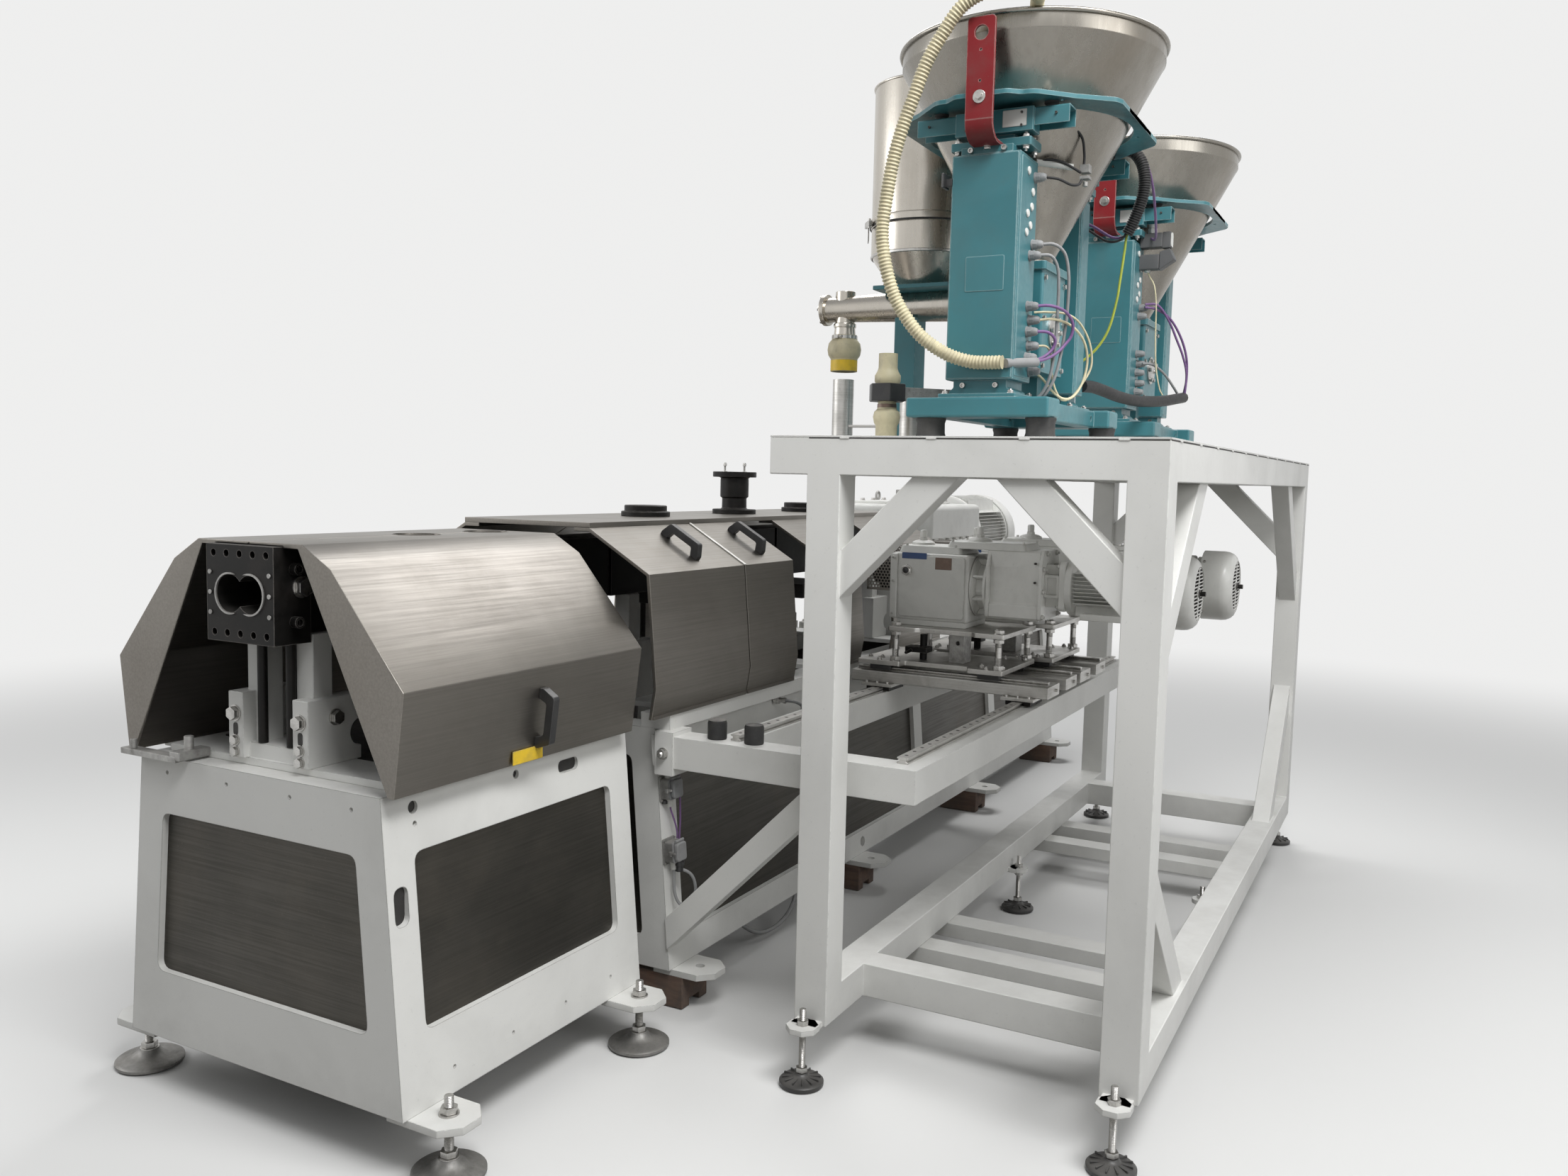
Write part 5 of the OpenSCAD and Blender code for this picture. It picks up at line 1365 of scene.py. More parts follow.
@dataclass
class SideFeeder:
    """One side feeder: carriage, stand, gearbox, reducer, motor and guard.

    Its pieces are modelled round x = 0 and moved to their place on the table.
    """

    number: int
    x: float
    back: float
    floor: float = 1.134
    axis: float = 1.311
    rail: float = 0.15
    face: float = -0.776
    glass: float = 1.344

    def build(self, bench: Bench) -> None:
        """Builds the side feeder.

        Args:
            bench: The modelling bench.
        """
        self._carriage(bench)
        self._stand(bench)
        self._gearbox(bench)
        self._sight(bench)
        self._reducer(bench)
        self._motor(bench)
        self._guard(bench)

    def _done(self, bench: Bench, things: Sequence[Thing], name: str, finish: Finish,
            nodes: Sequence[str] = ()) -> None:
        """Moves what was modelled round x = 0 to the feeder's place and finishes it.

        Args:
            bench: The modelling bench.
            things: Meshes that become one piece.
            name: The piece's name without the feeder's.
            finish: Its finish.
            nodes: CAD nodes that it replaces, without the feeder's number.
        """
        made = bench.join(list(things))
        made.data.transform(spot(self.x, -self.back, 0))
        bench.finish(made, f"side_{self.number}_{name}", finish, f"side_feeder_{self.number}",
            [f"{node}_{self.number}" for node in nodes], 35.0)

    def _carriage(self, bench: Bench) -> None:
        """Bearing plates with their bolts and the two cross beams with polished rails.

        Args:
            bench: The modelling bench.
        """
        body = f"side_carriage_{self.number}"
        beams, plates, rails, bolts, blocks = [], [], [], [], []
        for s in SIDES:
            x0 = min(s * 0.195, s * 0.045) + self.x
            beam = bench.slab(rounded((x0, 0.914), (x0 + 0.15, 0.957), 0.004, 2), "y", -1.36, -0.59)
            beams.append(bench.round(beam, 0.002))
            x = self.x + s * self.rail
            rails.append(bench.slab([(x - 0.012, 0.957), (x + 0.012, 0.957), (x + 0.012, 0.96),
                (x + 0.007, 0.963), (x + 0.012, 0.966), (x + 0.012, 0.9705), (x - 0.012, 0.9705),
                (x - 0.012, 0.966), (x - 0.007, 0.963), (x - 0.012, 0.96)], "y", -1.35, -0.6, 0.0006))
            for y in GUIDE_LINES:
                low = self.x + s * 0.125 - 0.098
                plates.append(bench.block((low, y - 0.062, 0.9025), (low + 0.172, y + 0.062, 0.9145), 0.002))
                for side in SIDES:
                    blocks.append(bench.block((low + 0.016, y + side * 0.034 - 0.0135, 0.8845),
                        (low + 0.156, y + side * 0.034 + 0.0135, 0.903), 0.002))
                bolts += [spot(low + 0.0075, y + v, 0.9145) for v in (-0.042, 0.0, 0.042)]
        bolts += [facing((self.x + s * 0.12, -1.36, 0.936), (0, -1, 0)) for s in (-0.8, 1.2)]
        bench.finish(beams, body + "_beams", ALUMINIUM, body, [body])
        bench.finish(plates, body + "_bearing_plates", ALUMINIUM, body)
        bench.finish(blocks, body + "_bearing_blocks", BLACK_STEEL, body)
        bench.finish(rails, body + "_rails", BRIGHT, body)
        bench.finish(bench.placed(bench.socket_bolt(0.008), bolts), body + "_bolts", BRIGHT, body)

    def _stand(self, bench: Bench) -> None:
        """Shoes, both plates, threaded columns with nuts and the bracket block.

        Args:
            bench: The modelling bench.
        """
        low = rounded_outline(mm([(-200, -1190), (200, -1190), (200, -1055), (160, -1045), (160, -795),
            (200, -785), (200, -615), (-200, -615), (-200, -785), (-160, -795), (-160, -1045),
            (-200, -1055)]), 0.006, 3)
        plate = bench.slab(low, "z", 0.983, 1.001)
        bench.cut(plate, [bench.rod((0.02, -0.95, 0.97), (0.02, -0.95, 1.02), 0.022)])
        bench.round(plate, 0.0018)
        top = rounded_outline(mm([(-200, -1192), (200, -1192), (200, -1080), (186, -1066), (186, -860),
            (200, -846), (200, -735), (-200, -735), (-200, -846), (-186, -860), (-186, -1066),
            (-200, -1080)]), 0.01, 3)
        upper = bench.slab(top, "z", 1.116, 1.134, 0.0025)
        self._done(bench, [plate, upper], "plates", ALUMINIUM, ["side_stand"])
        shoes = [bench.block((s * self.rail - 0.03, y - 0.042, 0.9615),
            (s * self.rail + 0.03, y + 0.042, 0.9835), 0.003) for s in SIDES for y in (-1.13, -0.7)]
        rail = [bench.block((s * self.rail - 0.0128, -1.175, 0.96), (s * self.rail + 0.0128, -0.655, 0.9712))
            for s in SIDES]
        self._done(bench, [bench.cut(bench.join(shoes), [bench.join(rail)])], "shoes", BLACK_PLASTIC)
        spots = [(s * 0.175, y) for s in SIDES for y in (-1.165, -0.76)]
        column = bench.rod((0, 0, 1.001), (0, 0, 1.116), 0.0115, sides=20)
        screws = bench.join([column, bench.thread(0.013, 1.002, 1.046), bench.thread(0.013, 1.084, 1.152)])
        nut = bench.join([bench.rod((0, 0, z), (0, 0, z + h), r, sides=n, bevel=0.0015)
            for z, h, r, n in ((1.0, 0.003, 0.022, 24), (1.003, 0.015, 0.0205, 6), (1.1, 0.013, 0.0205, 6),
            (1.1132, 0.003, 0.022, 24), (1.1338, 0.003, 0.022, 24), (1.1365, 0.012, 0.0205, 6))])
        self._done(bench, [bench.placed(bench.join([screws, nut]), [spot(x, y, 0) for x, y in spots])],
            "lift_columns", BRIGHT)
        corners = [spot(s * x, y, 1.001) for s in SIDES for x, y in mm(((188, -1125), (135, -1170),
            (135, -1090), (186, -700), (132, -690), (132, -640)))]
        self._done(bench, [bench.placed(bench.hex_bolt(0.01, 0.004), corners)], "plate_bolts", BRIGHT)
        block = bench.block((-0.11, -1.01, 1.001), (-0.03, -0.95, 1.1165), 0.003)
        bench.cut(block, [bench.rod((-0.115, -0.985, 1.078), (-0.08, -0.985, 1.078), 0.0085, sides=18)])
        self._done(bench, [block], "bracket_block", GREY_STEEL)
        lever = [bench.rod((-0.17, -0.8, 1.034), (-0.05, -0.8, 1.04), 0.006, sides=14, bevel=0.001),
            bench.rod((-0.09, -0.84, 1.001), (-0.09, -0.84, 1.1), 0.014, sides=20, bevel=0.002),
            bench.block((-0.12, -0.865, 1.03), (-0.06, -0.775, 1.052), 0.003)]
        self._done(bench, lever, "lock_lever", BLACK_STEEL)

    def _gearbox(self, bench: Bench) -> None:
        """The gearbox with cover plates, lids, breather and the cast round flange.

        Args:
            bench: The modelling bench.
        """
        z = self.floor
        parts = [bench.block((-0.116, -1.012, z), (0.116, -0.736, z + 0.023), 0.004),
            bench.block((-0.12, -1.02, z + 0.02), (0.12, -0.712, z + 0.276), 0.01, 3),
            bench.block((-0.126, -0.737, z + 0.024), (0.126, -0.706, z + 0.272), 0.006, 3)]
        for s in SIDES:
            face = bench.slab(rounded((-1.006, z + 0.034), (-0.744, z + 0.266), 0.012), "x", s * 0.118,
                s * 0.1255)
            parts.append(bench.round(face, 0.0022, 2))
        parts.append(self._lid(bench, -0.985, -0.73, 1.408, 1.438, 0.104))
        parts.append(self._lid(bench, -1.232, -0.918, 1.432, 1.46, 0.094))
        ring = mm([(0, 0), (112, 0), (116, 4), (116, 12), (104, 16), (92, 22), (88, 46), (104, 50), (114, 53),
            (114, 64), (0, 64)])
        parts.append(bench.lathe(ring, (0, -1.019, self.axis - 0.02), "-y", 48))
        rib = bench.block((-0.005, 0.0, 0.084), (0.005, 0.062, 0.113), 0.002)
        ribs = [spot(0, -1.082, self.axis - 0.02) @ Matrix.Rotation(a, 4, "Y") for a in angles(8, 0.5)]
        parts.append(bench.placed(rib, ribs))
        dome = mm([(0, 0), (46, 0), (44, 8), (32, 14), (20, 17), (0, 17)])
        for y, h in ((-0.79, 1.438), (-1.02, 1.459)):
            parts.append(bench.lathe(dome, (0, y, h), "z", 32))
        self._done(bench, parts, "gearbox_housing", MACHINE, ["side_gearbox"])
        plug = bench.join([bench.rod((0, 0, 0.0), (0, 0, 0.01), 0.017, sides=6, bevel=0.0015),
            bench.lathe(mm([(0, 0), (13.5, 0), (13.5, 24), (11, 30), (0, 31)]), (0, 0, 0.009), "z", 24)])
        bolts = [spot(s * 0.09, y, 1.4375) for s in SIDES for y in (-0.955, -0.76)]
        bolts += [spot(s * 0.08, y, 1.4595) for s in SIDES for y in (-1.215, -0.94)]
        bolts += [facing((s * 0.126, -0.7215, h), (s, 0, 0)) for s in SIDES for h in (1.175, 1.3, 1.39)]
        self._done(bench, [bench.placed(plug, [spot(0, -0.79, 1.454), spot(0, -1.02, 1.475)]),
            bench.placed(bench.socket_bolt(0.007), bolts)], "gearbox_fittings", MACHINE)
        rim = [facing((0.098 * math.cos(a), -1.084, self.axis - 0.02 + 0.098 * math.sin(a)), (0, -1, 0))
            for a in angles(8)]
        self._done(bench, [bench.placed(bench.hex_bolt(0.009), rim)], "flange_bolts", BRIGHT)

    @staticmethod
    def _lid(bench: Bench, y0: float, y1: float, low: float, high: float, half: float) -> Thing:
        """A cast lid with sloping, rounded sides.

        Args:
            bench: The modelling bench.
            y0: Its near end.
            y1: Its far end.
            low: Its lower edge.
            high: Its top.
            half: Half its width.

        Returns:
            The lid.
        """
        lid = bench.slab(rounded((-half, y0), (half, y1), 0.014), "z", low, high)
        for vertex in lid.data.vertices:
            if vertex.co.z > low + 1e-4:
                vertex.co.x *= 0.9
                vertex.co.y = (y0 + y1) / 2 + (vertex.co.y - (y0 + y1) / 2) * 0.93
        return bench.round(lid, 0.005, 3)

    def _sight(self, bench: Bench) -> None:
        """Oil sight glass and the two blank plates on the gearbox's face.

        Args:
            bench: The modelling bench.
        """
        hexagon = bench.rod((-0.1245, self.face, self.glass), (-0.132, self.face, self.glass), 0.0225,
            sides=6, bevel=0.0012)
        ring = bench.lathe(mm([(11.5, 0), (17.5, 0), (17.5, 5), (15, 8), (12.5, 8), (11.5, 4)]),
            (-0.1315, self.face, self.glass), "-x", 32)
        self._done(bench, [hexagon, ring], "sight_ring", BRIGHT)
        lens = bench.lathe(mm([(0, 0), (11.8, 0), (11.8, 3), (6, 4.5), (0, 5)]),
            (-0.1315, self.face, self.glass), "-x", 24)
        self._done(bench, [lens], "sight_lens", BLACK_PLASTIC)
        blue = bench.slab(rounded((-0.855, 1.388), (-0.755, 1.411), 0.002), "x", -0.125, -0.1268)
        self._done(bench, [bench.round(blue, 0.0003, 1)], "blue_plate", BLUE_PLATE)
        brown = bench.slab(rounded((-0.955, 1.352), (-0.89, 1.397), 0.002), "x", -0.125, -0.1268)
        self._done(bench, [bench.round(brown, 0.0003, 1)], "brown_plate", BROWN_PLATE)

    def _reducer(self, bench: Bench) -> None:
        """The reducer's cast housing, its lantern and flanges.

        Args:
            bench: The modelling bench.
        """
        half = mm([(94, 1180), (107, 1190), (107, 1234), (99, 1242), (99, 1374), (93, 1430), (84, 1436)])
        outline = half + [(-x, z) for x, z in reversed(half)]
        parts = [bench.slab(rounded_outline(outline, 0.0035, 2), "y", -1.284, -1.086, 0.002)]
        big = rounded_outline(mm([(-112, 1184), (112, 1184), (112, 1380), (86, 1440), (-86, 1440),
            (-112, 1380)]), 0.016, 4)
        parts += [bench.slab(big, "y", y, y + 0.014, 0.003) for y in (-1.297, -1.098)]
        neck = mm([(0, 0), (76, 0), (76, 6), (62, 14), (60, 46), (74, 54), (74, 60), (0, 60)])
        parts.append(bench.lathe(neck, (0, -1.295, self.axis), "-y", 40))
        for s in SIDES:
            web = bench.slab(rounded((-1.352, self.axis - 0.042), (-1.296, self.axis + 0.042), 0.006, 3), "x",
                s * 0.02, s * 0.082)
            hollow = bench.slab(rounded((-1.343, self.axis - 0.031), (-1.305, self.axis + 0.031), 0.004, 3),
                "x", s * 0.07, s * 0.09)
            parts.append(bench.round(bench.cut(web, [hollow]), 0.0018))
            parts += [bench.block((s * 0.052 - 0.006, -1.352, self.axis + v - 0.02),
                (s * 0.052 + 0.006, -1.296, self.axis + v + 0.02), 0.002) for v in (-0.058, 0.058)]
        plate = rounded((-0.09, 1.221), (0.09, 1.401), 0.022)
        parts.append(bench.slab(plate, "y", -1.376, -1.353, 0.003))
        self._done(bench, parts, "reducer_housing", MACHINE, ["side_reducer"])
        bolts = [facing((s * x, -1.2975, z), (0, -1, 0)) for s in SIDES
            for x, z in mm(((100, 1197), (102, 1290), (100, 1372), (60, 1428)))]
        bolts += [facing((s * 0.074, -1.3525, self.axis + v), (0, 1, 0)) for s in SIDES
            for v in (-0.074, 0.074)]
        self._done(bench, [bench.placed(bench.hex_bolt(0.01, 0.006), bolts)], "reducer_bolts", MACHINE)
        screw = [facing((-0.0995, -1.268, 1.322), (-1, 0, 0)), facing((-0.0995, -1.268, 1.392), (-1, 0, 0))]
        self._done(bench, [bench.placed(bench.socket_bolt(0.006), screw)], "reducer_screws", BLACK_STEEL)

    def _motor(self, bench: Bench) -> None:
        """The finned motor, its terminal box, fan cowl with painted shade inside it, and shaft stub.

        Args:
            bench: The modelling bench.
        """
        z = self.axis
        body = mm([(0, 0), (104, 0), (108, 4), (108, 26), (92, 32), (88, 36), (88, 300), (98, 306),
            (106, 312), (106, 336), (0, 336)])
        parts = [bench.lathe(body, (0, -1.375, z), "-y", 48)]
        parts.append(motor_fins(bench, 0.086, 0.11, 0.262, 0.0135, 9))
        parts[-1].data.transform(spot(0, -1.409, z))
        cowl = mm([(126, 0), (131, 0), (131, 72), (129, 88), (122, 103), (112, 113), (98, 119), (95, 119.5),
            (95, 114), (110, 108), (120, 96), (126, 80)])
        parts.append(bench.lathe(cowl, (0, -1.708, z), "-y", 56))
        parts += fan_grill(bench, (0, -1.8255, z), 0.096, 0.0125)
        box = bench.slab(rounded((-0.062, -1.566), (0.062, -1.412), 0.012), "z", z + 0.08, z + 0.14, 0.003)
        lid = bench.slab(rounded((-0.066, -1.57), (0.066, -1.408), 0.014), "z", z + 0.14, z + 0.158, 0.005, 3)
        feet = [bench.block((s * 0.094 - 0.022, -1.68, z - 0.112), (s * 0.094 + 0.022, -1.44, z - 0.088),
            0.004) for s in SIDES]
        self._done(bench, [*parts, box, lid, *feet], "motor_housing", MACHINE, ["side_motor"])
        # Painted shade: a dark disc inside the fan cowl, behind the grill.
        dark = bench.lathe(mm([(0, 0), (122, 0), (122, 3), (0, 3)]), (0, -1.8, z), "-y", 40)
        self._done(bench, [dark], "fan_cowl_shade", PAINTED_SHADE)
        stub = bench.join([bench.rod((0, -1.8, z), (0, -1.85, z), 0.0085, sides=20, bevel=0.001),
            bench.rod((0, -1.8235, z), (0, -1.8305, z), 0.015, sides=20, bevel=0.001)])
        gland = bench.join([bench.rod((-0.061, -1.49, z + 0.11), (-0.074, -1.49, z + 0.11), 0.014, sides=6,
            bevel=0.001), bench.rod((-0.074, -1.49, z + 0.11), (-0.086, -1.49, z + 0.11), 0.011, sides=20,
            bevel=0.002)])
        self._done(bench, [stub, gland], "motor_stub", BLACK_STEEL)
        screws = [spot(s * 0.054, y, z + 0.1575) for s in SIDES for y in (-1.556, -1.422)]
        screws += [facing((0.1312 * math.cos(a), -1.722, z + 0.1312 * math.sin(a)),
            (math.cos(a), 0, math.sin(a))) for a in angles(4, 0.5)]
        self._done(bench, [bench.placed(bench.socket_bolt(0.006), screws)], "motor_screws", BRIGHT)

    def _guard(self, bench: Bench) -> None:
        """The perforated guard between gearbox and barrel.

        Args:
            bench: The modelling bench.
        """
        low, high = 1.262, 1.43
        sheet = honeycomb(bench, 0.106, high - low - 0.006, 0.0132, 0.0052)
        sides = [spot(s * 0.0945, -0.654, (low + high) / 2) @ Matrix.Rotation(math.pi / 2, 4, "Z")
            @ Matrix.Rotation(math.pi / 2, 4, "X") for s in SIDES]
        top = honeycomb(bench, 0.18, 0.106, 0.0132, 0.0052)
        cover = bench.placed(top, [spot(0, -0.654, high - 0.001)])
        rims = []
        for s in SIDES:
            x0, x1 = min(s * 0.0965, s * 0.0935), max(s * 0.0965, s * 0.0935)
            rims += [bench.block((x0, -0.712, low), (x1, -0.703, high)),
                bench.block((x0, -0.605, low), (x1, -0.598, high)),
                bench.block((x0, -0.712, low - 0.004), (x1, -0.598, low + 0.006)),
                bench.block((x0, -0.712, high - 0.006), (x1, -0.598, high + 0.001))]
        rims += [bench.block((-0.096, y - 0.004, high - 0.0025), (0.096, y + 0.004, high + 0.0012))
            for y in (-0.707, -0.602)]
        self._done(bench, [bench.placed(sheet, sides), cover, *rims], "guard_mesh", HOOD, ["side_guard"])
        inside = [bench.rod((0, -0.712, 1.33), (0, -0.6, 1.33), 0.052, sides=32, bevel=0.002),
            bench.block((-0.07, -0.712, 1.262), (0.07, -0.64, 1.29), 0.003)]
        self._done(bench, inside, "guard_coupling", BLACK_STEEL)


def honeycomb(bench: Bench, wide: float, high: float, pitch: float, hole: float) -> Thing:
    """A perforated sheet round the origin, in the xy plane.

    Args:
        bench: The modelling bench.
        wide: Its size along x.
        high: Its size along y.
        pitch: Distance from hole to hole.
        hole: Radius of the holes.

    Returns:
        The sheet.
    """
    reach, thick = pitch / math.sqrt(3), 0.0006
    cell = bench.lathe([(hole, -thick), (reach, -thick), (reach, thick), (hole, thick)], (0, 0, 0), "z", 6)
    cell.data.transform(Matrix.Rotation(math.radians(30), 4, "Z"))
    rows, columns = int(high / (pitch * 0.866)), int(wide / pitch)
    places = [spot((i + 0.5 * (j % 2) - 0.25 - (columns - 1) / 2) * pitch,
        (j - (rows - 1) / 2) * pitch * 0.866, 0) for j in range(rows) for i in range(columns)]
    return bench.placed(cell, places)


def motor_fins(bench: Bench, core: float, tip: float, length: float, pitch: float, count: int) -> Thing:
    """Cooling fins of a motor along -y from the origin: flat to the sides, upright at top and bottom.

    Args:
        bench: The modelling bench.
        core: Radius of the motor's core.
        tip: Radius at the fins' tips.
        length: Length of the fins.
        pitch: Distance from fin to fin.
        count: Fins on each of the four sides.

    Returns:
        All fins as one mesh.
    """
    fins = []
    for k in range(count):
        v = (k - (count - 1) / 2) * pitch
        inner, outer = math.sqrt(max(core ** 2 - v ** 2, 0.0)) - 0.006, math.sqrt(tip ** 2 - v ** 2 * 0.55)
        fin = bench.slab([(inner, v - 0.0022), (outer, v - 0.0013), (outer, v + 0.0013), (inner, v + 0.0022)],
            "y", -length, 0.0, 0.0006, 1)
        fins.append(fin)
    one = bench.join(fins)
    return bench.placed(one, [Matrix.Rotation(math.pi / 2 * q, 4, "Y") for q in range(4)])


def fan_grill(bench: Bench, place: Triple, radius: float, pitch: float) -> list[Thing]:
    """Horizontal bars, a ring and an upright strip that close a fan cowl's end.

    Args:
        bench: The modelling bench.
        place: Middle of the grill, whose face is turned to -y.
        radius: Radius of the opening.
        pitch: Distance from bar to bar.

    Returns:
        The grill's parts.
    """
    x, y, z = place
    parts = []
    count = int(radius / pitch)
    for k in range(-count, count + 1):
        v = k * pitch
        half = math.sqrt(max(radius ** 2 - v ** 2, 1e-6))
        if half > 0.01:
            parts.append(bench.block((x - half, y, z + v - 0.0024), (x + half, y + 0.003, z + v + 0.0024),
                0.0006, 1))
    parts.append(bench.block((x - 0.006, y - 0.0008, z - radius), (x + 0.006, y + 0.0022, z + radius), 0.0006,
        1))
    parts.append(bench.lathe(mm([(0, 0), (24, 0), (24, 3), (18, 4), (0, 4)]), (x, y + 0.002, z), "-y", 24))
    return parts


# ---------------------------------------------------------------- dosing feeders


def smooth_line(route: Sequence[Triple], steps: int = 8) -> list[Vector]:
    """A smooth line through the points of a route.

    Args:
        route: The points.
        steps: Steps from point to point.

    Returns:
        The line's points.
    """
    knots = [Vector(p) for p in route]
    knots = [2 * knots[0] - knots[1], *knots, 2 * knots[-1] - knots[-2]]
    fine: list[Vector] = []
    for a, b, c, d in zip(knots, knots[1:], knots[2:], knots[3:]):
        for k in range(steps):
            t = k / steps
            fine.append(0.5 * (2 * b + (c - a) * t + (2 * a - 5 * b + 4 * c - d) * t ** 2
                + (3 * b - a - 3 * c + d) * t ** 3))
    fine.append(knots[-2])
    return fine


@dataclass(frozen=True)
class Lead:
    """A cable or plain hose that hangs between its two ends."""

    name: str
    finish: Finish
    radius: float
    route: tuple[Triple, ...]
    body: str = "machine"
    far_end: str = "object"
    stiffness: str = "medium"

    def build(self, bench: Bench) -> None:
        """Args:
            bench: The modelling bench.
        """
        line = smooth_line(self.route)
        tube = bench.pipe([tuple(p) for p in line], self.radius, 2 if self.radius < 0.005 else 4)
        bench.finish(tube, self.name, self.finish, self.body, angle=60.0)


@dataclass
class DosingFeeders:
    """The two teal feeders on the platform, modelled once round x = 0 and set down twice."""

    places: tuple[float, ...] = (1.44, 2.73)
    mid: float = -1.47
    deck: float = DECK_TOP
    base_top: float = 1.906
    column_top: float = 2.532
    columns: tuple[Pair, ...] = ((-0.355, 0.15), (0.245, 0.09))
    pads: Pair = (-0.28, 0.29)
    screw_axis: float = 2.112
    strap_x: float = -0.416
    side: float = -0.0948

    def build(self, bench: Bench) -> None:
        """Builds both feeders.

        Args:
            bench: The modelling bench.
        """
        self._base(bench)
        self._columns(bench)
        self._heads(bench)
        self._hopper(bench)
        self._screw(bench)
        self._strap(bench)
        self._sockets(bench)

    def _both(self, bench: Bench, things: Sequence[Thing], name: str, finish: Finish,
            nodes: Sequence[str] = (), angle: float = 35.0) -> None:
        """Sets what was modelled round x = 0 and y = 0 down for each feeder and finishes it.

        Args:
            bench: The modelling bench.
            things: Meshes that become one piece.
            name: The piece's name without the feeder's.
            finish: Its finish.
            nodes: CAD nodes that it replaces, where a star stands for each feeder's number.
            angle: Faces that meet at less than this are shaded smooth, in degrees.
        """
        made = bench.join(list(things))
        if any("*" in node for node in nodes):
            for i, x in enumerate(self.places, 1):
                one = bench.placed(self._twin(made), [spot(x, self.mid, 0)])
                bench.finish(one, f"dosing_{i}_{name}", finish,
                    stands_for=[n.replace("*", str(i)) for n in nodes], angle=angle)
            bpy.data.objects.remove(made)
            return
        bench.placed(made, [spot(x, self.mid, 0) for x in self.places])
        bench.finish(made, "dosing_" + name, finish, stands_for=list(nodes), angle=angle)

    @staticmethod
    def _twin(thing: Thing) -> Thing:
        """A second object with its own copy of the mesh.

        Args:
            thing: The object to copy.

        Returns:
            The copy.
        """
        twin = bpy.data.objects.new(thing.name + "_twin", thing.data.copy())
        bpy.context.scene.collection.objects.link(twin)
        return twin

    def _base(self, bench: Bench) -> None:
        """Rubber feet and the welded base with its open, drilled waist, pads and bolts.

        Args:
            bench: The modelling bench.
        """
        foot = bench.lathe(mm([(0, 0), (40, 0), (40.5, 5), (38, 14), (37.5, 40), (40.5, 49), (40, 54),
            (0, 54)]), (0, 0, self.deck), "z", 36)
        spots = [spot(s * 0.32, t * 0.152 - 0.01, 0) for s in SIDES for t in SIDES]
        self._both(bench, [bench.placed(foot, spots)], "rubber_feet", RUBBER, ["feeder_rubber_feet"])
        z0, z1 = self.deck + 0.054, self.base_top
        ends = [bench.block((min(s * 0.375, s * 0.265), -0.196, z0), (max(s * 0.375, s * 0.265), 0.196, z1),
            0.007, 3) for s in SIDES]
        waist = bench.block((-0.27, -0.15, z0 + 0.001), (0.27, 0.15, z1 - 0.002), 0.005, 3)
        mouths = [bench.slab(rounded((-0.255, -0.1), (0.255, 0.1), 0.008), "z", z0 - 0.01, z1 + 0.01),
            bench.rod((0.232, -0.2, z0 + 0.026), (0.232, 0.2, z0 + 0.026), 0.0085, sides=18)]
        bench.cut(waist, mouths)
        pads = [bench.slab(rounded((x - 0.09, -0.107), (x + 0.09, 0.107), 0.006), "z", z1 - 0.002, z1 + 0.01,
            0.0018) for x in self.pads]
        self._both(bench, [*ends, waist, *pads], "base_frame", TEAL, ["feeder_*_base"])
        bolts = [spot(x + a, b, z1 + 0.01) for x in self.pads for a in (-0.08, 0.08) for b in (-0.09, 0.09)]
        self._both(bench, [bench.placed(bench.hex_bolt(0.009, 0.003), bolts)], "base_bolts", BRIGHT)

    def _columns(self, bench: Bench) -> None:
        """The square columns with cover sheets, folded edges and rounded necks.

        Args:
            bench: The modelling bench.
        """
        z0, z1 = self.base_top + 0.046, self.column_top
        parts = []
        for xa, deep in self.columns:
            parts.append(bench.block((xa, -0.093, z0), (xa + deep, 0.093, z1), 0.004, 2))
            cover = bench.slab(rounded((-0.088, z0 + 0.004), (0.0895, z1 - 0.004), 0.003, 2), "x", xa
                - 0.0022, xa + 0.002)
            parts.append(bench.round(cover, 0.0009, 1))
            lip = bench.slab(rounded((xa + 0.012, z0 + 0.01), (xa + deep - 0.012, z1 - 0.01), 0.003, 2), "y",
                -0.0948, -0.09)
            parts.append(bench.round(lip, 0.0008, 1))
            neck = rounded_outline([(-0.084, z0 - 0.037), (0.084, z0 - 0.037), (0.084, z0 - 0.028),
                (0.073, z0 - 0.02), (0.073, z0 + 0.001), (-0.073, z0 + 0.001), (-0.073, z0 - 0.02),
                (-0.084, z0 - 0.028)], [0.001, 0.001, 0.004, 0.008, 0.0005, 0.0005, 0.008, 0.004], 3)
            parts.append(bench.slab(neck, "x", xa + 0.012, xa + deep - 0.01, 0.0015))
            head = rounded_outline([(-0.07, z1 - 0.001), (0.07, z1 - 0.001), (0.07, z1 + 0.019),
                (-0.07, z1 + 0.019)], 0.002, 2)
            parts.append(bench.slab(head, "x", xa + 0.004, xa + deep - 0.02, 0.0015))
        self._both(bench, parts, "columns", TEAL, ["feeder_*_stand"])
        bolts = [facing((xa + 0.0117, v, z0 - 0.014), (-1, 0, 0)) for xa, _ in self.columns
            for v in (-0.045, 0.045)]
        bolts += [facing((xa + 0.0037, v, z1 + 0.009), (-1, 0, 0)) for xa, _ in self.columns
            for v in (-0.048, 0.042)]
        self._both(bench, [bench.placed(bench.socket_bolt(0.01), bolts)], "column_bolts", BRIGHT)
        plate = bench.slab(rounded((-0.06, 2.18), (0.045, 2.27), 0.004, 2), "x", -0.3585, -0.3568)
        self._both(bench, [bench.round(plate, 0.0004, 1)], "bare_plate", TEAL)

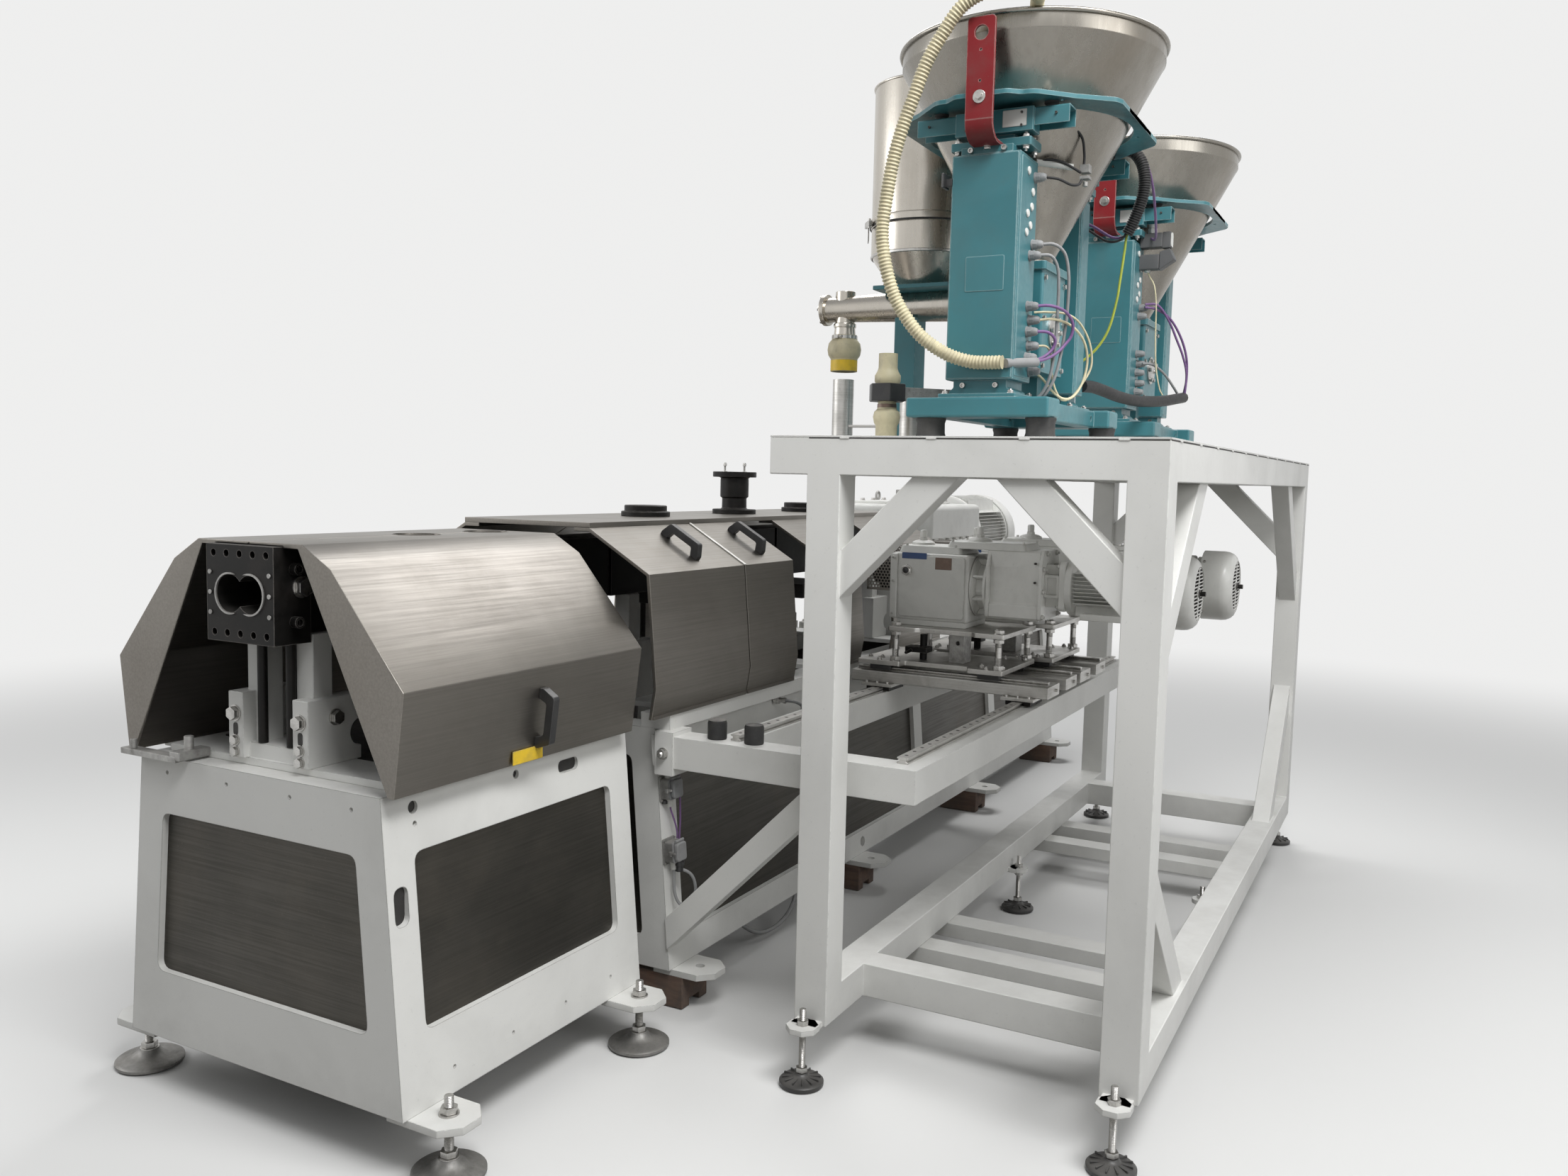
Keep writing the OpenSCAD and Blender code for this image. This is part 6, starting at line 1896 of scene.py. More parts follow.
    def _heads(self, bench: Bench) -> None:
        """Head brackets, weighing cells, folded channels, mounts and the wavy seat plate.

        Args:
            bench: The modelling bench.
        """
        low, teal, screws, mounts, nuts = self.column_top, [], [], [], []
        for (xa, deep), off in zip(self.columns, (-0.015, 0.015)):
            x = xa + deep / 2
            ear = rounded_outline([(x - 0.047, -0.109), (x + 0.047, -0.109), (x + 0.047, 0.109),
                (x - 0.047, 0.109)], 0.006, 3)
            teal.append(bench.slab(ear, "z", low + 0.018, low + 0.04, 0.0025))
            c = x + off
            side = -1 if off < 0 else 1
            teal.append(bench.block((c - 0.04 if side < 0 else c - 0.02, -0.115, low + 0.052),
                (c + 0.02 if side < 0 else c + 0.04, 0.095, low + 0.112), 0.002))
            teal.append(bench.block((c - 0.018, -0.06, low + 0.038), (c + 0.018, 0.06, low + 0.054), 0.002))
            u = 0.03
            channel = [(c - u, 2.597), (c - u, 2.639), (c - u + 0.003, 2.642), (c + u - 0.003, 2.642),
                (c + u, 2.639), (c + u, 2.597), (c + u - 0.003, 2.597), (c + u - 0.003, 2.6365),
                (c + u - 0.0045, 2.638), (c - u + 0.0045, 2.638), (c - u + 0.003, 2.6365),
                (c - u + 0.003, 2.597)]
            teal.append(bench.slab(channel, "y", -0.206, 0.206, 0.0006, 1))
            for s in SIDES:
                mounts.append(bench.lathe(mm([(0, 0), (19, 0), (19, 3), (14, 8), (19, 13), (19, 16.5),
                    (0, 16.5)]), (c, s * 0.15, 2.6418), "z", 24))
                nuts += [spot(c, s * 0.15, 2.67), facing((c, s * 0.15, 2.638), (0, 0, -1)),
                    spot(x - 0.036, s * 0.092, low + 0.04), facing((x - 0.036, s * 0.092, low + 0.018),
                    (0, 0, -1)), spot(x + 0.036, s * 0.092, low + 0.04),
                    facing((x + 0.036, s * 0.092, low + 0.018), (0, 0, -1))]
                screws += [facing((c + side * 0.0402, s * 0.075 - 0.01, v), (side, 0, 0))
                    for v in (low + 0.066, low + 0.098)]
                screws.append(facing((c - u - 0.0002, s * 0.172, 2.622), (-1, 0, 0)))
        teal.append(self._seat(bench))
        self._both(bench, teal, "head_frame", TEAL)
        self._both(bench, [bench.placed(bench.hex_bolt(0.0095, 0.006), nuts)], "head_nuts", BRIGHT)
        self._both(bench, [bench.placed(bench.socket_bolt(0.0045), screws)], "head_screws", BLACK_STEEL)
        self._both(bench, mounts, "head_mounts", RUBBER)
        blank = [bench.slab(rounded((-0.098, 2.596), (-0.034, 2.638), 0.002, 2), "x", -0.3365, -0.3352)]
        self._both(bench, blank, "bare_label_plate", MACHINE)

    @staticmethod
    def _seat(bench: Bench) -> Thing:
        """The seat plate: wavy front and back edges, cut corners and the hopper's hole.

        Args:
            bench: The modelling bench.

        Returns:
            The plate.
        """
        quarter = mm([(415, 0), (415, 70), (388, 100), (388, 130), (300, 215), (232, 300), (205, 310),
            (60, 310), (0, 302)])
        bends = [0.0, 0.03, 0.022, 0.045, 0.06, 0.035, 0.03, 0.03, 0.0]
        corners, radii = [], []
        for sx, sy, back in ((1, 1, False), (-1, 1, True), (-1, -1, False), (1, -1, True)):
            steps = list(zip(quarter, bends))
            for (x, y), r in (list(reversed(steps))[1:] if back else steps[:-1]):
                corners.append((sx * x, sy * y))
                radii.append(r)
        plate = bench.slab(rounded_outline(corners, radii, 6), "z", 2.658, 2.67)
        spots = mm(((-300, 180), (120, 275), (-300, -180), (120, -275)))
        holes = [bench.rod((x, y, 2.64), (x, y, 2.69), 0.0055, sides=12) for x, y in spots]
        bench.cut(plate, [bench.rod((0, 0, 2.64), (0, 0, 2.69), 0.2835, sides=96), *holes])
        return bench.round(plate, 0.0022, 2)

    def _hopper(self, bench: Bench) -> None:
        """The spun hopper with its band and rolled rim, and its outlet collar.

        Args:
            bench: The modelling bench.
        """
        lip = [(0.3655 + 0.0062 * math.cos(a), 2.8775 + 0.0062 * math.sin(a))
            for a in (math.radians(d) for d in range(-90, 181, 30))]
        outer = mm([(75.5, 2292), (75.5, 2299), (82, 2301), (82, 2305), (77.5, 2306.5), (360, 2834),
            (362.5, 2837), (362.5, 2871)])
        inner = mm([(360, 2877.5), (360, 2837.5), (357.8, 2835), (75, 2306.5), (73, 2299), (73, 2292)])
        shell = bench.lathe([*outer, *lip, *inner], (0, 0, 0), "z", 112)
        self._both(bench, [shell], "hopper_shell", HOPPER, ["feeder_*_hopper"], 40.0)

    def _screw(self, bench: Bench) -> None:
        """The screw box under the hopper with its near flange and the tube that leaves it.

        Args:
            bench: The modelling bench.
        """
        z = self.screw_axis
        parts = [bench.slab(rounded((-0.11, -0.09), (0.11, 0.09), 0.01), "z", 1.992, 2.286, 0.003),
            bench.slab(rounded((-0.118, -0.098), (0.118, 0.098), 0.012), "z", 2.27, 2.293, 0.002),
            bench.block((-0.205, -0.062, 2.02), (-0.108, 0.062, 2.15), 0.006),
            bench.block((0.108, -0.05, 2.05), (0.16, 0.05, 2.17), 0.006)]
        parts += [bench.block((s * 0.095 - 0.022, -0.03, self.base_top - 0.002),
            (s * 0.095 + 0.022, 0.03, 1.994), 0.003) for s in SIDES]
        self._both(bench, parts, "screw_boxes", TEAL, ["feeder_screw_boxes"])
        tube = mm([(0, 0), (78, 0), (78, 10), (60, 12), (60, 58), (70, 60), (70, 70), (0, 70)])
        self._both(bench, [bench.lathe(tube, (0, 0.089, z), "y", 48)], "screw_tubes", HOPPER)
        disc = bench.lathe(mm([(0, 0), (50, 0), (50, 6), (42, 10), (0, 10)]), (0, -0.0895, z), "-y", 40)
        ring = [facing((0.04 * math.cos(a), -0.0995, z + 0.04 * math.sin(a)), (0, -1, 0)) for a in angles(6)]
        ring += [facing((x, -0.0905, v), (0, -1, 0)) for x in (-0.095, 0.095) for v in (2.01, 2.14, 2.25)]
        self._both(bench, [disc, bench.placed(bench.hex_bolt(0.008), ring)], "screw_flange", BRIGHT)

    def _strap(self, bench: Bench) -> None:
        """The red lifting strap with its curved foot, holes, washer and bolt.

        Args:
            bench: The modelling bench.
        """
        x = self.strap_x
        arc = [(x - 0.008 + 0.052 - 0.052 * math.cos(a), 2.6 - 0.05 * math.sin(a))
            for a in (math.radians(d) for d in range(0, 91, 15))]
        back = [(x - 0.008 + 0.052 - 0.044 * math.cos(a), 2.6 - 0.042 * math.sin(a))
            for a in (math.radians(d) for d in range(90, -1, -15))]
        foot = bench.slab([*arc, (-0.325, 2.55), (-0.325, 2.558), *back], "y", -0.037, 0.037)
        flat = bench.slab(rounded_outline(mm([(-37, 2600), (37, 2600), (37, 2852), (-37, 2852)]),
            [0.0, 0.0, 0.012, 0.012], 5), "x", x - 0.008, x)
        holes = [bench.rod((x - 0.02, 0, v), (x + 0.01, 0, v), r, sides=n)
            for v, r, n in ((2.812, 0.018, 32), (2.77, 0.003, 12), (2.694, 0.003, 12))]
        bench.cut(flat, holes)
        self._both(bench, [bench.round(flat, 0.0009, 2), bench.round(foot, 0.0009, 2)], "straps", RED,
            ["feeder_straps"])
        washer = bench.lathe(mm([(0, 0), (16.5, 0), (16.5, 2.2), (15.5, 2.8), (0, 2.8)]),
            (x - 0.0078, 0, 2.655), "-x", 32)
        bolt = bench.placed(bench.hex_bolt(0.0105), [facing((x - 0.0105, 0, 2.655), (-1, 0, 0)),
            facing((-0.35, 0, 2.5505), (0, 0, -1))])
        stud = bench.rod((x, 0, 2.655), (-0.372, 0, 2.655), 0.005, sides=14)
        self._both(bench, [washer, bolt, stud], "strap_bolts", BRIGHT)

    def _sockets(self, bench: Bench) -> None:
        """Blind plugs and cable glands on the front columns' near side, and the small box behind them.

        Args:
            bench: The modelling bench.
        """
        face, side = self.side, Vector((0, -1, 0))
        plug = bench.lathe(mm([(0, 0), (10.5, 0), (10.5, 2.5), (8.5, 4.2), (0, 4.6)]), (0, 0, 0), "z", 24)
        spots = mm([(-291, 2493), (-251, 2446), (-258, 2407), (-290, 2385), (-264, 2358), (-294, 2336)])
        self._both(bench, [bench.placed(plug, [facing((x, face, z), side) for x, z in spots])], "blind_plugs",
            MACHINE)
        gland = bench.join([bench.rod((0, 0, -0.001), (0, 0, 0.004), 0.0145, sides=24, bevel=0.0008),
            bench.rod((0, 0, 0.003), (0, 0, 0.016), 0.013, sides=8, bevel=0.0012),
            bench.lathe(mm([(0, 15), (11.5, 15), (11.5, 22), (8.5, 29), (6, 31), (0, 31)]), (0, 0, 0), "z",
            20)])
        spots = mm([(-236, 2486), (-240, 2312), (-258, 2281), (-262, 2149), (-244, 2115), (-258, 2083),
            (-246, 2047), (-260, 2015), (-226, 1982)])
        self._both(bench, [bench.placed(gland, [facing((x, face, z), side) for x, z in spots])],
            "cable_glands", CABLE_GREY)
        hook = [bench.block((-0.358, 0.09, 2.455), (-0.33, 0.112, 2.475), 0.003),
            bench.block((-0.372, 0.108, 2.45), (-0.328, 0.116, 2.49), 0.004)]
        self._both(bench, hook, "side_lamp", BLACK_PLASTIC)


@dataclass
class FeederCables:
    """Cables, corrugated conduit, connectors and the dark hose on the dosing feeders."""

    def build(self, bench: Bench) -> None:
        """Builds all leads and what they plug into.

        Args:
            bench: The modelling bench.
        """
        for lead in self._leads():
            lead.build(bench)
        self._connectors(bench)
        self._sleeves(bench)

    @staticmethod
    def _leads() -> list[Lead]:
        """The free cables of both feeders.

        Returns:
            The leads.
        """
        y = 1000 * FEEDER_FACE
        return [
            Lead("violet_lead_1", CABLE_PURPLE, 0.0042, mm(((1178, y, 2149), (1192, -1625, 2150),
            (1222, -1655, 2138), (1252, -1668, 2112), (1262, -1664, 2080), (1252, -1648, 2052),
            (1228, -1632, 2028), (1190, -1612, 2010), (1140, -1585, 2000), (1085, -1552, 1996)))),
            Lead("violet_lead_2", CABLE_PURPLE, 0.0042, mm(((1180, y, 2083), (1196, -1618, 2082),
            (1218, -1632, 2066), (1222, -1626, 2042), (1206, -1612, 2022), (1172, -1598, 2008),
            (1125, -1574, 1992), (1082, -1548, 1986)))),
            Lead("grey_lead_1", CABLE_GREY, 0.0045, mm(((1200, y, 2312), (1215, -1622, 2312),
            (1238, -1644, 2290), (1252, -1652, 2240), (1258, -1652, 2180), (1260, -1648, 2110),
            (1258, -1640, 2040), (1252, -1628, 1975), (1250, -1610, 1935), (1252, -1590, 1912)))),
            Lead("grey_lead_2", CABLE_GREY, 0.0045, mm(((1182, y, 2281), (1198, -1618, 2280),
            (1216, -1632, 2252), (1226, -1634, 2200), (1232, -1632, 2130), (1236, -1628, 2050),
            (1238, -1618, 1975), (1240, -1600, 1932), (1238, -1582, 1910)))),
            Lead("cream_lead_1", CREAM, 0.0035, mm(((1196, y, 2115), (1222, -1630, 2118), (1275, -1662, 2104),
            (1330, -1680, 2070), (1358, -1684, 2020), (1352, -1676, 1965), (1328, -1660, 1925),
            (1300, -1640, 1914), (1280, -1615, 1932), (1262, -1590, 1965), (1240, -1570, 1985)))),
            Lead("cream_lead_2", CREAM, 0.003, mm(((1194, y, 2047), (1215, -1612, 2046), (1242, -1618, 2020),
            (1258, -1616, 1975), (1280, -1622, 1935), (1306, -1634, 1912), (1335, -1652, 1922),
            (1362, -1672, 1960), (1380, -1690, 2010), (1366, -1686, 2070), (1330, -1666, 2120),
            (1290, -1640, 2140), (1252, -1600, 2142), (1232, -1568, 2140)))),
            Lead("black_lead_1", CABLE_BLACK, 0.0036, mm(((1250, -1585, 2622), (1262, -1610, 2630),
            (1275, -1640, 2626), (1290, -1662, 2600), (1296, -1668, 2562), (1298, -1668, 2535),
            (1296, -1664, 2512)))),
            Lead("black_lead_2", CABLE_BLACK, 0.0036, mm(((1204, y, 2486), (1222, -1622, 2482),
            (1246, -1650, 2470), (1268, -1664, 2474), (1284, -1668, 2488)))),
            Lead("black_lead_3", CABLE_BLACK, 0.0036, mm(((1236, -1560, 2532), (1246, -1590, 2540),
            (1256, -1620, 2534), (1268, -1645, 2520), (1284, -1664, 2508)))),
            Lead("violet_lead_3", CABLE_PURPLE, 0.0042, mm(((2470, y, 2312), (2492, -1622, 2306),
            (2540, -1660, 2280), (2600, -1690, 2220), (2650, -1705, 2150), (2668, -1706, 2075),
            (2652, -1700, 2012)))),
            Lead("violet_lead_4", CABLE_PURPLE, 0.0042, mm(((1812, -1592, 2676), (1815, -1640, 2690),
            (1824, -1675, 2693), (1858, -1696, 2676), (1900, -1708, 2640), (1960, -1709, 2595),
            (2050, -1698, 2552), (2150, -1681, 2527), (2260, -1659, 2518), (2360, -1634, 2524),
            (2430, -1613, 2538), (2457, -1602, 2546))), stiffness="limp"),
            Lead("violet_lead_5", CABLE_PURPLE, 0.0042, mm(((1797, -1680, 2450), (1799, -1668, 2436),
            (1801, -1650, 2430), (1802, -1625, 2434), (1801, -1598, 2450), (1796, -1570, 2468),
            (1786, -1535, 2484)))),
            Lead("violet_lead_6", CABLE_PURPLE, 0.0042, mm(((2470, -1588, 2322), (2486, -1630, 2318),
            (2530, -1661, 2268), (2572, -1682, 2208), (2612, -1700, 2150), (2640, -1710, 2090),
            (2648, -1706, 2016)))),
            Lead("black_lead_4", CABLE_BLACK, 0.0038, mm(((1791, -1674, 2444), (1792, -1658, 2425),
            (1793, -1636, 2418), (1794, -1610, 2423), (1793, -1585, 2438), (1788, -1560, 2455),
            (1781, -1530, 2470)))),
            Lead("grey_lead_4", CABLE_GREY, 0.005, mm(((2478, -1600, 2602), (2479, -1601, 2622),
            (2474, -1600, 2640), (2458, -1596, 2650), (2438, -1590, 2643), (2422, -1584, 2626),
            (2410, -1580, 2606)))),
            Lead("cream_lead_3", CREAM, 0.0026, mm(((2474, -1588, 2440), (2478, -1598, 2418),
            (2480, -1615, 2385), (2480, -1624, 2322), (2480, -1626, 2250), (2481, -1628, 2180),
            (2482, -1634, 2100), (2484, -1648, 2030), (2486, -1660, 2004))), stiffness="limp"),
            Lead("earth_lead", EARTH, 0.004, mm(((1795, -1677.5, 2452), (1795.5, -1671, 2428),
            (1796, -1668, 2395), (1795, -1664, 2355), (1795, -1658, 2300), (1795, -1651, 2243),
            (1796, -1631, 2160), (1796, -1600, 2105), (1793, -1559, 2066), (1784, -1520, 2045)))),
            Lead("grey_lead_3", CABLE_GREY, 0.0045, mm(((2470, y, 2115), (2490, -1620, 2112),
            (2540, -1650, 2085), (2590, -1676, 2040), (2628, -1690, 2008)))),
            Lead("dark_hose", CABLE_BLACK, 0.019, mm(((1775, -1560, 1985), (1860, -1572, 1988),
            (1960, -1586, 1982), (2080, -1604, 1972), (2220, -1626, 1968), (2360, -1650, 1974),
            (2480, -1672, 1984), (2590, -1690, 1998), (2655, -1700, 2006))), stiffness="stiff"),]

    @staticmethod
    def _connectors(bench: Bench) -> None:
        """Connector housings and their glands, and the corrugated conduit behind the first feeder.

        Args:
            bench: The modelling bench.
        """
        parts = [bench.block((2.455, -1.64, 2.515), (2.5, -1.562, 2.566), 0.005),
            bench.block((2.462, -1.668, 2.512), (2.494, -1.638, 2.569), 0.004),
            bench.block((2.452, -1.632, 2.44), (2.496, -1.562, 2.492), 0.004),
            bench.slab(mm([(-1632, 2436), (-1632, 2500), (-1668, 2510), (-1686, 2470)]), "x", 2.454, 2.494,
            0.004)]
        bench.finish(parts, "dosing_2_connectors", HOUSING)
        small = [bench.rod((2.478, -1.6, 2.565), (2.478, -1.6, 2.584), 0.017, sides=8, bevel=0.001),
            bench.rod((2.478, -1.6, 2.583), (2.478, -1.6, 2.604), 0.0145, sides=24, bevel=0.005),
            bench.rod((2.474, -1.59, 2.448), (2.474, -1.59, 2.432), 0.011, sides=8, bevel=0.001),
            bench.slab(rounded_outline(mm([(2464.5, 2515.5), (2491.5, 2515.5), (2491.5, 2565.5),
            (2464.5, 2565.5)]), 0.01, 4), "y", -1.6705, -1.6665, 0.0008)]
        bench.finish(small, "dosing_2_connector_gland", MACHINE)
        route = mm(((1800, -1575, 2689), (1799, -1610, 2692.5), (1797, -1650, 2690.5), (1796, -1682, 2677),
            (1795, -1705, 2648), (1795, -1717, 2605), (1795, -1716, 2556), (1795, -1704, 2510),
            (1795, -1688, 2468), (1795, -1673, 2438)))
        corrugated(bench, route, 0.0182, 0.007, "dosing_1_conduit", CABLE_BLACK)
        clip = [bench.block((1.286, -1.686, 2.492), (1.312, -1.66, 2.5), 0.001),
            bench.block((1.286, -1.686, 2.508), (1.312, -1.66, 2.53), 0.002),
            bench.rod((1.298, -1.674, 2.486), (1.298, -1.674, 2.474), 0.007, sides=16, bevel=0.001)]
        bench.finish(clip, "dosing_1_connector", GREY_STEEL)
        plug = bench.rod((1.236, -1.556, 2.534), (1.278, -1.645, 2.522), 0.0085, sides=20, bevel=0.002)
        bench.finish(plug, "dosing_1_pale_plug", MACHINE)
        sheath = bench.rod((1.075, -1.545, 1.992), (1.17, -1.6, 2.002), 0.0125, sides=24, bevel=0.002)
        bench.finish(sheath, "dosing_1_sheath", CABLE_GREY)

    @staticmethod
    def _sleeves(bench: Bench) -> None:
        """The discharge of the first feeder: cream sleeves, black clamp block and grey arm.

        Args:
            bench: The modelling bench.
        """
        x, y = 1.215, -1.155
        sleeve = mm([(0, 1800), (31, 1800), (31, 1838), (36, 1846), (39, 1862), (36, 1876), (28, 1884),
            (26, 1900), (26, 1935), (30, 1948), (37, 1962), (37, 1978), (30, 1990), (27, 2000), (27, 2040),
            (0, 2040)])
        bench.finish(bench.lathe(sleeve, (x, y, 0), "z", 36), "dosing_1_sleeve", CREAM)
        band = bench.lathe(mm([(0, 1884), (27.5, 1884), (27.5, 1898), (0, 1898)]), (x, y, 0), "z", 32)
        bench.finish(band, "dosing_1_sleeve_band", BROWN_PLATE)
        block = bench.rod((x, y, 1.905), (x, y, 1.955), 0.056, sides=6, bevel=0.004)
        bench.finish(block, "dosing_1_clamp_block", BLACK_PLASTIC)
        arm = bench.slab(rounded_outline([(x + 0.02, y - 0.028), (x + 0.165, y - 0.15), (x + 0.195, y - 0.11),
            (x + 0.04, y + 0.028)], 0.004, 2), "z", 1.912, 1.948, 0.002)
        bench.finish(arm, "dosing_1_clamp_arm", GREY_STEEL)


def corrugated(bench: Bench, route: Sequence[Triple], radius: float, pitch: float, name: str, finish: Finish,
        stands_for: Sequence[str] = ()) -> None:
    """A ribbed hose along a smooth line.

    Args:
        bench: The modelling bench.
        route: Points that it follows.
        radius: Radius over its ribs.
        pitch: Distance from rib to rib.
        name: The piece's name.
        finish: Its finish.
        stands_for: CAD nodes that it replaces.
    """
    line = smooth_line(route, 24)
    reach = [0.0]
    for a, b in zip(line, line[1:]):
        reach.append(reach[-1] + (b - a).length)
    total, sides = reach[-1], 20
    rings = int(total / pitch) * 4
    bench.clear()
    shape = bmesh.new()
    rows, across, index = [], Vector((0.3, 0.2, 1.0)), 0
    for i in range(rings + 1):
        at = total * i / rings
        while index < len(reach) - 2 and reach[index + 1] < at:
            index += 1
        share = (at - reach[index]) / max(reach[index + 1] - reach[index], 1e-9)
        here = line[index].lerp(line[index + 1], share)
        along = (line[index + 1] - line[index]).normalized()
        across = (across - along * across.dot(along)).normalized()
        other = along.cross(across)
        r = radius * (1.0, 1.0, 0.86, 0.86)[i % 4]
        rows.append([shape.verts.new(here + r * (math.cos(TURN * k / sides) * across
            + math.sin(TURN * k / sides) * other)) for k in range(sides)])
    for a, b in zip(rows, rows[1:]):
        for k in range(sides):
            shape.faces.new((a[k], a[(k + 1) % sides], b[(k + 1) % sides], b[k]))
    shape.faces.new(list(reversed(rows[0])))
    shape.faces.new(rows[-1])
    bmesh.ops.recalc_face_normals(shape, faces=shape.faces)
    data = bpy.data.meshes.new(name)
    shape.to_mesh(data)
    shape.free()
    hose = bpy.data.objects.new(name, data)
    bpy.context.scene.collection.objects.link(hose)
    bench.finish(hose, name, finish, stands_for=stands_for, angle=50.0)
    path = [tuple(p + SHIFT) for p in line[::3]]
    if (len(line) - 1) % 3:
        path.append(tuple(line[-1] + SHIFT))


# ---------------------------------------------------------------- platform, table, rear and drive


@dataclass
class Platform:
    """The welded platform that carries the dosing feeders, with its feet and deck."""

    x0: float = 0.959
    x1: float = 4.147
    y0: float = -1.997
    y1: float = -1.036
    middle: float = 2.62
    plate: float = 0.157
    tack: float = 0.014

    def build(self, bench: Bench) -> None:
        """Builds the platform.

        Args:
            bench: The modelling bench.
        """
        nodes = ["platform_columns", "platform_top_beams", "platform_bottom_beams", "platform_braces"]
        self._weld(bench, nodes)
        bench.finish(bench.softened("fork_channels", 0.002), "fork_channel_tubes", WHITE,
            stands_for=["fork_channels"])
        self._deck(bench)
        self._feet(bench)

    @staticmethod
    def _weld(bench: Bench, nodes: Sequence[str]) -> None:
        """Welds the CAD copies of columns, beams and braces into one smooth frame.

        Args:
            bench: The modelling bench.
            nodes: CAD nodes that are welded.
        """
        whole = bench.softened(nodes[0], 0.0)
        for node in nodes[1:]:
            part = bench.softened(node, 0.0)
            bench.pick([whole])
            tool = whole.modifiers.new("weld", "BOOLEAN")
            tool.operation, tool.solver, tool.use_self, tool.object = "UNION", "EXACT", True, part
            bpy.ops.object.modifier_apply(modifier=tool.name)
            bpy.data.objects.remove(part)
        bench.pick([whole])
        bpy.ops.object.mode_set(mode="EDIT")
        bpy.ops.mesh.select_all(action="SELECT")
        bpy.ops.mesh.dissolve_limited(angle_limit=CAD_FLAT)
        bpy.ops.object.mode_set(mode="OBJECT")
        bench.finish(bench.round(whole, 0.006, 3), "platform_frame", WHITE, stands_for=nodes, angle=40.0)

    def _deck(self, bench: Bench) -> None:
        """The deck sheet, painted shade in the gap under its edges, and the tack welds.

        Args:
            bench: The modelling bench.
        """
        plate = bench.slab([(self.x0, self.y0), (self.x1, self.y0), (self.x1, self.y1 + 0.116),
            (self.x0, self.y1 + 0.116)], "z", 1.7945, DECK_TOP, 0.0012)
        bench.finish(plate, "platform_deck_sheet", WHITE, stands_for=["platform_deck"])
        gap, tacks = [], []
        z0, z1 = 1.7915, 1.7948
        # Painted shade: thin dark strips in the gap under the deck's edges.
        gap.append(bench.block((self.x0 + 0.004, self.y0 - 0.0004, z0),
            (self.x1 - 0.004, self.y0 + 0.02, z1)))
        gap += [bench.block((x - 0.0004, self.y0 + 0.004, z0), (x + 0.0004, self.y1 - 0.004, z1))
            for x in (self.x0, self.x1)]
        bench.finish(gap, "platform_deck_edge_shade", PAINTED_SHADE)
        for i in range(12):
            x = self.x0 + 0.12 + i * 0.268
            tacks.append(bench.block((x - self.tack, self.y0 - 0.0022, z0 - 0.001),
                (x + self.tack, self.y0 + 0.004, z1 + 0.001), 0.0015))
        for x, s in ((self.x0, -1), (self.x1, 1)):
            for i in range(4):
                y = self.y0 + 0.11 + i * 0.247
                tacks.append(bench.block((x - 0.0022 if s < 0 else x - 0.004, y - self.tack, z0 - 0.001),
                    (x + 0.004 if s < 0 else x + 0.0022, y + self.tack, z1 + 0.001), 0.0015))
        bench.finish(tacks, "platform_tack_welds", WHITE)

    def _feet(self, bench: Bench) -> None:
        """White octagonal plates, long studs with nuts and ribbed black discs.

        Args:
            bench: The modelling bench.
        """
        z, mid = self.plate, self.middle
        spots = [(x, y, s) for x, s in ((self.x0 - 0.042, -1), (self.x1 + 0.042, 1))
            for y in (self.y0 + 0.05, self.y1 - 0.05)]
        plates = []
        w, c = 0.044, 0.044 * math.tan(math.radians(22.5))
        outline = [(w, c), (c, w), (-c, w), (-w, c), (-w, -c), (-c, -w), (c, -w), (w, -c)]
        for x, y, s in spots:
            plates.append(bench.slab([(x + u, y + v) for u, v in outline], "z", z - 0.002, z + 0.014, 0.002))
            plates.append(bench.block((min(x, x - s * 0.048), y - 0.04, z - 0.002),
                (max(x, x - s * 0.048), y + 0.04, z + 0.014), 0.002))
        for y, s in ((self.y0 + 0.132, -1), (self.y1 - 0.132, 1)):
            spots.append((mid, y, 0))
            plates.append(bench.rod((mid, y, z - 0.002), (mid, y, z + 0.014), 0.036, sides=32, bevel=0.002))
            plates.append(bench.block((2.584, min(y, y + s * 0.04), z - 0.002),
                (2.656, max(y, y + s * 0.04), z + 0.014), 0.002))
        disc = bench.lathe(mm([(0, 0), (60, 0), (62.5, 4), (62.5, 12), (56, 18), (24, 24), (17, 34),
            (0, 34)]), (0, 0, 0), "z", 40)
        rib = bench.block((0.018, -0.0022, 0.014), (0.054, 0.0022, 0.0245), 0.001)
        star = bench.join([disc, bench.placed(rib, [Matrix.Rotation(a, 4, "Z") for a in angles(12)])])
        discs = bench.placed(star, [spot(x, y, 0) for x, y, _ in spots])
        stud = bench.join([bench.thread(0.0095, 0.03, z + 0.06),
            *[bench.rod((0, 0, a), (0, 0, a + 0.014), 0.0175, sides=6, bevel=0.0015)
            for a in (z + 0.0142, z - 0.0165, 0.036)]])
        studs = bench.placed(stud, [spot(x, y, 0) for x, y, _ in spots])
        bench.finish(plates, "platform_foot_plates", WHITE, stands_for=["platform_feet"])
        bench.finish(discs, "platform_foot_discs", BLACK_PLASTIC, angle=45.0)
        bench.finish(studs, "platform_foot_studs", BRIGHT)


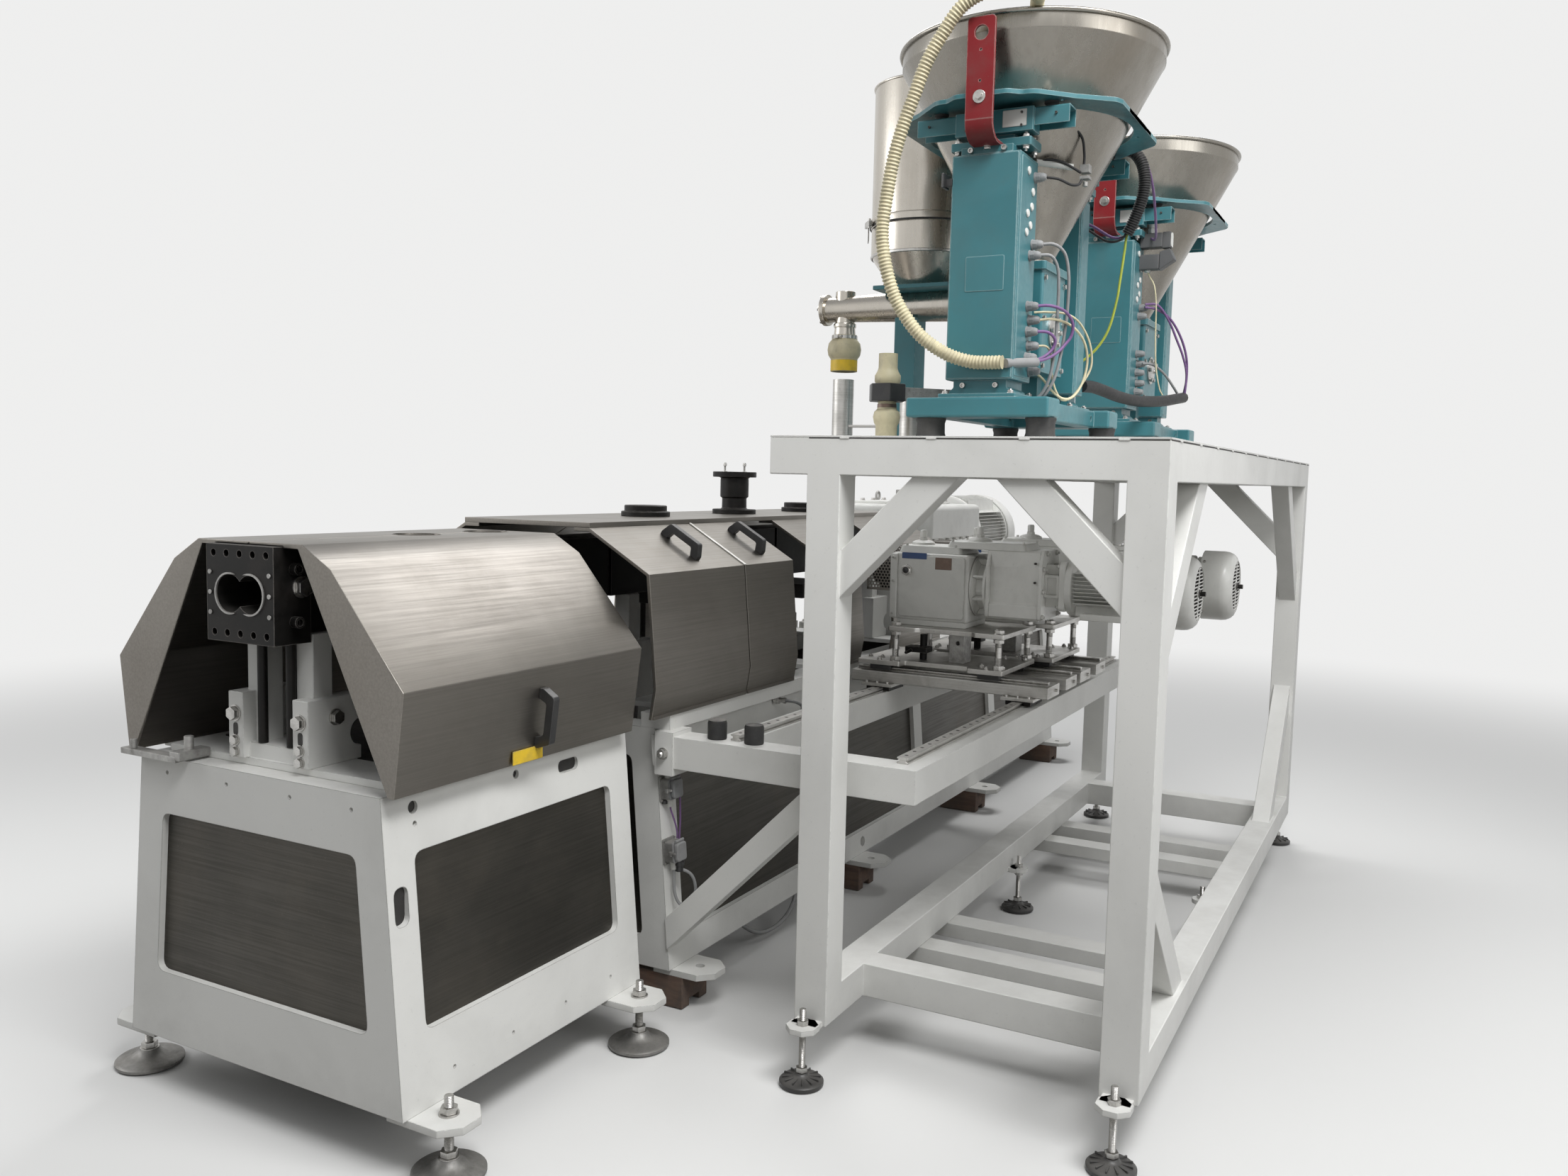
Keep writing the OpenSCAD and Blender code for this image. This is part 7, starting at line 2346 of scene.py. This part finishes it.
@dataclass
class ThirdFeeder:
    """The small feeder behind the first: drum, screw tube, spout, sleeve and pipes."""

    x: float = 1.83
    y: float = -1.01
    axis: float = 2.259
    spout: float = -0.722
    motor_end: float = -1.204

    def build(self, bench: Bench) -> None:
        """Builds the third feeder.

        Args:
            bench: The modelling bench.
        """
        x, y, z, spout, motor_end = self.x, self.y, self.axis, self.spout, self.motor_end
        stand = [bench.softened("feeder_3_stand", 0.0025)]
        stand += [bench.slab([(y + 0.085, 1.812), (y + 0.128, 1.812), (y + 0.085, 1.9)], "x", x + s * 0.03
            - 0.004, x + s * 0.03 + 0.004, 0.001) for s in SIDES]
        bench.finish(stand, "third_stand", TEAL, stands_for=["feeder_3_stand"])
        drum = mm([(110, 2313), (179.5, 2413), (180, 2418), (180, 2503), (185, 2506), (186.2, 2510),
            (186.2, 2526), (185, 2530), (180, 2533), (180, 2944), (183.5, 2945.5), (184.5, 2948.5),
            (183, 2951), (177.5, 2951), (177.5, 2415), (107.5, 2313)])
        bench.finish(bench.lathe(drum, (x, y, 0), "z", 80), "third_drum", DRUM,
            stands_for=["feeder_3_hopper"], angle=40.0)
        seam = bench.lathe(mm([(177.8, 2406), (181.2, 2407.5), (182, 2411), (181.2, 2414.5), (179.5, 2416)]),
            (x, y, 0), "z", 80)
        turn = math.radians(128)
        out, along = Vector((math.cos(turn), math.sin(turn), 0)), Vector((-math.sin(turn), math.cos(turn), 0))
        hub = Vector((x, y, 2.5105)) + 0.196 * out
        latch = [bench.block((-0.026, -0.007, -0.01), (0.026, 0.007, 0.01), 0.002),
            bench.rod((0.018, 0.002, -0.014), (0.018, 0.002, 0.016), 0.0045, sides=16, bevel=0.001),
            bench.slab(mm([(-4, -5), (4, -5), (5, -52), (-2, -60)]), "y", -0.0015, 0.0015)]
        turned = bench.join(latch)
        turned.data.transform(Matrix.Translation(hub) @ Matrix((along, out,
            Vector((0, 0, 1)))).transposed().to_4x4())
        bench.finish([seam, turned], "third_drum_band", BRIGHT)
        strap = bench.lathe(mm([(184, 2503.5), (186.8, 2503.5), (186.8, 2509.5), (184, 2509.5)]), (x, y, 0),
            "z", 80)
        bench.finish(strap, "third_drum_strap", RUBBER)
        tube = [bench.rod((x, -1.2, z), (x, -0.7, z), 0.058, tip=0.042, sides=56),
            bench.rod((x, -0.702, z), (x, -0.652, z), 0.042, sides=48),
            bench.rod((x, -0.66, z), (x, -0.644, z), 0.053, sides=48, bevel=0.002),
            bench.rod((x, spout, 2.24), (x, spout, 2.149), 0.031, tip=0.0395, sides=44),
            bench.rod((x, spout, 2.27), (x, spout, 2.318), 0.034, sides=40, bevel=0.003),
            bench.rod((x, spout, 2.196), (x, spout, 2.212), 0.0385, sides=40, bevel=0.004),
            bench.rod((x, motor_end, z), (x, -1.19, z), 0.064, sides=48, bevel=0.002)]
        bench.finish(tube, "third_screw_tube", DRUM, stands_for=["feeder_3_screw"])
        motor = bench.lathe(mm([(0, 0), (60, 0), (60, 96), (52, 112), (30, 126), (0, 126)]),
            (x, motor_end, z), "-y", 40)
        fins = motor_fins(bench, 0.057, 0.066, 0.08, 0.0125, 7)
        fins.data.transform(spot(x, -1.214, z))
        bench.finish([motor, fins], "third_motor", MACHINE)
        spots = [facing((x + 0.046 * math.cos(a), -0.644, z + 0.046 * math.sin(a)), (0, 1, 0))
            for a in angles(6)]
        spots += [facing((x + 0.05 * math.cos(a), motor_end, z + 0.05 * math.sin(a)), (0, -1, 0))
            for a in angles(4)]
        bench.finish(bench.placed(bench.hex_bolt(0.007), spots), "third_flange_bolts", BRIGHT)
        sleeve = mm([(40, 2172), (42.5, 2172), (43.7, 2157), (54, 2144), (57.7, 2123), (54.5, 2104),
            (47, 2093), (44.5, 2087), (44.5, 2049), (40, 2049)])
        bench.finish(bench.lathe(sleeve, (x, spout, 0), "z", 44), "third_sleeve", CREAM,
            stands_for=["clear_sleeves"])
        bench.finish(bench.lathe(mm([(44.3, 2050), (46, 2050), (46, 2088), (44.3, 2088)]), (x, spout, 0), "z",
            44), "third_sleeve_band", YELLOW)
        clamp = bench.lathe(mm([(42.4, 2159), (44.2, 2159), (44.2, 2170), (42.4, 2170)]), (x, spout, 0), "z",
            44)
        screw = bench.join([bench.block((x - 0.055, spout, 2.158), (x - 0.041, -0.708, 2.171), 0.001),
            bench.rod((x - 0.048, -0.735, 2.1645), (x - 0.048, -0.7, 2.1645), 0.004, sides=12)])
        bench.finish([clamp, screw], "third_sleeve_clamp", BRIGHT)
        wall = [(0.033, 0.0), (0.036, 0.0), (0.036, 1.0), (0.033, 1.0)]
        pipes = []
        for px, py, low, high in ((x, spout, 1.74, 2.022), (1.365, -1.17, 1.8, 1.95)):
            pipes.append(bench.lathe([(r, low + h * (high - low)) for r, h in wall], (px, py, 0), "z", 48))
        pipes.append(bench.block((x - 0.02, y + 0.08, 1.86), (x + 0.02, -0.754, 1.868), 0.001))
        bench.finish(pipes, "third_down_pipes", ALUMINIUM, stands_for=["down_pipes"])


@dataclass
class FeederTable:
    """The table beside the machine: box tubes, guide rails and rubber stops."""

    x0: float = 1.11
    x1: float = 3.71

    def build(self, bench: Bench) -> None:
        """Builds the table.

        Args:
            bench: The modelling bench.
        """
        bench.finish(bench.softened("feeder_table", 0.004), "table_tubes", WHITE, stands_for=["feeder_table"],
            angle=40.0)
        head = mm([(0, 0), (17, 0), (17, 6), (10, 9), (10, 16.5), (17, 19.5), (17, 24.5), (14.5, 25.5),
            (0, 25.5)])
        rails, dots = [], []
        for y in GUIDE_LINES:
            outline = [(y + r, TABLE_TOP + h * 0.78) for r, h in head] + [(y - r, TABLE_TOP + h * 0.78)
                for r, h in reversed(head[1:-1])]
            rails.append(bench.slab(outline, "x", self.x0 + 0.06, self.x1 - 0.06, 0.0005, 1))
            for i in range(41):
                x = self.x0 + 0.09 + i * 0.06
                if x < self.x1 - 0.07:
                    dots.append(spot(x, y, 0.8998))
        dot = bench.lathe(mm([(0, 0), (5.8, 0), (5.8, 0.6), (4.2, 0.8), (0, 0.3)]), (0, 0, 0), "z", 14)
        bench.finish(rails, "table_guide_rails", ALUMINIUM, stands_for=["table_rails"])
        bench.finish(bench.placed(dot, dots), "table_rail_screws", BLACK_STEEL)
        stop = bench.lathe(mm([(0, 0), (29, 0), (30, 3), (30, 50), (27, 58), (20, 60), (0, 60)]), (0, 0, 0),
            "z", 40)
        caps = bench.placed(stop, [spot(self.x0 + 0.06, y, TABLE_TOP) for y in (-0.64, -0.77)])
        bench.finish(caps, "table_rubber_stops", RUBBER, stands_for=["table_bumpers"])
        plates = [bench.block((x - 0.006 if x == self.x0 else x - 0.104, -0.52, 0.756),
            (x + 0.104 if x == self.x0 else x + 0.006, -0.452, 0.894), 0.003) for x in (self.x0, self.x1)]
        bench.finish(plates, "table_end_plates", WHITE)
        bolts = [facing((self.x0 - 0.0062, -0.486, 0.826), (-1, 0, 0)),
            facing((self.x1 + 0.0062, -0.486, 0.826), (1, 0, 0))]
        bench.finish(bench.placed(bench.hex_bolt(0.018, 0.01), bolts), "table_end_bolts", BRIGHT)


@dataclass
class RearModule:
    """The rear frame, its blocks, hoods, barrel, ports and wiring."""

    leads: tuple[
        Lead, ...] = (
        Lead("socket_lead_1", CABLE_PURPLE, 0.003, mm(((1169.5, -472, 644), (1170, -474, 632),
        (1172.5, -479, 616), (1176, -484, 598), (1180, -489, 576), (1181.5, -492, 556),
        (1181.5, -492, 540)))),
        Lead("socket_lead_2", CABLE_PURPLE, 0.003, mm(((1169.5, -463, 757), (1170, -463, 770),
        (1174, -464, 783), (1184, -468, 790), (1195, -473, 784), (1202, -478, 768), (1204, -481, 742),
        (1203.5, -484, 700), (1202, -488, 650), (1198, -492, 600), (1193, -494, 565), (1190, -495, 545),
        (1189.5, -495, 532)))),
        Lead("socket_conduit", CABLE_GREY, 0.005, mm(((1169, -490, 442), (1168, -491, 425), (1165, -493, 398),
        (1164, -497, 370), (1168, -504, 345), (1176, -513, 330), (1187, -524, 326), (1198, -535, 334),
        (1206, -543, 352), (1209, -546, 376), (1208, -543, 400), (1203, -536, 420), (1196, -526, 432),
        (1188, -514, 439), (1181, -504, 441)))),
        Lead("rear_short_hose", CABLE_GREY, 0.0055, mm(((1905, -486, 872), (1906, -498, 872),
        (1914, -512, 870), (1930, -522, 864), (1950, -526, 854), (1970, -522, 840), (1986, -510, 824),
        (1996, -494, 806), (2000, -476, 788), (2002, -462, 772))), stiffness="stiff"),
        Lead("floor_cable_1", CABLE_GREY, 0.0075, mm(((2020, -485, 150), (2018, -486, 118), (2000, -488, 88),
        (1965, -488, 60), (1920, -486, 42), (1865, -484, 34), (1805, -482, 36), (1745, -480, 50),
        (1695, -474, 74), (1655, -462, 104), (1635, -450, 128)))))

    x0: float = 1.134
    x1: float = 5.4
    hoods: tuple[Pair, ...] = mm(((1030, 1600), (1606, 1955), (2200, 2540), (2850, 3434)))
    gaps: tuple[Pair, ...] = ((1.962, 2.193), (2.548, 2.842))
    low_ports: Pair = (1.7, 2.93)
    tall_port: float = 2.335
    strip_top: float = 1.532
    box_x: float = 1.1695

    def build(self, bench: Bench) -> None:
        """Builds every piece of the rear module.

        Args:
            bench: The modelling bench.
        """
        holes = [bench.rod((2.607, -0.6, 0.1705), (2.607, -0.3, 0.1705), 0.02)]
        frame = MachineFrame("rear", self.x0, self.x1, REAR_BASE, 4, "rear_frame", "rear_panels", 0.095,
            0.095)
        ledge = [bench.slab([(s * 0.38, 0.892), (s * 0.49, 0.892), (s * 0.49, 0.942), (s * 0.38, 0.942)], "x",
            self.x0, 3.66, 0.002) for s in SIDES]
        frame.build(bench, holes, ledge)
        for node, width, finish in (("rear_foot_plates", 0.002, WHITE), ("rear_top_strip", 0.0015, HOOD),
                ("rear_barrel", 0.002, BLACK_STEEL), ("rear_pillars", 0.003, WHITE)):
            bench.finish(bench.softened(node, width), node + "_piece", finish, stands_for=[node])
        self._blocks(bench)
        self._hoods(bench)
        self._ports(bench)
        self._wiring(bench)

    @staticmethod
    def _blocks(bench: Bench) -> None:
        """The timber blocks under the frame with two grooves across their tops.

        Args:
            bench: The modelling bench.
        """
        blocks = bench.softened("timber_blocks", 0.0)
        middles = sorted({round(v.co.x, 3) for v in blocks.data.vertices})
        starts = [x for x in middles if round(x + 0.15, 3) in middles and round(x + 0.045, 3) in middles]
        grooves = [bench.block((x + k, -0.6, 0.088), (x + k + 0.016, 0.6, 0.11)) for x in starts
            for k in (0.04, 0.094)]
        bench.finish(bench.round(bench.cut(blocks, grooves), 0.003, 2), "timber_blocks_grooved", TIMBER,
            stands_for=["timber_blocks"])

    def _hoods(self, bench: Bench) -> None:
        """The hoods with their bright seams and hems, and painted shade seen through the gaps.

        Args:
            bench: The modelling bench.
        """
        seams = []
        for side, s in (("right", -1), ("left", 1)):
            hood = bench.softened(f"rear_hoods_{side}", 0.0018)
            seams.append(bench.slab([(s * 0.2535, 1.5196), (s * 0.2525, 1.515), (s * 0.477, 1.3832),
                (s * 0.4802, 1.3874)], "x", 1.5965, 1.6095, 0.0008))
            bench.finish(hood, f"rear_hoods_{side}_shell", HOOD, stands_for=[f"rear_hoods_{side}"])
        bench.finish(seams, "rear_hood_seams", ALUMINIUM)
        hems = []
        for x0, x1 in self.hoods:
            for s in SIDES:
                a, b = sorted((s * 0.489, s * 0.4965))
                hems.append(bench.block((x0 + 0.004, a, 0.9415), (x1 - 0.004, b, 0.953), 0.001))
        bench.finish(hems, "rear_hood_hems", HOOD)
        # Painted shade: dark blocks and rods stand for the shade seen through the gaps between the hoods.
        hood_gap_shades = [bench.block((x0, -0.215, 1.18), (x1, 0.215, 1.24), 0.004) for x0, x1 in self.gaps]
        hood_gap_shades += [bench.rod((x, s * 0.235, 0.945), (x, s * 0.235, 1.395), 0.012, sides=20)
            for x in (2.03, 2.12, 2.62, 2.76) for s in SIDES]
        bench.finish(hood_gap_shades, "rear_hood_gap_shade", PAINTED_SHADE)

    def _ports(self, bench: Bench) -> None:
        """Vent and feed ports: flange and step on two of them, a banded neck and two studs on the tall one.

        Args:
            bench: The modelling bench.
        """
        z, parts = self.strip_top, []
        step = mm([(0, 0), (86.8, 0), (88.8, 2), (88.8, 16), (86.8, 18), (79, 18.8), (77.2, 20.5),
            (77.2, 37.2), (74.8, 39.8), (56, 40.2), (52, 38.5), (47.2, 38), (46.8, 36), (46.8, 6), (0, 6)])
        for x in self.low_ports:
            parts.append(bench.lathe(step, (x, 0, z), "z", 72))
        neck = mm([(0, 0), (86.8, 0), (88.8, 2), (88.8, 16), (86.8, 18), (56, 19.2), (50.5, 23.5), (50, 62),
            (52.5, 65), (57, 68), (57.8, 71), (57.8, 137), (56.5, 143), (62, 147.5), (86.8, 148.2),
            (88.8, 150.2), (88.8, 168), (86.8, 170), (56, 170.2), (51, 168), (47.2, 166), (46.8, 160),
            (46.8, 6), (0, 6)])
        parts.append(bench.lathe(neck, (self.tall_port, 0, z), "z", 72))
        bench.finish(parts, "vent_port_flanges", BLACK_STEEL, stands_for=["vent_ports"], angle=40.0)
        stud = bench.join([bench.rod((0, 0, -0.002), (0, 0, 0.0015), 0.0095, sides=24, bevel=0.0005),
            bench.thread(0.0042, -0.001, 0.026), bench.rod((0, 0, 0.022), (0, 0, 0.033), 0.008, sides=6,
            bevel=0.001), bench.rod((0, 0, 0.032), (0, 0, 0.036), 0.0055, sides=16, bevel=0.001)])
        spots = [spot(self.tall_port + 0.078 * math.cos(a), 0.078 * math.sin(a), z + 0.17)
            for a in (math.radians(180), math.radians(240))]
        bench.finish(bench.placed(stud, spots), "vent_port_studs", BRIGHT)

    def _wiring(self, bench: Bench) -> None:
        """Two die-cast socket boxes on the near post, their leads and the conduit, and the pipe fitting.

        Args:
            bench: The modelling bench.
        """
        box, lids, glands, screws = [], [], [], []
        lean = math.atan(FRAME_INSET / FRAME_HEIGHT)
        for z in (0.7, 0.5):
            half = FRAME_HALF - FRAME_INSET * (z - REAR_BASE) / FRAME_HEIGHT
            place = spot(self.box_x, -half, z) @ Matrix.Rotation(-lean, 4, "X")
            body = [bench.slab(rounded((-0.034, -0.041), (0.034, 0.041), 0.006), "y", -0.005, 0.004, 0.0015),
                bench.slab(rounded((-0.029, -0.033), (0.029, 0.033), 0.01), "y", -0.035, -0.004, 0.003),
                bench.block((-0.04, -0.037, -0.01), (-0.027, -0.026, 0.006), 0.002),
                bench.block((-0.038, -0.05, -0.004), (-0.03, -0.03, 0.003), 0.002)]
            lid = [bench.slab(rounded((-0.03, -0.034), (0.03, 0.034), 0.01), "y", -0.039, -0.0335, 0.0015),
                bench.slab(rounded((-0.026, -0.03), (0.026, 0.03), 0.012), "y", -0.054, -0.038, 0.005, 3),
                bench.rod((-0.022, -0.043, 0.034), (0.022, -0.043, 0.034), 0.005, sides=16)]
            box.append(bench.placed(bench.join(body), [place]))
            lids.append(bench.placed(bench.join(lid), [place]))
            ends = [bench.join([bench.rod((0, -0.017, s * 0.031), (0, -0.017, s * 0.04), 0.0125, sides=20,
                bevel=0.001), bench.rod((0, -0.017, s * 0.039), (0, -0.017, s * 0.06), 0.0105, sides=8,
                bevel=0.002)]) for s in ((1, -1) if z > 0.6 else (-1,))]
            glands.append(bench.placed(bench.join(ends), [place]))
            corners = [place @ facing((u * 0.0295, -0.005, v * 0.0365), (0, -1, 0)) for u in SIDES
                for v in SIDES]
            screws.append(bench.placed(bench.socket_bolt(0.004), corners))
        bench.finish(box, "socket_box_bodies", GREY_STEEL, stands_for=["socket_boxes"])
        bench.finish(lids, "socket_box_lids", CABLE_GREY)
        bench.finish(glands, "socket_box_glands", MACHINE)
        bench.finish(screws, "socket_box_screws", BRIGHT)
        plug = bench.lathe(mm([(0, 0), (12, 0), (13, 4), (13, 18), (16, 20), (16, 34), (12, 38), (0, 38)]),
            (1.18, -0.503, 0.436), "z", 24)
        bench.finish([plug, bench.rod((1.157, -0.458, 0.652), (1.157, -0.458, 0.664), 0.01, sides=20)],
            "socket_box_plugs", BLACK_PLASTIC)
        elbow = [bench.rod((1.905, -0.442, 0.872), (1.905, -0.452, 0.872), 0.017, sides=24, bevel=0.001),
            bench.rod((1.905, -0.45, 0.872), (1.905, -0.462, 0.872), 0.015, sides=6, bevel=0.001),
            bench.rod((1.905, -0.46, 0.872), (1.905, -0.478, 0.872), 0.009, sides=24, bevel=0.001),
            bench.rod((1.905, -0.476, 0.872), (1.905, -0.488, 0.872), 0.0115, sides=6, bevel=0.001)]
        bench.finish(elbow, "rear_pipe_fitting", BRIGHT)
        for lead in self.leads:
            lead.build(bench)


@dataclass
class Drive:
    """The reduction gearbox, the coupling guard and the main motor at the far end."""

    z: float = BARREL_AXIS
    base: float = 0.894
    gearbox: Pair = (3.68, 4.44)
    guard: Pair = (4.44, 4.7)
    motor: float = 4.7

    def build(self, bench: Bench) -> None:
        """Builds the drive.

        Args:
            bench: The modelling bench.
        """
        self._gearbox(bench)
        self._guard(bench)
        self._motor(bench)

    def _gearbox(self, bench: Bench) -> None:
        """Cast housing in two halves with ribs, bearing caps, cover and bolts.

        Args:
            bench: The modelling bench.
        """
        (x0, x1), z0 = self.gearbox, self.base
        parts = [bench.block((x0 + 0.01, -0.34, z0), (x1 - 0.01, 0.34, 1.362), 0.016, 3),
            bench.block((x0 + 0.02, -0.33, 1.36), (x1 - 0.02, 0.33, 1.56), 0.028, 4),
            bench.slab(rounded((x0, -0.35), (x1, 0.35), 0.02), "z", 1.344, 1.384, 0.004),
            bench.slab(rounded((x0, -0.39), (x1 - 0.02, 0.39), 0.016), "z", z0, z0 + 0.04, 0.004),
            bench.slab(rounded((x0 + 0.14, -0.2), (x1 - 0.14, 0.2), 0.02), "z", 1.558, 1.572, 0.003)]
        for s in SIDES:
            parts += [bench.slab([(s * 0.338, z0 + 0.03), (s * 0.385, z0 + 0.038), (s * 0.349, 1.346),
                (s * 0.338, 1.346)], "x", x - 0.007, x + 0.007, 0.002)
                for x in (x0 + 0.07 + i * 0.124 for i in range(6))]
        cap = mm([(0, 0), (150, 0), (150, 12), (140, 20), (110, 24), (100, 34), (0, 34)])
        parts.append(bench.lathe(cap, (x1 - 0.012, 0, self.z), "x", 56))
        parts.append(bench.lathe([(r, min(h, 0.024)) for r, h in cap], (x0 + 0.012, 0, self.z), "-x", 56))
        bench.finish(parts, "drive_gearbox_housing", MACHINE, stands_for=["drive_gearbox"], angle=40.0)
        bolts = [facing((x, s * 0.342, 1.384), (0, 0, 1)) for s in SIDES
            for x in (x0 + 0.03 + i * 0.1 for i in range(8))]
        bolts += [spot(x, s * 0.368, z0 + 0.04) for s in SIDES for x in (x0 + 0.03, x0 + 0.3, x0 + 0.6)]
        bolts += [facing((x1, 0.13 * math.cos(a), self.z + 0.13 * math.sin(a)), (1, 0, 0)) for a in angles(8)]
        bolts += [spot(x, s * 0.18, 1.572) for s in SIDES for x in (x0 + 0.17, x0 + 0.31, x0 + 0.45, x0
            + 0.59)]
        bench.finish(bench.placed(bench.hex_bolt(0.014), bolts), "drive_gearbox_bolts", BRIGHT)
        eyes = [bench.lathe([(0.022 + 0.007 * math.cos(a), 0.007 * math.sin(a)) for a in angles(10)],
            (x, y, 1.592), "y", 28) for x, y in ((x0 + 0.07, -0.26), (x1 - 0.07, 0.26))]
        fittings = [bench.rod((x0 + 0.4, 0.0, 1.571), (x0 + 0.4, 0.0, 1.6), 0.02, sides=6, bevel=0.002),
            bench.rod((x0 + 0.4, 0, 1.598), (x0 + 0.4, 0, 1.632), 0.026, sides=28, bevel=0.006),
            bench.lathe(mm([(0, 0), (30, 0), (30, 8), (22, 11), (0, 11)]), (x0 + 0.52, -0.339, 1.1), "-y",
            32)]
        bench.finish([*eyes, *fittings], "drive_gearbox_fittings", GREY_STEEL)

    def _guard(self, bench: Bench) -> None:
        """The rolled coupling guard with slots and flanges, and the coupling halves inside it.

        Args:
            bench: The modelling bench.
        """
        hood = [(-0.16, self.base + 0.002), (0.16, self.base + 0.002), (0.16, self.z)]
        hood += [(0.16 * math.cos(a), self.z + 0.16 * math.sin(a))
            for a in (math.radians(d) for d in range(10, 171, 10))] + [(-0.16, self.z)]
        shell = bench.slab(hood, "x", *self.guard)
        slots = [bench.slab(rounded((x - 0.007, zz - 0.035), (x + 0.007, zz + 0.035), 0.0068), "y", -0.2, 0.2)
            for x in (4.5 + 0.028 * i for i in range(6)) for zz in (1.1, 1.22)]
        core = bench.block((4.444, -0.152, self.base + 0.02), (4.696, 0.152, self.z + 0.05))
        bench.cut(shell, [core, *slots])
        rims = [bench.block((x, -0.172, self.base), (x + 0.006, 0.172, self.base + 0.14), 0.001)
            for x in (4.452, 4.682)]
        bench.finish([bench.round(shell, 0.0015, 1), *rims], "coupling_guard_shell", GUARD_BLACK,
            stands_for=["coupling_guard"])
        inside = [bench.lathe(mm([(0, 0), (60, 0), (62, 20), (105, 30), (105, 100), (98, 105), (98, 155),
            (105, 160), (105, 225), (62, 235), (60, 248), (0, 248)]), (4.446, 0, self.z - 0.1), "x", 36)]
        bench.finish(inside, "coupling_halves", BLACK_STEEL)

    def _motor(self, bench: Bench) -> None:
        """The finned main motor with end shields, feet, terminal box, fan cowl and painted shade in the cowl.

        Args:
            bench: The modelling bench.
        """
        x0, z = self.motor, self.z
        body = mm([(0, 0), (120, 0), (215, 8), (228, 14), (228, 50), (200, 56), (196, 60), (196, 500),
            (222, 506), (222, 532), (0, 532)])
        parts = [bench.lathe(body, (x0, 0, z), "x", 64)]
        fins = motor_fins(bench, 0.193, 0.226, 0.44, 0.019, 15)
        fins.data.transform(spot(x0 + 0.5, 0, z) @ Matrix.Rotation(-math.pi / 2, 4, "Z"))
        parts.append(fins)
        cowl = mm([(224, 0), (230, 0), (230, 110), (226, 135), (214, 154), (196, 163), (170, 168), (166, 168),
            (166, 160), (206, 150), (222, 125)])
        parts.append(bench.lathe(cowl, (x0 + 0.532, 0, z), "x", 64))
        grill = bench.join(fan_grill(bench, (0, 0, 0), 0.168, 0.016))
        grill.data.transform(spot(x0 + 0.699, 0, z) @ Matrix.Rotation(math.pi / 2, 4, "Z"))
        parts.append(grill)
        parts += [bench.block((x, -0.205, self.base), (x + 0.11, 0.205, self.base + 0.028), 0.005)
            for x in (x0 + 0.075, x0 + 0.4)]
        parts += [bench.slab([(-0.19, self.base + 0.02), (-0.12, self.base + 0.02), (-0.12, z - 0.12),
            (-0.19, z - 0.1)], "x", x, x + 0.024, 0.003) for x in (x0 + 0.115, x0 + 0.445)]
        parts += [bench.slab([(0.12, self.base + 0.02), (0.19, self.base + 0.02), (0.19, z - 0.1),
            (0.12, z - 0.12)], "x", x, x + 0.024, 0.003) for x in (x0 + 0.115, x0 + 0.445)]
        parts += [bench.block((x0 + 0.06, -0.15, self.base), (x0 + 0.6, 0.15, z - 0.175), 0.006)]
        parts += [bench.slab(rounded((x0 + 0.122, z + 0.07), (x0 + 0.398, z + 0.254), 0.014), "y", 0.1, 0.296,
            0.004), bench.slab(rounded((x0 + 0.118, z + 0.064), (x0 + 0.402, z + 0.26), 0.016), "y", 0.294,
            0.32, 0.006, 3)]
        bench.finish(parts, "main_motor_housing", MACHINE, stands_for=["main_motor"], angle=40.0)
        # Painted shade: a dark disc inside the fan cowl, behind the grill.
        dark = bench.lathe(mm([(0, 0), (215, 0), (215, 4), (0, 4)]), (x0 + 0.66, 0, z), "x", 48)
        bench.finish(dark, "main_motor_cowl_dark_shade", PAINTED_SHADE)
        bolts = [spot(x + 0.055, s * 0.18, self.base + 0.028) for s in SIDES for x in (x0 + 0.055, x0 + 0.42)]
        bolts += [facing((x, 0.3202, h), (0, 1, 0)) for x in (x0 + 0.14, x0 + 0.38)
            for h in (z + 0.085, z + 0.238)]
        glands = [bench.join([bench.rod((x0 + 0.18 + k, 0.21, z + 0.066), (x0 + 0.18 + k, 0.21, z + 0.048),
            0.024, sides=8, bevel=0.002), bench.rod((x0 + 0.18 + k, 0.21, z + 0.05),
            (x0 + 0.18 + k, 0.21, z + 0.03), 0.018, sides=24, bevel=0.003)]) for k in (0.0, 0.09)]
        bench.finish([bench.placed(bench.hex_bolt(0.016), bolts), *glands], "main_motor_bolts", BRIGHT)


def main() -> None:
    """Builds the dressed extruder line and its studio."""
    logging.basicConfig(level=logging.INFO, format="%(message)s")
    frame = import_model()
    bench = Bench(frame)
    studio = Studio()
    studio.camera()
    CreamHose().build(bench)
    FeederCables().build(bench)
    studio.lamps()
    studio.world()
    studio.floor(bench)
    groups = (FrontModule(), RearModule(), Drive(), FeederTable(), SideFeeder(1, 2.445, 0.0),
        SideFeeder(2, 2.89, 0.06), Platform(), DosingFeeders(), ThirdFeeder())
    for group in groups:
        group.build(bench)
        LOG.info("%s built, %d pieces so far", type(group).__name__, bench.count)
    bench.clear()


if __name__ == "__main__":
    main()
